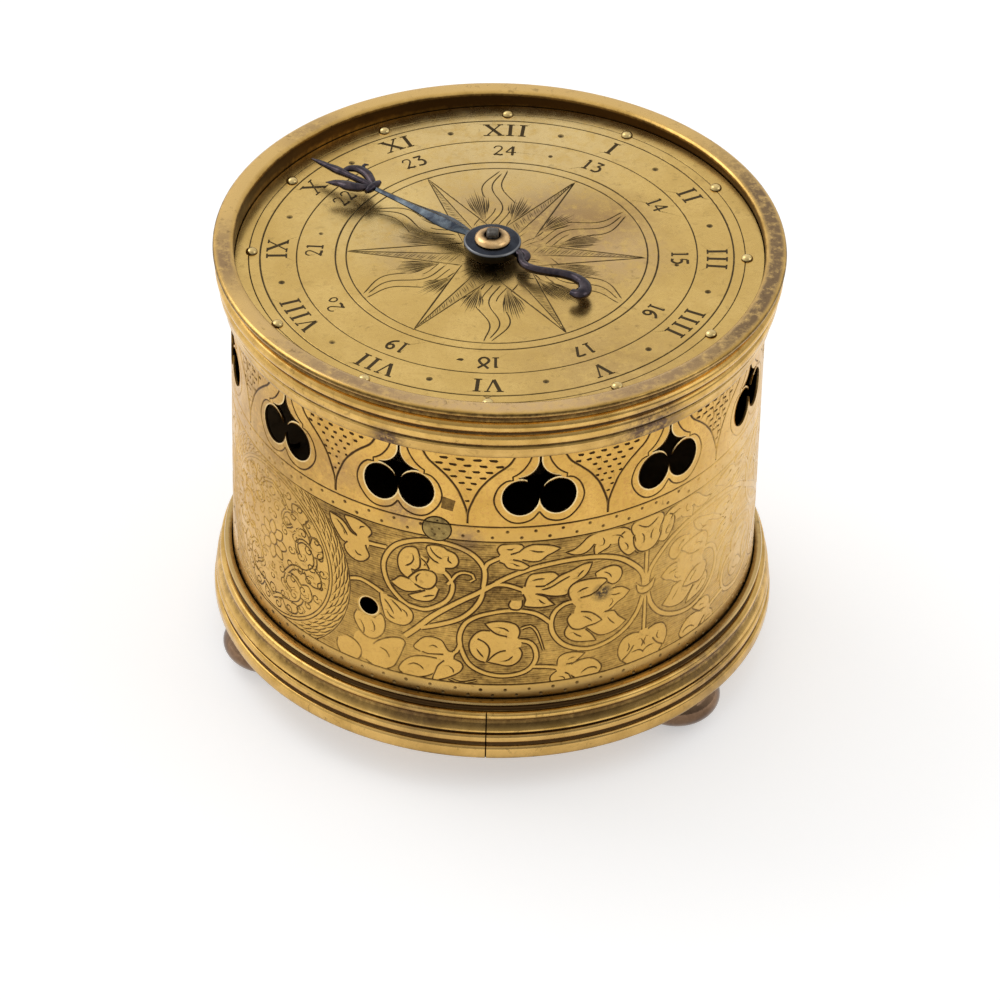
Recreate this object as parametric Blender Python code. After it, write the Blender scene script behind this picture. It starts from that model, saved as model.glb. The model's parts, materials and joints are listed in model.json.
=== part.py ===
# Drum table clock: a gilt brass drum case on three bun feet, with a pierced frieze,
# a round dial with touch pins, one steel hand and a spring driven movement with a bell.
# Metres, +Z up. The origin is on the standing surface under the drum's axis, +Y is towards XII.

import math

import bmesh
import bpy
from mathutils import Matrix, Vector

MM = 0.001

# Fits between neighbours
SEAT_GAP = 0.3 * MM
FIT_GAP = 0.1 * MM
RUN_GAP = 0.05 * MM
CUT_OVERRUN = 2.0 * MM

# Counts of facets
RING_STEPS = 48
SHAFT_STEPS = 12
PIN_STEPS = 8
FOOT_STEPS = 24
DRUM_STEPS = 28

# Case
FOOT_HEIGHT = 7.8 * MM
FOOT_RADIUS = 8.45 * MM
FOOT_HALF_DEPTH = 4.9 * MM
FOOT_BELLY_HEIGHT = 4.6 * MM
FOOT_EDGE_MARGIN = 7.95 * MM
FOOT_TENON_RADIUS = 1.6 * MM
FOOT_ANGLES = (-38.6, 81.4, 201.4)
CASE_HEIGHT = 80.1 * MM
WALL_RADIUS = 50.0 * MM
WALL_THICKNESS = 1.3 * MM
RIM_OVERHANG = 3.0 * MM
RIM_WIDTH = 3.6 * MM
BEZEL_HEIGHT = 12.44 * MM
LEDGE_WIDTH = 2.0 * MM
LEDGE_THICKNESS = 1.5 * MM
BASE_OVERHANG = 3.75 * MM
BASE_HEIGHT = 11.7 * MM
BASE_MOUTH_GAP = 0.7 * MM
BASE_FLANGE_THICKNESS = 2.8 * MM
WALL_SEAT_RISE = 6.1 * MM
WALL_SEAT_WIDTH = 2.0 * MM

# Pierced trefoils of the frieze
TREFOIL_COUNT = 12
TREFOIL_PHASE = 10.16
TREFOIL_LOBE_RADIUS = 3.35 * MM
TREFOIL_LOBE_OFFSET = 3.45 * MM
TREFOIL_LOBE_DROP = 21.7 * MM
TREFOIL_CUSP_DROP = 21.3 * MM
TREFOIL_BARB_THICKNESS = 0.42 * MM
OGEE_RADIUS = 3.85 * MM
OGEE_OFFSET = 4.0 * MM
OGEE_DROP = 13.2 * MM
OGEE_TIP_OFFSET = 3.7 * MM
OGEE_TIP_DROP = 17.15 * MM
TREFOIL_TOP_DROP = 12.2 * MM
# Angle round the lobe at which each barb ends, left and right of every trefoil, from the front one on
BARB_ENDS = ((148.0, 148.0), (150.0, 150.0), (148.0, 144.0), (146.0, 148.0), (148.0, 148.0), (150.0, 144.0),
             (148.0, 148.0), (144.0, 148.0), (148.0, 150.0), (146.0, 146.0), (148.0, 148.0), (106.0, 148.0))

# Side hole and riveted plug in the wall
SIDE_HOLE_RADIUS = 1.65 * MM
SIDE_HOLE_DROP = 51.2 * MM
SIDE_HOLE_ANGLE = -116.4
PLUG_RADIUS = 2.75 * MM
PLUG_DROP = 29.2 * MM
PLUG_ANGLE = -100.9

# Bottom cover, its hinge and its turn button
COVER_FOOT_GAP = 0.85 * MM
COVER_THICKNESS = 1.5 * MM
COVER_LEDGE_WIDTH = 1.5 * MM
HINGE_ANGLE = -98.6
WEB_GAP = 0.5 * MM
KNUCKLE_RADIUS = 1.3 * MM
KNUCKLE_LENGTH = 6.0 * MM
HINGE_PIN_RADIUS = 0.6 * MM
HINGE_PIN_OVERHANG = 0.5 * MM
BUTTON_ANGLE = 21.4
BUTTON_WIDTH = 4.4 * MM
BUTTON_REACH = 8.0 * MM
BUTTON_THICKNESS = 1.6 * MM
BUTTON_SHANK_RADIUS = 1.2 * MM
BUTTON_HEAD_RADIUS = 2.1 * MM
BUTTON_HEAD_HEIGHT = 1.0 * MM

# Dial and touch pins
DIAL_DEPTH = 3.0 * MM
DIAL_THICKNESS = 1.2 * MM
PIN_EDGE_MARGIN = 3.0 * MM
PIN_HEAD_RADIUS = 1.15 * MM
PIN_HEAD_HEIGHT = 0.95 * MM
PIN_SHANK_RADIUS = 0.55 * MM
PIN_COUNT = 12

# Hand and what holds it
HOUR_AXIS_X = -1.4 * MM
HAND_ANGLE = 143.3
HUB_RADIUS = 5.35 * MM
HUB_HEIGHT = 2.0 * MM
HUB_FLANGE_HEIGHT = 0.9 * MM
HUB_WAIST_RADIUS = 4.7 * MM
HUB_LIFT = 1.3 * MM
BLADE_LIFT = 1.9 * MM
BLADE_THICKNESS = 0.9 * MM
HAND_LENGTH = 44.9 * MM
BLADE_HALF_WIDTH = 2.5 * MM
BARB_HALF_SPREAD = 3.9 * MM
TAIL_RADIUS = 0.8 * MM
TAIL_BALL_RADIUS = 1.45 * MM
TAIL_SPAN = 21.0 * MM
COLLAR_RADIUS = 3.3 * MM
COLLAR_HEIGHT = 1.05 * MM
ARBOR_TIP_RISE = 0.35 * MM
HAND_PIN_RADIUS = 0.28 * MM
HAND_PIN_LENGTH = 3.4 * MM

# Movement frame
PLATE_CLEARANCE = 4.7 * MM
PLATE_THICKNESS = 1.6 * MM
PLATE_SPACING_SHARE = 0.3296
BACK_PLATE_RISE_SHARE = 0.1523
PILLAR_RADIUS = 2.0 * MM
PILLAR_BULGE = 0.8 * MM
PILLAR_EDGE_MARGIN = 4.0 * MM
PILLAR_ANGLES = (80.0, 200.0, 320.0)
POST_ANGLES = (20.0, 140.0, 260.0)
TENON_RADIUS = 1.2 * MM
TENON_OVERHANG = 0.8 * MM
PIVOT_RADIUS = 0.8 * MM
ARBOR_RADIUS = 1.3 * MM
SHOULDER_GAP = 0.2 * MM

# Wheel work: teeth and modules
ADDENDUM_SHARE = 0.75
PINION_ADDENDUM_SHARE = 0.55
DEDENDUM_SHARE = 1.1
TOOTH_ROOT_SHARE = 0.54
TOOTH_TIP_SHARE = 0.2
GREAT_TEETH = 48
GREAT_MODULE = 0.73 * MM
SECOND_TEETH = 54
SECOND_MODULE = 0.56 * MM
PINION_LEAVES = 6
HOUR_TEETH = 24
REPORT_LEAVES = 8
HOUR_MODULE = 1.12 * MM
CONTRATE_TEETH = 42
CONTRATE_RADIUS = 8.7 * MM
CONTRATE_BAND = 1.0 * MM
CONTRATE_TOOTH_DEPTH = 1.0 * MM
CROWN_LEAVES = 6
CROWN_TEETH = 21
CROWN_RADIUS_SHARE = 0.246
CROWN_BAND = 0.8 * MM
CROWN_DEPTH = 2.5 * MM
CROWN_TOOTH_DEPTH = 1.4 * MM
WHEEL_THICKNESS = 1.2 * MM
GREAT_THICKNESS = 1.8 * MM
WEB_THICKNESS = 0.9 * MM
RIM_SHARE = 0.82
SPOKE_SHARE = 0.16
PINION_LENGTH = 3.0 * MM

# Power: fusee, barrel, line
FUSEE_LARGE_RADIUS = 10.4 * MM
FUSEE_SMALL_RADIUS = 5.2 * MM
FUSEE_HEIGHT_SHARE = 0.568
FUSEE_GROOVES = 4
FUSEE_RIDGE = 0.7 * MM
FUSEE_RIDGE_SHARE = 0.18
FUSEE_WHEEL_GAP = 0.6 * MM
PIPE_RADIUS = 2.5 * MM
PIPE_SHOULDER_RADIUS = 3.6 * MM
FUSEE_ARBOR_RADIUS = 1.5 * MM
WINDING_SQUARE_DROP = 4.2 * MM
WINDING_SQUARE_HALF = 1.0 * MM
BARREL_RADIUS = 12.5 * MM
BARREL_HEIGHT_SHARE = 0.53
BARREL_WALL = 0.8 * MM
BARREL_FLOOR = 1.0 * MM
BARREL_LIFT_SHARE = 0.2424
BARREL_CAP_THICKNESS = 0.9 * MM
BARREL_ARBOR_RADIUS = 2.0 * MM
BARREL_DISTANCE = 26.0 * MM
BARREL_DIRECTION = -70.0
SPRING_THICKNESS = 0.35 * MM
SPRING_TURNS = 5
SPRING_STEPS = 12
SPRING_CLEARANCE = 0.5 * MM
RATCHET_TEETH = 20
RATCHET_RADIUS = 6.0 * MM
RATCHET_TOOTH_DEPTH = 1.0 * MM
RATCHET_THICKNESS = 1.6 * MM
CLICK_LENGTH = 9.0 * MM
CLICK_WIDTH = 2.4 * MM
LINE_RADIUS = 0.45 * MM
LINE_GROOVE = 2
LINE_WRAP = 160.0
LINE_STEP = 20.0

# Train layout
SECOND_DIRECTION = 60.0
CONTRATE_DIRECTION = -20.0
CROWN_DIRECTION = -25.0
GREAT_WHEEL_DROP = 1.6 * MM
SECOND_WHEEL_LIFT_SHARE = 0.0985
CONTRATE_WHEEL_LIFT_SHARE = 0.477
CROWN_DISTANCE = 17.0 * MM
CROWN_ARBOR_RADIUS = 0.9 * MM
CROWN_PIVOT_RADIUS = 0.6 * MM
EAR_INNER_DISTANCE = 5.4 * MM
EAR_OUTER_DISTANCE = 12.6 * MM
EAR_THICKNESS = 1.5 * MM
EAR_WIDTH = 4.0 * MM
POTENCE_BAR_THICKNESS = 1.6 * MM

# Verge and balance
VERGE_GAP = 1.8 * MM
VERGE_RADIUS = 0.75 * MM
PALLET_REACH = 1.5 * MM
PALLET_HEIGHT = 1.6 * MM
BALANCE_RADIUS = 12.0 * MM
BALANCE_RIM_WIDTH = 1.4 * MM
BALANCE_ARM_WIDTH = 1.8 * MM
BALANCE_THICKNESS = 1.3 * MM
BALANCE_DROP = 2.8 * MM
COCK_GAP = 1.0 * MM
COCK_THICKNESS = 1.2 * MM
COCK_WIDTH = 5.0 * MM
COCK_REACH = 15.5 * MM
COCK_DIRECTION = -90.0

# Motion work, bell and hammer
HOUR_WHEEL_LIFT = 1.4 * MM
LIFTING_PIN_CIRCLE = 11.0 * MM
LIFTING_PIN_RADIUS = 0.5 * MM
LIFTING_PIN_HEIGHT = 1.2 * MM
LIFTING_PIN_COUNT = 12
HOUR_ARBOR_RADIUS = 1.5 * MM
BELL_POST_GAP = 3.6 * MM
BELL_HEIGHT_SHARE = 0.1748
BELL_THICKNESS = 1.3 * MM
BELL_TOP_DROP_SHARE = 0.1498
BELL_POST_RADIUS = 3.6 * MM
BELL_POST_SPIGOT_RADIUS = 2.6 * MM
BELL_FLANGE_RADIUS = 7.0 * MM
BELL_FLANGE_THICKNESS = 1.2 * MM
HAMMER_PIVOT_INSET = 6.0 * MM
HAMMER_PIVOT_DIRECTION = 60.0
HAMMER_HEAD_GAP = 0.9 * MM
HAMMER_HEAD_DIRECTION = 40.0
HAMMER_HEAD_RADIUS = 2.0 * MM
HAMMER_HEAD_HEIGHT = 4.0 * MM
HAMMER_HUB_RADIUS = 2.6 * MM
HAMMER_ARM_WIDTH = 2.2 * MM
HAMMER_ARM_THICKNESS = 1.2 * MM
HAMMER_ARM_RISE = 0.3 * MM
HAMMER_TAIL_GAP = 0.6 * MM
HAMMER_HEAD_OVERLAP = 2.0 * MM

# Moulding outlines, each point as shares of the overhang past the wall and of the height from the top
BEZEL_OUTLINE_SHARES = (
    (0.85, 0.0), (1.0, 0.036), (0.967, 0.1), (0.667, 0.157), (0.667, 0.241), (0.95, 0.29), (0.867, 0.362),
    (0.567, 0.426), (0.567, 0.498), (0.75, 0.555), (0.667, 0.635), (0.4, 0.683), (0.467, 0.732),
    (0.433, 0.932), (0.25, 1.0))
BASE_OUTLINE_SHARES = (
    (0.44, 0.034), (0.333, 0.12), (0.587, 0.18), (0.613, 0.248), (0.693, 0.376), (0.853, 0.479),
    (0.733, 0.521), (0.733, 0.573), (0.893, 0.65), (0.773, 0.744), (0.8, 0.786), (1.0, 0.86), (0.96, 0.966),
    (0.827, 1.0))

# Hand outline, one side: shares of the hand's length and of the width named beside each
BLADE_OUTLINE_SHARES = (
    (0.128, 0.32), (0.16, 0.72), (0.2, 0.98), (0.245, 1.0), (0.3, 0.86), (0.37, 0.6), (0.45, 0.4),
    (0.54, 0.29), (0.615, 0.26), (0.625, 0.56), (0.642, 0.66), (0.66, 0.56), (0.672, 0.4))
HEAD_OUTLINE_SHARES = (
    (0.69, 0.44), (0.722, 0.72), (0.76, 0.86), (0.8, 1.0), (0.765, 0.6), (0.738, 0.36), (0.748, 0.24),
    (0.79, 0.23), (0.87, 0.17), (0.955, 0.1))
# Tail centre line in plan, in the dial's own directions, as shares of the tail's span from the hub's axis
TAIL_ROUTE_SHARES = (
    (0.2, -0.1), (0.248, -0.165), (0.262, -0.245), (0.31, -0.325), (0.4, -0.375), (0.51, -0.4), (0.63, -0.425),
    (0.74, -0.475), (0.815, -0.56), (0.825, -0.66), (0.775, -0.72), (0.715, -0.69))

# Heights and radii worked out from the sizes above
BASE_BOTTOM = FOOT_HEIGHT
BASE_TOP = BASE_BOTTOM + BASE_HEIGHT
RIM_TOP = BASE_BOTTOM + CASE_HEIGHT
RIM_RADIUS = WALL_RADIUS + RIM_OVERHANG
DIAL_RADIUS = RIM_RADIUS - RIM_WIDTH - SEAT_GAP
PIN_CIRCLE_RADIUS = DIAL_RADIUS - PIN_EDGE_MARGIN
PLATE_RADIUS = WALL_RADIUS - WALL_THICKNESS - PLATE_CLEARANCE
PILLAR_CIRCLE_RADIUS = PLATE_RADIUS - PILLAR_EDGE_MARGIN
FOOT_CIRCLE_RADIUS = WALL_RADIUS + BASE_OVERHANG - FOOT_EDGE_MARGIN
COVER_RADIUS = FOOT_CIRCLE_RADIUS - FOOT_RADIUS - COVER_FOOT_GAP
BUTTON_CIRCLE_RADIUS = (COVER_RADIUS + WALL_RADIUS - WALL_SEAT_WIDTH) / 2
BEZEL_BOTTOM = RIM_TOP - BEZEL_HEIGHT
DIAL_TOP = RIM_TOP - DIAL_DEPTH
DIAL_BOTTOM = DIAL_TOP - DIAL_THICKNESS
LEDGE_TOP = DIAL_BOTTOM - SEAT_GAP
LEDGE_BOTTOM = LEDGE_TOP - LEDGE_THICKNESS
WALL_TOP = LEDGE_BOTTOM - SEAT_GAP
WALL_SEAT = BASE_BOTTOM + WALL_SEAT_RISE
FLANGE_TOP = BASE_BOTTOM + BASE_FLANGE_THICKNESS
PLATE_SPACING = CASE_HEIGHT * PLATE_SPACING_SHARE
BACK_PLATE_BOTTOM = BASE_BOTTOM + CASE_HEIGHT * BACK_PLATE_RISE_SHARE
BACK_PLATE_TOP = BACK_PLATE_BOTTOM + PLATE_THICKNESS
TOP_PLATE_BOTTOM = BACK_PLATE_TOP + PLATE_SPACING
TOP_PLATE_TOP = TOP_PLATE_BOTTOM + PLATE_THICKNESS
GREAT_TOP = TOP_PLATE_BOTTOM - GREAT_WHEEL_DROP
GREAT_BOTTOM = GREAT_TOP - GREAT_THICKNESS
FUSEE_TOP = GREAT_BOTTOM - FUSEE_WHEEL_GAP
FUSEE_HEIGHT = PLATE_SPACING * FUSEE_HEIGHT_SHARE
FUSEE_BOTTOM = FUSEE_TOP - FUSEE_HEIGHT
SECOND_BOTTOM = BACK_PLATE_TOP + PLATE_SPACING * SECOND_WHEEL_LIFT_SHARE
CONTRATE_BOTTOM = BACK_PLATE_TOP + PLATE_SPACING * CONTRATE_WHEEL_LIFT_SHARE
CONTRATE_TOP = CONTRATE_BOTTOM + WEB_THICKNESS + 2 * CONTRATE_TOOTH_DEPTH
CROWN_RADIUS = PLATE_SPACING * CROWN_RADIUS_SHARE
CROWN_PINION_RADIUS = CONTRATE_RADIUS * CROWN_LEAVES / CONTRATE_TEETH
CROWN_MODULE = 2 * CROWN_PINION_RADIUS / CROWN_LEAVES
CROWN_HEIGHT = CONTRATE_TOP - CONTRATE_TOOTH_DEPTH / 2 + CROWN_PINION_RADIUS
BARREL_BOTTOM = BACK_PLATE_TOP + PLATE_SPACING * BARREL_LIFT_SHARE
BARREL_TOP = BARREL_BOTTOM + PLATE_SPACING * BARREL_HEIGHT_SHARE
BALANCE_BOTTOM = BACK_PLATE_BOTTOM - BALANCE_DROP
COCK_TOP = BALANCE_BOTTOM - COCK_GAP
COCK_BOTTOM = COCK_TOP - COCK_THICKNESS
HUB_BOTTOM = DIAL_TOP + HUB_LIFT
HUB_TOP = HUB_BOTTOM + HUB_HEIGHT
BLADE_BOTTOM = DIAL_TOP + BLADE_LIFT
COLLAR_BOTTOM = HUB_TOP + FIT_GAP
COLLAR_TOP = COLLAR_BOTTOM + COLLAR_HEIGHT
BELL_RADIUS = PILLAR_CIRCLE_RADIUS - PILLAR_RADIUS - abs(HOUR_AXIS_X) - BELL_POST_GAP
BELL_HEIGHT = CASE_HEIGHT * BELL_HEIGHT_SHARE
BELL_CROWN_TOP = DIAL_BOTTOM - CASE_HEIGHT * BELL_TOP_DROP_SHARE
BELL_RIM_BOTTOM = BELL_CROWN_TOP - BELL_HEIGHT
BELL_SEAT = BELL_CROWN_TOP - BELL_THICKNESS - SEAT_GAP
HOUR_WHEEL_BOTTOM = TOP_PLATE_TOP + HOUR_WHEEL_LIFT
HOUR_WHEEL_TOP = HOUR_WHEEL_BOTTOM + WHEEL_THICKNESS
HAMMER_ARM_BOTTOM = BELL_RIM_BOTTOM + HAMMER_ARM_RISE
HAMMER_PIVOT_DISTANCE = BELL_RADIUS - HAMMER_PIVOT_INSET
HAMMER_HEAD_DISTANCE = BELL_RADIUS - BELL_THICKNESS - HAMMER_HEAD_RADIUS - HAMMER_HEAD_GAP
HINGE_HEIGHT = BASE_BOTTOM - SEAT_GAP - KNUCKLE_RADIUS
HINGE_DISTANCE = COVER_RADIUS + SEAT_GAP / 2


def direction(degrees):
    """Unit vector in plan at an angle from +X."""
    angle = math.radians(degrees)
    return Vector((math.cos(angle), math.sin(angle), 0))


def gear_distance(teeth, leaves, module):
    """Distance between the axes of a wheel and its pinion."""
    return (teeth + leaves) * module / 2


# Axes in plan, each worked out from the one before it
DRUM_AXIS = Vector((0, 0, 0))
HOUR_AXIS = Vector((HOUR_AXIS_X, 0, 0))
REPORT_DIRECTION = 180.0
FUSEE_AXIS = HOUR_AXIS + direction(REPORT_DIRECTION) * gear_distance(HOUR_TEETH, REPORT_LEAVES, HOUR_MODULE)
BARREL_AXIS = FUSEE_AXIS + direction(BARREL_DIRECTION) * BARREL_DISTANCE
SECOND_AXIS = FUSEE_AXIS + direction(SECOND_DIRECTION) * gear_distance(GREAT_TEETH, PINION_LEAVES, GREAT_MODULE)
CONTRATE_AXIS = SECOND_AXIS + direction(CONTRATE_DIRECTION) * gear_distance(
    SECOND_TEETH, PINION_LEAVES, SECOND_MODULE)
CROWN_TIP_DISTANCE = CROWN_DISTANCE + CROWN_DEPTH
VERGE_AXIS = CONTRATE_AXIS + direction(CROWN_DIRECTION) * (CROWN_TIP_DISTANCE + VERGE_GAP)
HAMMER_AXIS = HOUR_AXIS + direction(HAMMER_PIVOT_DIRECTION) * HAMMER_PIVOT_DISTANCE
HAMMER_HEAD_AXIS = HOUR_AXIS + direction(HAMMER_HEAD_DIRECTION) * HAMMER_HEAD_DISTANCE


def clear_scene():
    """Remove what the scene holds when the script starts."""
    for item in list(bpy.data.objects):
        bpy.data.objects.remove(item, do_unlink=True)


def material(name, colour, roughness, metallic):
    """A plain Principled material."""
    result = bpy.data.materials.new(name)
    result.use_nodes = True
    shader = result.node_tree.nodes["Principled BSDF"]
    shader.inputs["Base Color"].default_value = (*colour, 1)
    shader.inputs["Roughness"].default_value = roughness
    shader.inputs["Metallic"].default_value = metallic
    return result


def bore(radius, steps=SHAFT_STEPS):
    """Corner radius of a faceted hole whose flats clear a round shaft of this radius."""
    return (radius + RUN_GAP) / math.cos(math.pi / steps)


def circle(radius, steps, phase=0.0):
    """Points round a circle in plan."""
    points = []
    for step in range(steps):
        angle = phase + 2 * math.pi * step / steps
        points.append(Vector((radius * math.cos(angle), radius * math.sin(angle), 0)))
    return points


def square(half, steps):
    """As many points as a round ring has, spread round a square."""
    points = []
    for point in circle(half, steps):
        reach = max(abs(point.x), abs(point.y))
        points.append(point * (half / reach))
    return points


def gear(teeth, module, addendum_share, phase=0.0):
    """Outline of a spur wheel or pinion with one tooth centred on the phase angle."""
    pitch_radius = teeth * module / 2
    pitch_angle = 2 * math.pi / teeth
    tip = pitch_radius + addendum_share * module
    root = pitch_radius - DEDENDUM_SHARE * module
    corners = ((-TOOTH_ROOT_SHARE, root), (-TOOTH_TIP_SHARE, tip), (TOOTH_TIP_SHARE, tip), (TOOTH_ROOT_SHARE, root))
    points = []
    for tooth in range(teeth):
        for share, radius in corners:
            angle = phase + (tooth + share / 2) * pitch_angle
            points.append(Vector((radius * math.cos(angle), radius * math.sin(angle), 0)))
    return points


def at_height(points, height):
    """The same points at one height."""
    return [Vector((point.x, point.y, height)) for point in points]


def add_loft(mesh, rings, closed=False):
    """Skin between rings of equal count; a closed loft joins its last ring to its first."""
    loops = [[mesh.verts.new(point) for point in ring] for ring in rings]
    count = len(loops[0])
    pairs = list(zip(loops, loops[1:]))
    if closed:
        pairs.append((loops[-1], loops[0]))
    for lower, upper in pairs:
        for step in range(count):
            after = (step + 1) % count
            mesh.faces.new((lower[step], lower[after], upper[after], upper[step]))
    if not closed:
        mesh.faces.new(list(reversed(loops[0])))
        mesh.faces.new(loops[-1])


def add_plate(mesh, outline, holes, bottom, top):
    """Flat plate with holes: both faces are filled between their edge loops."""
    for height in (bottom, top):
        edges = []
        for loop in (outline, *holes):
            verts = [mesh.verts.new((point.x, point.y, height)) for point in loop]
            edges += [mesh.edges.new((verts[step - 1], verts[step])) for step in range(len(verts))]
        bmesh.ops.triangle_fill(mesh, use_beauty=True, use_dissolve=False, edges=edges)
    mesh.verts.ensure_lookup_table()
    half = len(mesh.verts) // 2
    start = 0
    for loop in (outline, *holes):
        count = len(loop)
        for step in range(count):
            after = (step + 1) % count
            corners = (start + step, start + after, half + start + after, half + start + step)
            mesh.faces.new([mesh.verts[corner] for corner in corners])
        start += count


def finish(name, mesh, finish_material, origin=DRUM_AXIS, turn=None):
    """Make an object whose origin is its own axis, from a mesh built round that axis."""
    if turn is not None:
        bmesh.ops.transform(mesh, matrix=turn, verts=mesh.verts)
    bmesh.ops.recalc_face_normals(mesh, faces=mesh.faces)
    data = bpy.data.meshes.new(name)
    mesh.to_mesh(data)
    mesh.free()
    data.materials.append(finish_material)
    data.shade_smooth()
    data.set_sharp_from_angle(angle=math.radians(32))
    result = bpy.data.objects.new(name, data)
    result.location = origin
    bpy.context.collection.objects.link(result)
    return result


def boolean(target, tool, operation):
    """Apply an exact boolean to the target and remove the tool."""
    name = target.name
    modifier = target.modifiers.new(operation.title(), "BOOLEAN")
    modifier.operation = operation
    modifier.solver = "EXACT"
    modifier.object = tool
    bpy.context.view_layer.update()
    depsgraph = bpy.context.evaluated_depsgraph_get()
    cut = bpy.data.meshes.new_from_object(target.evaluated_get(depsgraph))
    old = target.data
    target.modifiers.clear()
    target.data = cut
    bpy.data.meshes.remove(old)
    bpy.data.objects.remove(tool, do_unlink=True)
    cut.name = name
    return target


def turned(name, profile, finish_material, steps=SHAFT_STEPS, axis=DRUM_AXIS, hollow=False, turn=None):
    """Turned piece from (radius, height) points: solid from bottom to top, or a closed hollow ring."""
    mesh = bmesh.new()
    rings = [at_height(circle(radius, steps), height) for radius, height in profile]
    add_loft(mesh, rings, closed=hollow)
    return finish(name, mesh, finish_material, axis, turn)


def plate(name, outline, holes, bottom, top, finish_material, axis=DRUM_AXIS):
    """Flat piece in plan."""
    mesh = bmesh.new()
    add_plate(mesh, outline, holes, bottom, top)
    return finish(name, mesh, finish_material, axis)


def block(name, low, high, finish_material, axis=DRUM_AXIS, turn=None):
    """Box between two corners."""
    mesh = bmesh.new()
    corners = [Vector((x, y, 0)) for x, y in ((low[0], low[1]), (high[0], low[1]), (high[0], high[1]), (low[0], high[1]))]
    add_loft(mesh, [at_height(corners, low[2]), at_height(corners, high[2])])
    return finish(name, mesh, finish_material, axis, turn)


def slot_outline(length, half_width, steps=SHAFT_STEPS, back=0.0):
    """Bar with round ends along +X, from its back reach to its length between end centres."""
    points = []
    for step in range(steps // 2 + 1):
        angle = -math.pi / 2 + math.pi * step / (steps // 2)
        points.append(Vector((length + half_width * math.cos(angle), half_width * math.sin(angle), 0)))
    for step in range(steps // 2 + 1):
        angle = math.pi / 2 + math.pi * step / (steps // 2)
        points.append(Vector((half_width * math.cos(angle) - back, half_width * math.sin(angle), 0)))
    return points


def shifted(points, offset):
    """Points moved in plan."""
    return [point + offset for point in points]


def turned_points(points, degrees):
    """Points turned in plan about their own axis."""
    matrix = Matrix.Rotation(math.radians(degrees), 3, "Z")
    return [matrix @ point for point in points]


def trefoil_half(barb_end, side):
    """Half of a trefoil opening, from the cusp at the bottom round one lobe to the spike at the top."""
    lobe_steps = 11
    barb_steps = 2
    ogee_steps = 4
    points = [(0.0, TREFOIL_CUSP_DROP)]
    for step in range(lobe_steps + 1):
        angle = math.radians(-172.0 + (barb_end + 172.0) * step / lobe_steps)
        points.append((TREFOIL_LOBE_OFFSET + TREFOIL_LOBE_RADIUS * math.cos(angle),
                       TREFOIL_LOBE_DROP - TREFOIL_LOBE_RADIUS * math.sin(angle)))
    for step in range(1, barb_steps + 1):
        share = step / barb_steps
        angle = math.radians(barb_end + (96.0 - barb_end) * share)
        radius = TREFOIL_LOBE_RADIUS + TREFOIL_BARB_THICKNESS * math.sqrt(share)
        points.append((TREFOIL_LOBE_OFFSET + radius * math.cos(angle),
                       TREFOIL_LOBE_DROP - radius * math.sin(angle)))
    points.append((OGEE_TIP_OFFSET, OGEE_TIP_DROP))
    for step in range(ogee_steps + 1):
        angle = math.radians(-100.0 - 76.0 * step / ogee_steps)
        points.append((OGEE_OFFSET + OGEE_RADIUS * math.cos(angle), OGEE_DROP - OGEE_RADIUS * math.sin(angle)))
    points.append((OGEE_OFFSET - OGEE_RADIUS, TREFOIL_TOP_DROP))
    return [Vector((side * across, RIM_TOP - drop, 0)) for across, drop in points]


def radial_cutter(outline, degrees):
    """Prism of an outline drawn as (across, height), pointing out through the wall at an angle."""
    inner = WALL_RADIUS - WALL_THICKNESS - CUT_OVERRUN
    outer = WALL_RADIUS + CUT_OVERRUN
    out = direction(degrees)
    across = direction(degrees + 90)
    rings = []
    for reach in (inner, outer):
        rings.append([out * reach + across * point.x + Vector((0, 0, point.y)) for point in outline])
    return rings


def drum_wall(brass):
    """Rolled wall with twelve sawn trefoils, a side hole and the hole of the plug."""
    inner = WALL_RADIUS - WALL_THICKNESS
    bottom = WALL_SEAT + SEAT_GAP
    profile = ((WALL_RADIUS, bottom), (WALL_RADIUS, WALL_TOP), (inner, WALL_TOP), (inner, bottom))
    wall = turned("drum_wall", profile, brass, RING_STEPS, hollow=True)
    mesh = bmesh.new()
    for index in range(TREFOIL_COUNT):
        left_end, right_end = BARB_ENDS[index]
        left = trefoil_half(left_end, -1)
        right = trefoil_half(right_end, 1)
        outline = right + left[:0:-1]
        degrees = TREFOIL_PHASE - 90 + 360 * index / TREFOIL_COUNT
        add_loft(mesh, radial_cutter(outline, degrees))
    for radius, drop, degrees in ((SIDE_HOLE_RADIUS, SIDE_HOLE_DROP, SIDE_HOLE_ANGLE),
                                  (PLUG_RADIUS + FIT_GAP, PLUG_DROP, PLUG_ANGLE)):
        outline = [point + Vector((0, RIM_TOP - drop, 0)) for point in circle(radius, DRUM_STEPS // 2)]
        add_loft(mesh, radial_cutter(outline, degrees))
    boolean(wall, finish("wall_cutter", mesh, brass), "DIFFERENCE")
    return wall


def wall_plug(grey):
    """Round plug that closes an old hole, flush with the wall."""
    mesh = bmesh.new()
    outline = circle(PLUG_RADIUS, DRUM_STEPS // 2)
    out = direction(PLUG_ANGLE)
    across = direction(PLUG_ANGLE + 90)
    rings = []
    for reach in (WALL_RADIUS - WALL_THICKNESS, WALL_RADIUS):
        depth = math.sqrt(reach ** 2 - PLUG_RADIUS ** 2)
        rings.append([out * depth + across * point.x + Vector((0, 0, RIM_TOP - PLUG_DROP + point.y))
                      for point in outline])
    add_loft(mesh, rings)
    return finish("wall_plug", mesh, grey)


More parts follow.
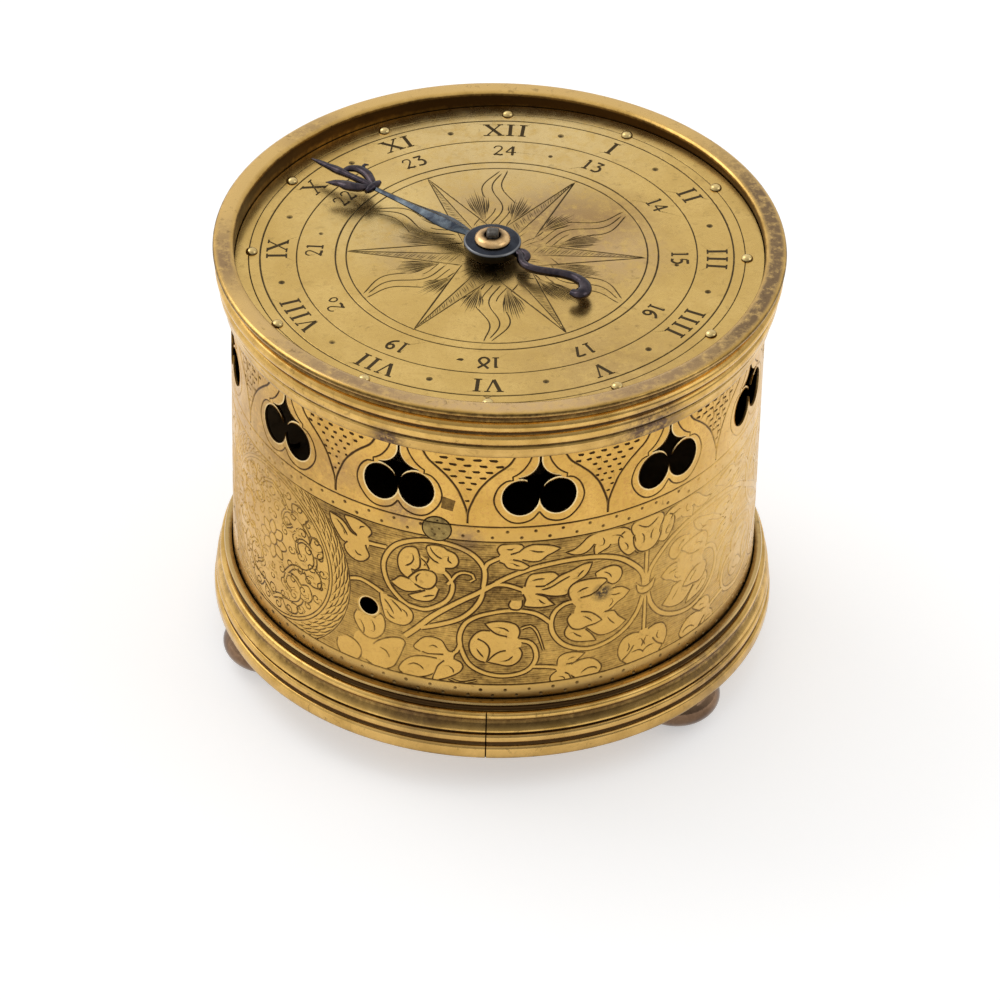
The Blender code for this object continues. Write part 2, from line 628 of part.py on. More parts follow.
def top_bezel(brass):
    """Moulded ring round the dial, with the ledge that the dial rests on and a skirt over the wall."""
    profile = [(WALL_RADIUS + share * RIM_OVERHANG, RIM_TOP - drop_share * BEZEL_HEIGHT)
               for share, drop_share in BEZEL_OUTLINE_SHARES]
    skirt = WALL_RADIUS + SEAT_GAP
    rim_inner = RIM_RADIUS - RIM_WIDTH
    profile += [(skirt, BEZEL_BOTTOM), (skirt, LEDGE_BOTTOM), (rim_inner - LEDGE_WIDTH, LEDGE_BOTTOM),
                (rim_inner - LEDGE_WIDTH, LEDGE_TOP), (rim_inner, LEDGE_TOP), (rim_inner, RIM_TOP)]
    return turned("top_bezel", profile, brass, RING_STEPS, hollow=True)


def base_moulding(brass):
    """Moulded ring round the foot of the wall, with a flange for the feet, the hinge and the cover."""
    mouth = WALL_RADIUS + BASE_MOUTH_GAP
    cover_opening = COVER_RADIUS + SEAT_GAP
    cover_ledge = BASE_BOTTOM + COVER_THICKNESS + SEAT_GAP
    ledge_inner = COVER_RADIUS - COVER_LEDGE_WIDTH
    seat_inner = WALL_RADIUS - WALL_SEAT_WIDTH
    profile = [(mouth, BASE_TOP)]
    profile += [(WALL_RADIUS + share * BASE_OVERHANG, BASE_TOP - drop_share * BASE_HEIGHT)
                for share, drop_share in BASE_OUTLINE_SHARES]
    profile += [(cover_opening, BASE_BOTTOM), (cover_opening, cover_ledge), (ledge_inner, cover_ledge),
                (ledge_inner, FLANGE_TOP), (seat_inner, FLANGE_TOP), (seat_inner, WALL_SEAT),
                (mouth, WALL_SEAT)]
    ring = turned("base_moulding", profile, brass, RING_STEPS, hollow=True)
    mesh = bmesh.new()
    low = BASE_BOTTOM - CUT_OVERRUN
    high = FLANGE_TOP + CUT_OVERRUN
    holes = [(direction(angle) * FOOT_CIRCLE_RADIUS, FOOT_TENON_RADIUS) for angle in FOOT_ANGLES]
    holes.append((direction(BUTTON_ANGLE) * BUTTON_CIRCLE_RADIUS, BUTTON_SHANK_RADIUS))
    for centre, radius in holes:
        outline = shifted(circle(bore(radius), SHAFT_STEPS), centre)
        add_loft(mesh, [at_height(outline, low), at_height(outline, high)])
    boolean(ring, finish("flange_cutter", mesh, brass), "DIFFERENCE")
    outer_length = KNUCKLE_LENGTH / 2
    for side in (-1, 1):
        near = side * (KNUCKLE_LENGTH / 2 + SEAT_GAP)
        far = near + side * outer_length
        boolean(ring, knuckle("base_knuckle", min(near, far), max(near, far), 1, brass), "UNION")
    return ring


def knuckle(name, start, end, side, brass):
    """Hinge knuckle round the hinge axis, with its web up into the plate on its own side of the axis."""
    steps = 10
    rise = KNUCKLE_RADIUS + SEAT_GAP + COVER_THICKNESS / 2
    first = math.acos(WEB_GAP / KNUCKLE_RADIUS)
    outline = [Vector((side * KNUCKLE_RADIUS, rise, 0)), Vector((side * WEB_GAP, rise, 0))]
    for step in range(steps + 1):
        angle = first + (2 * math.pi - first) * step / steps
        outline.append(Vector((side * KNUCKLE_RADIUS * math.cos(angle), KNUCKLE_RADIUS * math.sin(angle), 0)))
    mesh = bmesh.new()
    add_plate(mesh, outline, [circle(bore(HINGE_PIN_RADIUS), SHAFT_STEPS)], start, end)
    stand_up = Matrix.Rotation(math.radians(HINGE_ANGLE), 4, "Z") @ Matrix.Rotation(math.radians(90), 4, "X")
    place = Matrix.Translation(direction(HINGE_ANGLE) * HINGE_DISTANCE + Vector((0, 0, HINGE_HEIGHT)))
    return finish(name, mesh, brass, turn=place @ stand_up)


def cover_parts(brass, steel):
    """Hinged bottom cover over the winding squares, its hinge pin and its turn button."""
    hinge = direction(HINGE_ANGLE) * HINGE_DISTANCE + Vector((0, 0, HINGE_HEIGHT))
    cover = plate("bottom_cover", circle(COVER_RADIUS, RING_STEPS), [], BASE_BOTTOM,
                  BASE_BOTTOM + COVER_THICKNESS, brass)
    boolean(cover, knuckle("cover_knuckle", -KNUCKLE_LENGTH / 2, KNUCKLE_LENGTH / 2, -1, brass), "UNION")
    cover.data.transform(Matrix.Translation(-hinge))
    cover.location = hinge
    half = KNUCKLE_LENGTH + SEAT_GAP + HINGE_PIN_OVERHANG
    lie_down = Matrix.Rotation(math.radians(HINGE_ANGLE + 90), 4, "Z") @ Matrix.Rotation(math.radians(90), 4, "Y")
    turned("cover_hinge_pin", ((HINGE_PIN_RADIUS, -half), (HINGE_PIN_RADIUS, half)), steel, SHAFT_STEPS, hinge,
           turn=lie_down)
    axis = direction(BUTTON_ANGLE) * BUTTON_CIRCLE_RADIUS
    top = BASE_BOTTOM - SEAT_GAP
    bar = slot_outline(BUTTON_REACH, BUTTON_WIDTH / 2)
    button = plate("cover_turn_button", turned_points(bar, BUTTON_ANGLE + 90), [], top - BUTTON_THICKNESS, top,
                   brass, axis)
    head = FLANGE_TOP + SHOULDER_GAP
    rivet = ((BUTTON_SHANK_RADIUS, top - BUTTON_THICKNESS / 2), (BUTTON_SHANK_RADIUS, head),
             (BUTTON_HEAD_RADIUS, head), (BUTTON_HEAD_RADIUS, head + BUTTON_HEAD_HEIGHT))
    boolean(button, turned("button_rivet", rivet, brass, SHAFT_STEPS, axis), "UNION")


def feet(dark_brass):
    """Three bun feet with tenons up into the flange."""
    steps = 6
    top = FOOT_HEIGHT - SEAT_GAP
    start = -math.asin(FOOT_BELLY_HEIGHT / FOOT_HALF_DEPTH)
    end = math.asin((top - FOOT_BELLY_HEIGHT) / FOOT_HALF_DEPTH)
    profile = []
    for step in range(steps + 1):
        angle = start + (end - start) * step / steps
        profile.append((FOOT_RADIUS * math.cos(angle), FOOT_BELLY_HEIGHT + FOOT_HALF_DEPTH * math.sin(angle)))
    profile += [(FOOT_TENON_RADIUS, top), (FOOT_TENON_RADIUS, FLANGE_TOP)]
    for number, angle in enumerate(FOOT_ANGLES, start=1):
        turned(f"foot_{number}", profile, dark_brass, FOOT_STEPS, direction(angle) * FOOT_CIRCLE_RADIUS)


def dial_parts(brass, pin_brass):
    """Dial plate and the twelve riveted touch pins, the first at XII and on clockwise."""
    pin_places = [direction(90 - 360 * index / PIN_COUNT) * PIN_CIRCLE_RADIUS for index in range(PIN_COUNT)]
    holes = [shifted(circle(bore(PIN_SHANK_RADIUS, PIN_STEPS), PIN_STEPS), place) for place in pin_places]
    holes.append(shifted(circle(bore(BELL_POST_SPIGOT_RADIUS), SHAFT_STEPS), HOUR_AXIS))
    plate("dial_plate", circle(DIAL_RADIUS, RING_STEPS), holes, DIAL_BOTTOM, DIAL_TOP, brass)
    seat = DIAL_TOP + FIT_GAP
    profile = [(PIN_SHANK_RADIUS, DIAL_BOTTOM), (PIN_SHANK_RADIUS, seat)]
    for share, width_share in ((0.0, 1.0), (0.35, 0.95), (0.7, 0.72), (1.0, 0.3)):
        profile.append((PIN_HEAD_RADIUS * width_share, seat + PIN_HEAD_HEIGHT * share))
    for number, place in enumerate(pin_places, start=1):
        turned(f"touch_pin_{number:02d}", profile, pin_brass, PIN_STEPS, place)


def hand_outline():
    """Outline of the blade and the barbed head along +X, both sides."""
    side = [(share * HAND_LENGTH, width * BLADE_HALF_WIDTH) for share, width in BLADE_OUTLINE_SHARES]
    side += [(share * HAND_LENGTH, width * BARB_HALF_SPREAD) for share, width in HEAD_OUTLINE_SHARES]
    root = HUB_WAIST_RADIUS / 2
    near = [(root, BLADE_OUTLINE_SHARES[0][1] * BLADE_HALF_WIDTH)]
    upper = near + side
    points = [Vector((along, -half, 0)) for along, half in upper]
    points.append(Vector((HAND_LENGTH, 0, 0)))
    points += [Vector((along, half, 0)) for along, half in reversed(upper)]
    return points


def tail_tube(name, steel):
    """Scrolled tail: a round bar along its route, swelling to a ball at the end."""
    route = [Vector((x, y, 0)) * TAIL_SPAN for x, y in TAIL_ROUTE_SHARES]
    count = len(route)
    height = BLADE_BOTTOM + BLADE_THICKNESS / 2
    mesh = bmesh.new()
    rings = []
    for index, point in enumerate(route):
        before = route[max(index - 1, 0)]
        after = route[min(index + 1, count - 1)]
        tangent = (after - before).normalized()
        side = Vector((-tangent.y, tangent.x, 0))
        radius = TAIL_RADIUS
        if index >= count - 3:
            radius = TAIL_BALL_RADIUS * (0.85, 1.0, 0.6)[index - count + 3]
        ring = []
        for spoke in circle(radius, PIN_STEPS):
            ring.append(point + side * spoke.x + Vector((0, 0, height + spoke.y)))
        rings.append(ring)
    add_loft(mesh, rings)
    return finish(name, mesh, steel, HOUR_AXIS)


def hour_hand(blued_steel):
    """Single hand: hub, leaf blade with a barbed head, and a scrolled tail."""
    bore_ring = bore(HOUR_ARBOR_RADIUS)
    flange_bottom = HUB_TOP - HUB_FLANGE_HEIGHT
    profile = ((HUB_WAIST_RADIUS, HUB_BOTTOM), (HUB_WAIST_RADIUS, flange_bottom), (HUB_RADIUS, flange_bottom),
               (HUB_RADIUS, HUB_TOP), (bore_ring, HUB_TOP), (bore_ring, HUB_BOTTOM))
    hand = turned("hour_hand", profile, blued_steel, DRUM_STEPS, HOUR_AXIS, hollow=True)
    blade = plate("hand_blade", turned_points(hand_outline(), HAND_ANGLE), [], BLADE_BOTTOM,
                  BLADE_BOTTOM + BLADE_THICKNESS, blued_steel, HOUR_AXIS)
    boolean(hand, blade, "UNION")
    boolean(hand, tail_tube("hand_tail", blued_steel), "UNION")
    return hand


def hand_fixing(copper, steel):
    """Domed collar that presses the hand down, and the pin through the arbor above it."""
    hole = bore(HOUR_ARBOR_RADIUS)
    profile = [(COLLAR_RADIUS, COLLAR_BOTTOM)]
    for share, width_share in ((0.3, 0.98), (0.65, 0.86), (0.9, 0.68)):
        profile.append((COLLAR_RADIUS * width_share, COLLAR_BOTTOM + COLLAR_HEIGHT * share))
    profile += [(hole, COLLAR_TOP), (hole, COLLAR_BOTTOM)]
    turned("hand_collar", profile, copper, FOOT_STEPS, HOUR_AXIS, hollow=True)
    centre = HOUR_AXIS + Vector((0, 0, COLLAR_TOP + FIT_GAP + HAND_PIN_RADIUS))
    half = HAND_PIN_LENGTH / 2
    lie_down = Matrix.Rotation(math.radians(HAND_ANGLE + 90), 4, "Z") @ Matrix.Rotation(math.radians(90), 4, "Y")
    turned("hand_pin", ((HAND_PIN_RADIUS, -half), (HAND_PIN_RADIUS, half)), steel, PIN_STEPS, centre, turn=lie_down)


def hour_arbor(steel):
    """Upright arbor from the top plate to the hand, with a squared end and a cross hole."""
    collar_end = COLLAR_TOP - COLLAR_HEIGHT / 2
    tip = COLLAR_TOP + 2 * (FIT_GAP + HAND_PIN_RADIUS) + ARBOR_TIP_RISE
    square_half = HOUR_ARBOR_RADIUS * math.cos(math.pi / 4)
    mesh = bmesh.new()
    rings = [at_height(circle(PIVOT_RADIUS, SHAFT_STEPS), TOP_PLATE_BOTTOM),
             at_height(circle(PIVOT_RADIUS, SHAFT_STEPS), TOP_PLATE_TOP + SHOULDER_GAP),
             at_height(circle(HOUR_ARBOR_RADIUS, SHAFT_STEPS), TOP_PLATE_TOP + SHOULDER_GAP),
             at_height(circle(HOUR_ARBOR_RADIUS, SHAFT_STEPS), collar_end),
             at_height(square(square_half, SHAFT_STEPS), collar_end),
             at_height(square(square_half, SHAFT_STEPS), tip)]
    add_loft(mesh, rings)
    arbor = finish("hour_arbor", mesh, steel, HOUR_AXIS)
    centre = HOUR_AXIS + Vector((0, 0, COLLAR_TOP + FIT_GAP + HAND_PIN_RADIUS))
    half = HAND_PIN_LENGTH / 2
    lie_down = Matrix.Rotation(math.radians(HAND_ANGLE + 90), 4, "Z") @ Matrix.Rotation(math.radians(90), 4, "Y")
    radius = bore(HAND_PIN_RADIUS, PIN_STEPS)
    hole = turned("pin_cutter", ((radius, -half), (radius, half)), steel, PIN_STEPS, centre, turn=lie_down)
    return boolean(arbor, hole, "DIFFERENCE")


def frame_parts(brass):
    """Movement plates, the pillars between them and the posts up to the dial."""
    tenon = bore(TENON_RADIUS)
    pillar_places = [direction(angle) * PILLAR_CIRCLE_RADIUS for angle in PILLAR_ANGLES]
    post_places = [direction(angle) * PILLAR_CIRCLE_RADIUS for angle in POST_ANGLES]
    pivots = [SECOND_AXIS, CONTRATE_AXIS]
    back_holes = [(place, tenon) for place in pillar_places]
    back_holes += [(place, bore(PIVOT_RADIUS)) for place in pivots]
    back_holes += [(FUSEE_AXIS, bore(FUSEE_ARBOR_RADIUS)), (BARREL_AXIS, bore(BARREL_ARBOR_RADIUS)),
                   (VERGE_AXIS, bore(VERGE_RADIUS)), (click_axis(), bore(PIVOT_RADIUS))]
    top_holes = [(place, tenon) for place in pillar_places + post_places]
    top_holes += [(place, bore(PIVOT_RADIUS)) for place in pivots + [HOUR_AXIS, BARREL_AXIS, HAMMER_AXIS]]
    top_holes += [(FUSEE_AXIS, bore(PIPE_RADIUS)), (VERGE_AXIS, bore(VERGE_RADIUS))]
    for name, holes, bottom in (("back_plate", back_holes, BACK_PLATE_BOTTOM),
                                ("top_plate", top_holes, TOP_PLATE_BOTTOM)):
        loops = [shifted(circle(radius, SHAFT_STEPS), place) for place, radius in holes]
        plate(name, circle(PLATE_RADIUS, RING_STEPS), loops, bottom, bottom + PLATE_THICKNESS, brass)
    low = BACK_PLATE_TOP + SEAT_GAP
    high = TOP_PLATE_BOTTOM - SEAT_GAP
    middle = (low + high) / 2
    bulge = PILLAR_RADIUS + PILLAR_BULGE
    waist = PILLAR_RADIUS - PILLAR_BULGE / 2
    profile = ((TENON_RADIUS, BACK_PLATE_BOTTOM - TENON_OVERHANG), (TENON_RADIUS, low), (PILLAR_RADIUS, low),
               (waist, low + bulge), (waist, middle - bulge), (bulge, middle), (waist, middle + bulge),
               (waist, high - bulge), (PILLAR_RADIUS, high), (TENON_RADIUS, high),
               (TENON_RADIUS, TOP_PLATE_TOP + TENON_OVERHANG))
    for number, place in enumerate(pillar_places, start=1):
        turned(f"pillar_{number}", profile, brass, SHAFT_STEPS, place)
    low = TOP_PLATE_TOP + SEAT_GAP
    high = DIAL_BOTTOM - SEAT_GAP
    profile = ((TENON_RADIUS, TOP_PLATE_BOTTOM - TENON_OVERHANG), (TENON_RADIUS, low), (PILLAR_RADIUS, low),
               (PILLAR_RADIUS, high))
    for number, place in enumerate(post_places, start=1):
        turned(f"dial_post_{number}", profile, brass, SHAFT_STEPS, place)


def wheel(name, outline, root_radius, hub_radius, bottom, thickness, brass, axis):
    """Flat wheel with four crossings."""
    spokes = 4
    steps = 5
    rim = root_radius * RIM_SHARE
    inner = max(root_radius * (1 - RIM_SHARE), hub_radius) * 2
    holes = [circle(bore(hub_radius), SHAFT_STEPS)]
    half_spoke = root_radius * SPOKE_SHARE / 2
    for spoke in range(spokes):
        window = []
        for radius, order in ((rim, 1), (inner, -1)):
            margin = math.asin(half_spoke / radius)
            start = 2 * math.pi * spoke / spokes + margin
            end = 2 * math.pi * (spoke + 1) / spokes - margin
            for step in range(steps)[::order]:
                angle = start + (end - start) * step / (steps - 1)
                window.append(Vector((radius * math.cos(angle), radius * math.sin(angle), 0)))
        holes.append(window)
    return plate(name, outline, holes, bottom, bottom + thickness, brass, axis)


def arbor(name, sections, steel, axis, leaves=PINION_LEAVES, module=GREAT_MODULE, phase=0.0):
    """Upright arbor; each section is a round radius, or a pinion where the radius is None."""
    steps = leaves * 4
    pinion = gear(leaves, module, PINION_ADDENDUM_SHARE, phase)
    offset = phase - TOOTH_ROOT_SHARE * math.pi / leaves
    rings = []
    for radius, low, high in sections:
        outline = pinion if radius is None else circle(radius, steps, offset)
        rings += [at_height(outline, low), at_height(outline, high)]
    mesh = bmesh.new()
    add_loft(mesh, rings)
    return finish(name, mesh, steel, axis)


def tooth_gap_phase(teeth, degrees):
    """Phase that puts a gap between two teeth in this direction."""
    return math.radians(degrees) + math.pi / teeth


def train_parts(brass, steel):
    """Second wheel and contrate wheel on their arbors."""
    lower = BACK_PLATE_TOP + SHOULDER_GAP
    upper = TOP_PLATE_BOTTOM - SHOULDER_GAP
    pinion_low = GREAT_BOTTOM - SHOULDER_GAP
    pinion_high = GREAT_TOP + SHOULDER_GAP
    arbor("second_arbor", ((PIVOT_RADIUS, BACK_PLATE_BOTTOM, lower), (ARBOR_RADIUS, lower, pinion_low),
                           (None, pinion_low, pinion_high), (PIVOT_RADIUS, pinion_high, TOP_PLATE_TOP)),
          steel, SECOND_AXIS, phase=math.radians(SECOND_DIRECTION + 180))
    outline = gear(SECOND_TEETH, SECOND_MODULE, ADDENDUM_SHARE, tooth_gap_phase(SECOND_TEETH, CONTRATE_DIRECTION))
    root = SECOND_TEETH * SECOND_MODULE / 2 - DEDENDUM_SHARE * SECOND_MODULE
    wheel("second_wheel", outline, root, ARBOR_RADIUS, SECOND_BOTTOM, WHEEL_THICKNESS, brass, SECOND_AXIS)
    pinion_low = SECOND_BOTTOM - SHOULDER_GAP
    pinion_high = SECOND_BOTTOM + WHEEL_THICKNESS + SHOULDER_GAP
    arbor("contrate_arbor", ((PIVOT_RADIUS, BACK_PLATE_BOTTOM, lower), (CROWN_ARBOR_RADIUS, lower, pinion_low),
                             (None, pinion_low, pinion_high), (CROWN_ARBOR_RADIUS, pinion_high, upper),
                             (PIVOT_RADIUS, upper, TOP_PLATE_TOP)),
          steel, CONTRATE_AXIS, module=SECOND_MODULE, phase=math.radians(CONTRATE_DIRECTION + 180))
    crown_band_wheel("contrate_wheel", CONTRATE_TEETH, CONTRATE_RADIUS, CONTRATE_BAND, CONTRATE_BOTTOM,
                     CONTRATE_TOP, CONTRATE_TOOTH_DEPTH, CROWN_ARBOR_RADIUS, 0.5,
                     tooth_gap_phase(CONTRATE_TEETH, CROWN_DIRECTION), brass, CONTRATE_AXIS)


def crown_band_wheel(name, teeth, radius, band, bottom, top, depth, hub, lean, phase, brass, axis, turn=None):
    """Disc with a band that carries axial teeth: each tooth rises, then falls after its lean share."""
    outer = radius + band / 2
    inner = radius - band / 2
    web_top = bottom + WEB_THICKNESS
    pitch = 2 * math.pi / teeth
    angles = []
    tops = []
    for tooth in range(teeth):
        for share, height in ((-0.5, top - depth), (lean - 0.5, top)):
            angles.append(phase + (tooth + share) * pitch)
            tops.append(height)

    def ring(reach, heights):
        return [Vector((reach * math.cos(angle), reach * math.sin(angle), height))
                for angle, height in zip(angles, heights)]

    count = len(angles)
    hub_reach = (hub + RUN_GAP) / math.cos(math.pi / count)
    mesh = bmesh.new()
    rings = [ring(hub_reach, [bottom] * count), ring(outer, [bottom] * count), ring(outer, tops),
             ring(inner, tops), ring(inner, [web_top] * count), ring(hub_reach, [web_top] * count)]
    add_loft(mesh, rings, closed=True)
    return finish(name, mesh, brass, axis, turn)


def crown_parts(brass, steel):
    """Crown wheel on its level arbor, and the potence that carries the arbor under the top plate."""
    centre = CONTRATE_AXIS + Vector((0, 0, CROWN_HEIGHT))
    lie_down = Matrix.Rotation(math.radians(CROWN_DIRECTION), 4, "Z") @ Matrix.Rotation(math.radians(90), 4, "Y")
    ear_half = EAR_THICKNESS / 2
    inner_face = EAR_INNER_DISTANCE + ear_half + SHOULDER_GAP
    outer_face = EAR_OUTER_DISTANCE - ear_half - SHOULDER_GAP
    pinion_low = CONTRATE_RADIUS - CONTRATE_BAND
    pinion_high = CONTRATE_RADIUS + CONTRATE_BAND
    wheel_bottom = CROWN_DISTANCE
    mesh = bmesh.new()
    steps = CROWN_LEAVES * 4
    pinion = gear(CROWN_LEAVES, CROWN_MODULE, PINION_ADDENDUM_SHARE, 0.0)
    offset = -TOOTH_ROOT_SHARE * math.pi / CROWN_LEAVES
    slim = CROWN_PIVOT_RADIUS
    body = CROWN_MODULE * (CROWN_LEAVES / 2 - DEDENDUM_SHARE)
    sections = ((slim, EAR_INNER_DISTANCE - ear_half, inner_face), (body, inner_face, pinion_low),
                (None, pinion_low, pinion_high), (body, pinion_high, outer_face),
                (slim, outer_face, wheel_bottom + WEB_THICKNESS + SHOULDER_GAP))
    rings = []
    for radius, low, high in sections:
        outline = pinion if radius is None else circle(radius, steps, offset)
        rings += [at_height(outline, low), at_height(outline, high)]
    add_loft(mesh, rings)
    finish("crown_arbor", mesh, steel, centre, lie_down)
    crown_band_wheel("crown_wheel", CROWN_TEETH, CROWN_RADIUS - CROWN_BAND / 2, CROWN_BAND, wheel_bottom,
                     CROWN_TIP_DISTANCE, CROWN_TOOTH_DEPTH, slim, 0.85, 0.0, brass, centre, lie_down)
    half = EAR_WIDTH / 2
    bar_top = TOP_PLATE_BOTTOM - SEAT_GAP
    bar_bottom = bar_top - POTENCE_BAR_THICKNESS
    low_end = CROWN_HEIGHT - half
    bar_inner = EAR_INNER_DISTANCE - ear_half
    bar_outer = EAR_OUTER_DISTANCE + ear_half
    side = ((bar_inner, low_end), (bar_inner + EAR_THICKNESS, low_end), (bar_inner + EAR_THICKNESS, bar_bottom),
            (bar_outer - EAR_THICKNESS, bar_bottom), (bar_outer - EAR_THICKNESS, low_end), (bar_outer, low_end),
            (bar_outer, bar_top), (bar_inner, bar_top))
    mesh = bmesh.new()
    add_loft(mesh, [[Vector((along, across, height)) for along, height in side] for across in (-half, half)])
    swing = Matrix.Rotation(math.radians(CROWN_DIRECTION), 4, "Z")
    potence = finish("crown_potence", mesh, steel, CONTRATE_AXIS, swing)
    hole = bore(slim)
    drill = turned("drill", ((hole, bar_inner - CUT_OVERRUN), (hole, bar_outer + CUT_OVERRUN)), steel, SHAFT_STEPS,
                   centre, turn=lie_down)
    boolean(potence, drill, "DIFFERENCE")


def escapement_parts(brass, steel):
    """Verge with its two pallets, the balance wheel under the back plate and the cock that carries it."""
    top = TOP_PLATE_TOP
    bottom = COCK_BOTTOM
    verge = turned("verge_staff", ((VERGE_RADIUS, bottom), (VERGE_RADIUS, top)), steel, SHAFT_STEPS, VERGE_AXIS)
    pallet_offset = CROWN_RADIUS - CROWN_BAND / 2
    half = VERGE_RADIUS / 2
    for side, degrees in ((-1, CROWN_DIRECTION + 135), (1, CROWN_DIRECTION + 225)):
        middle = CROWN_HEIGHT + side * pallet_offset
        flag = block("pallet", (0, -half, middle - PALLET_HEIGHT / 2), (PALLET_REACH, half, middle + PALLET_HEIGHT / 2),
                     steel, VERGE_AXIS, Matrix.Rotation(math.radians(degrees), 4, "Z"))
        boolean(verge, flag, "UNION")
    inner = BALANCE_RADIUS - BALANCE_RIM_WIDTH
    half_arm = BALANCE_ARM_WIDTH / 2
    margin = math.asin(half_arm / inner)
    inner_margin = math.asin(half_arm / BALANCE_ARM_WIDTH)
    steps = 10
    holes = [circle(bore(VERGE_RADIUS), SHAFT_STEPS)]
    for start in (0.0, math.pi):
        window = []
        for step in range(steps):
            angle = start + margin + (math.pi - 2 * margin) * step / (steps - 1)
            window.append(Vector((inner * math.cos(angle), inner * math.sin(angle), 0)))
        for step in reversed(range(steps // 2)):
            angle = start + inner_margin + (math.pi - 2 * inner_margin) * step / (steps // 2 - 1)
            reach = BALANCE_ARM_WIDTH
            window.append(Vector((reach * math.cos(angle), reach * math.sin(angle), 0)))
        holes.append(window)
    plate("balance_wheel", circle(BALANCE_RADIUS, DRUM_STEPS), holes, BALANCE_BOTTOM,
          BALANCE_BOTTOM + BALANCE_THICKNESS, brass, VERGE_AXIS)
    bar = turned_points(slot_outline(COCK_REACH, COCK_WIDTH / 2), COCK_DIRECTION)
    cock = plate("balance_cock", bar, [circle(bore(VERGE_RADIUS), SHAFT_STEPS)], COCK_BOTTOM, COCK_TOP, brass,
                 VERGE_AXIS)
    foot_start = BALANCE_RADIUS + SEAT_GAP
    foot = block("cock_foot", (foot_start, -COCK_WIDTH / 2, COCK_TOP - COCK_THICKNESS / 2),
                 (COCK_REACH, COCK_WIDTH / 2, BACK_PLATE_BOTTOM - SEAT_GAP), brass, VERGE_AXIS,
                 Matrix.Rotation(math.radians(COCK_DIRECTION), 4, "Z"))
    boolean(cock, foot, "UNION")


def fusee_parts(brass, steel):
    """Great wheel with its pipe and report pinion, and the grooved fusee on its winding arbor."""
    outline = gear(GREAT_TEETH, GREAT_MODULE, ADDENDUM_SHARE, tooth_gap_phase(GREAT_TEETH, SECOND_DIRECTION))
    root = GREAT_TEETH * GREAT_MODULE / 2 - DEDENDUM_SHARE * GREAT_MODULE
    great = wheel("great_wheel", outline, root, FUSEE_ARBOR_RADIUS, GREAT_BOTTOM, GREAT_THICKNESS, brass, FUSEE_AXIS)
    hole = bore(FUSEE_ARBOR_RADIUS)
    shoulder = TOP_PLATE_BOTTOM - SHOULDER_GAP
    pipe_top = HOUR_WHEEL_TOP + SHOULDER_GAP
    pipe = ((PIPE_SHOULDER_RADIUS, GREAT_TOP - GREAT_THICKNESS / 2), (PIPE_SHOULDER_RADIUS, shoulder),
            (PIPE_RADIUS, shoulder), (PIPE_RADIUS, pipe_top), (hole, pipe_top),
            (hole, GREAT_TOP - GREAT_THICKNESS / 2))
    boolean(great, turned("wheel_pipe", pipe, brass, SHAFT_STEPS, FUSEE_AXIS, hollow=True), "UNION")
    leaves = gear(REPORT_LEAVES, HOUR_MODULE, PINION_ADDENDUM_SHARE, math.radians(REPORT_DIRECTION + 180))
    plate("report_pinion", leaves, [circle(bore(PIPE_RADIUS), SHAFT_STEPS)], HOUR_WHEEL_BOTTOM - SHOULDER_GAP,
          pipe_top, steel, FUSEE_AXIS)
    profile = [(hole, FUSEE_BOTTOM)]
    pitch = FUSEE_HEIGHT / FUSEE_GROOVES
    ridge = pitch * FUSEE_RIDGE_SHARE
    for groove in range(FUSEE_GROOVES):
        radius = groove_radius(groove)
        low = FUSEE_BOTTOM + groove * pitch
        profile += [(radius + FUSEE_RIDGE, low), (radius + FUSEE_RIDGE, low + ridge), (radius, low + ridge),
                    (radius, low + pitch)]
    profile.append((hole, FUSEE_TOP))
    turned("fusee_cone", profile[::-1], brass, FOOT_STEPS, FUSEE_AXIS, hollow=True)
    mesh = bmesh.new()
    end = BACK_PLATE_BOTTOM - WINDING_SQUARE_DROP
    neck = BACK_PLATE_BOTTOM - SHOULDER_GAP
    rings = [at_height(square(WINDING_SQUARE_HALF, SHAFT_STEPS), end),
             at_height(square(WINDING_SQUARE_HALF, SHAFT_STEPS), neck),
             at_height(circle(FUSEE_ARBOR_RADIUS, SHAFT_STEPS), neck),
             at_height(circle(FUSEE_ARBOR_RADIUS, SHAFT_STEPS), pipe_top)]
    add_loft(mesh, rings)
    finish("fusee_arbor", mesh, steel, FUSEE_AXIS)


def groove_radius(groove):
    """Radius at the bottom of one groove; the fusee widens upwards in a hollow curve."""
    share = groove / (FUSEE_GROOVES - 1)
    return FUSEE_SMALL_RADIUS + (FUSEE_LARGE_RADIUS - FUSEE_SMALL_RADIUS) * share ** 1.4


def click_axis():
    """Pivot of the set-up click, beside the ratchet and square to its reach."""
    reach = math.hypot(RATCHET_RADIUS + CLICK_WIDTH / 2, CLICK_LENGTH)
    return BARREL_AXIS + direction(BARREL_DIRECTION + 60) * reach


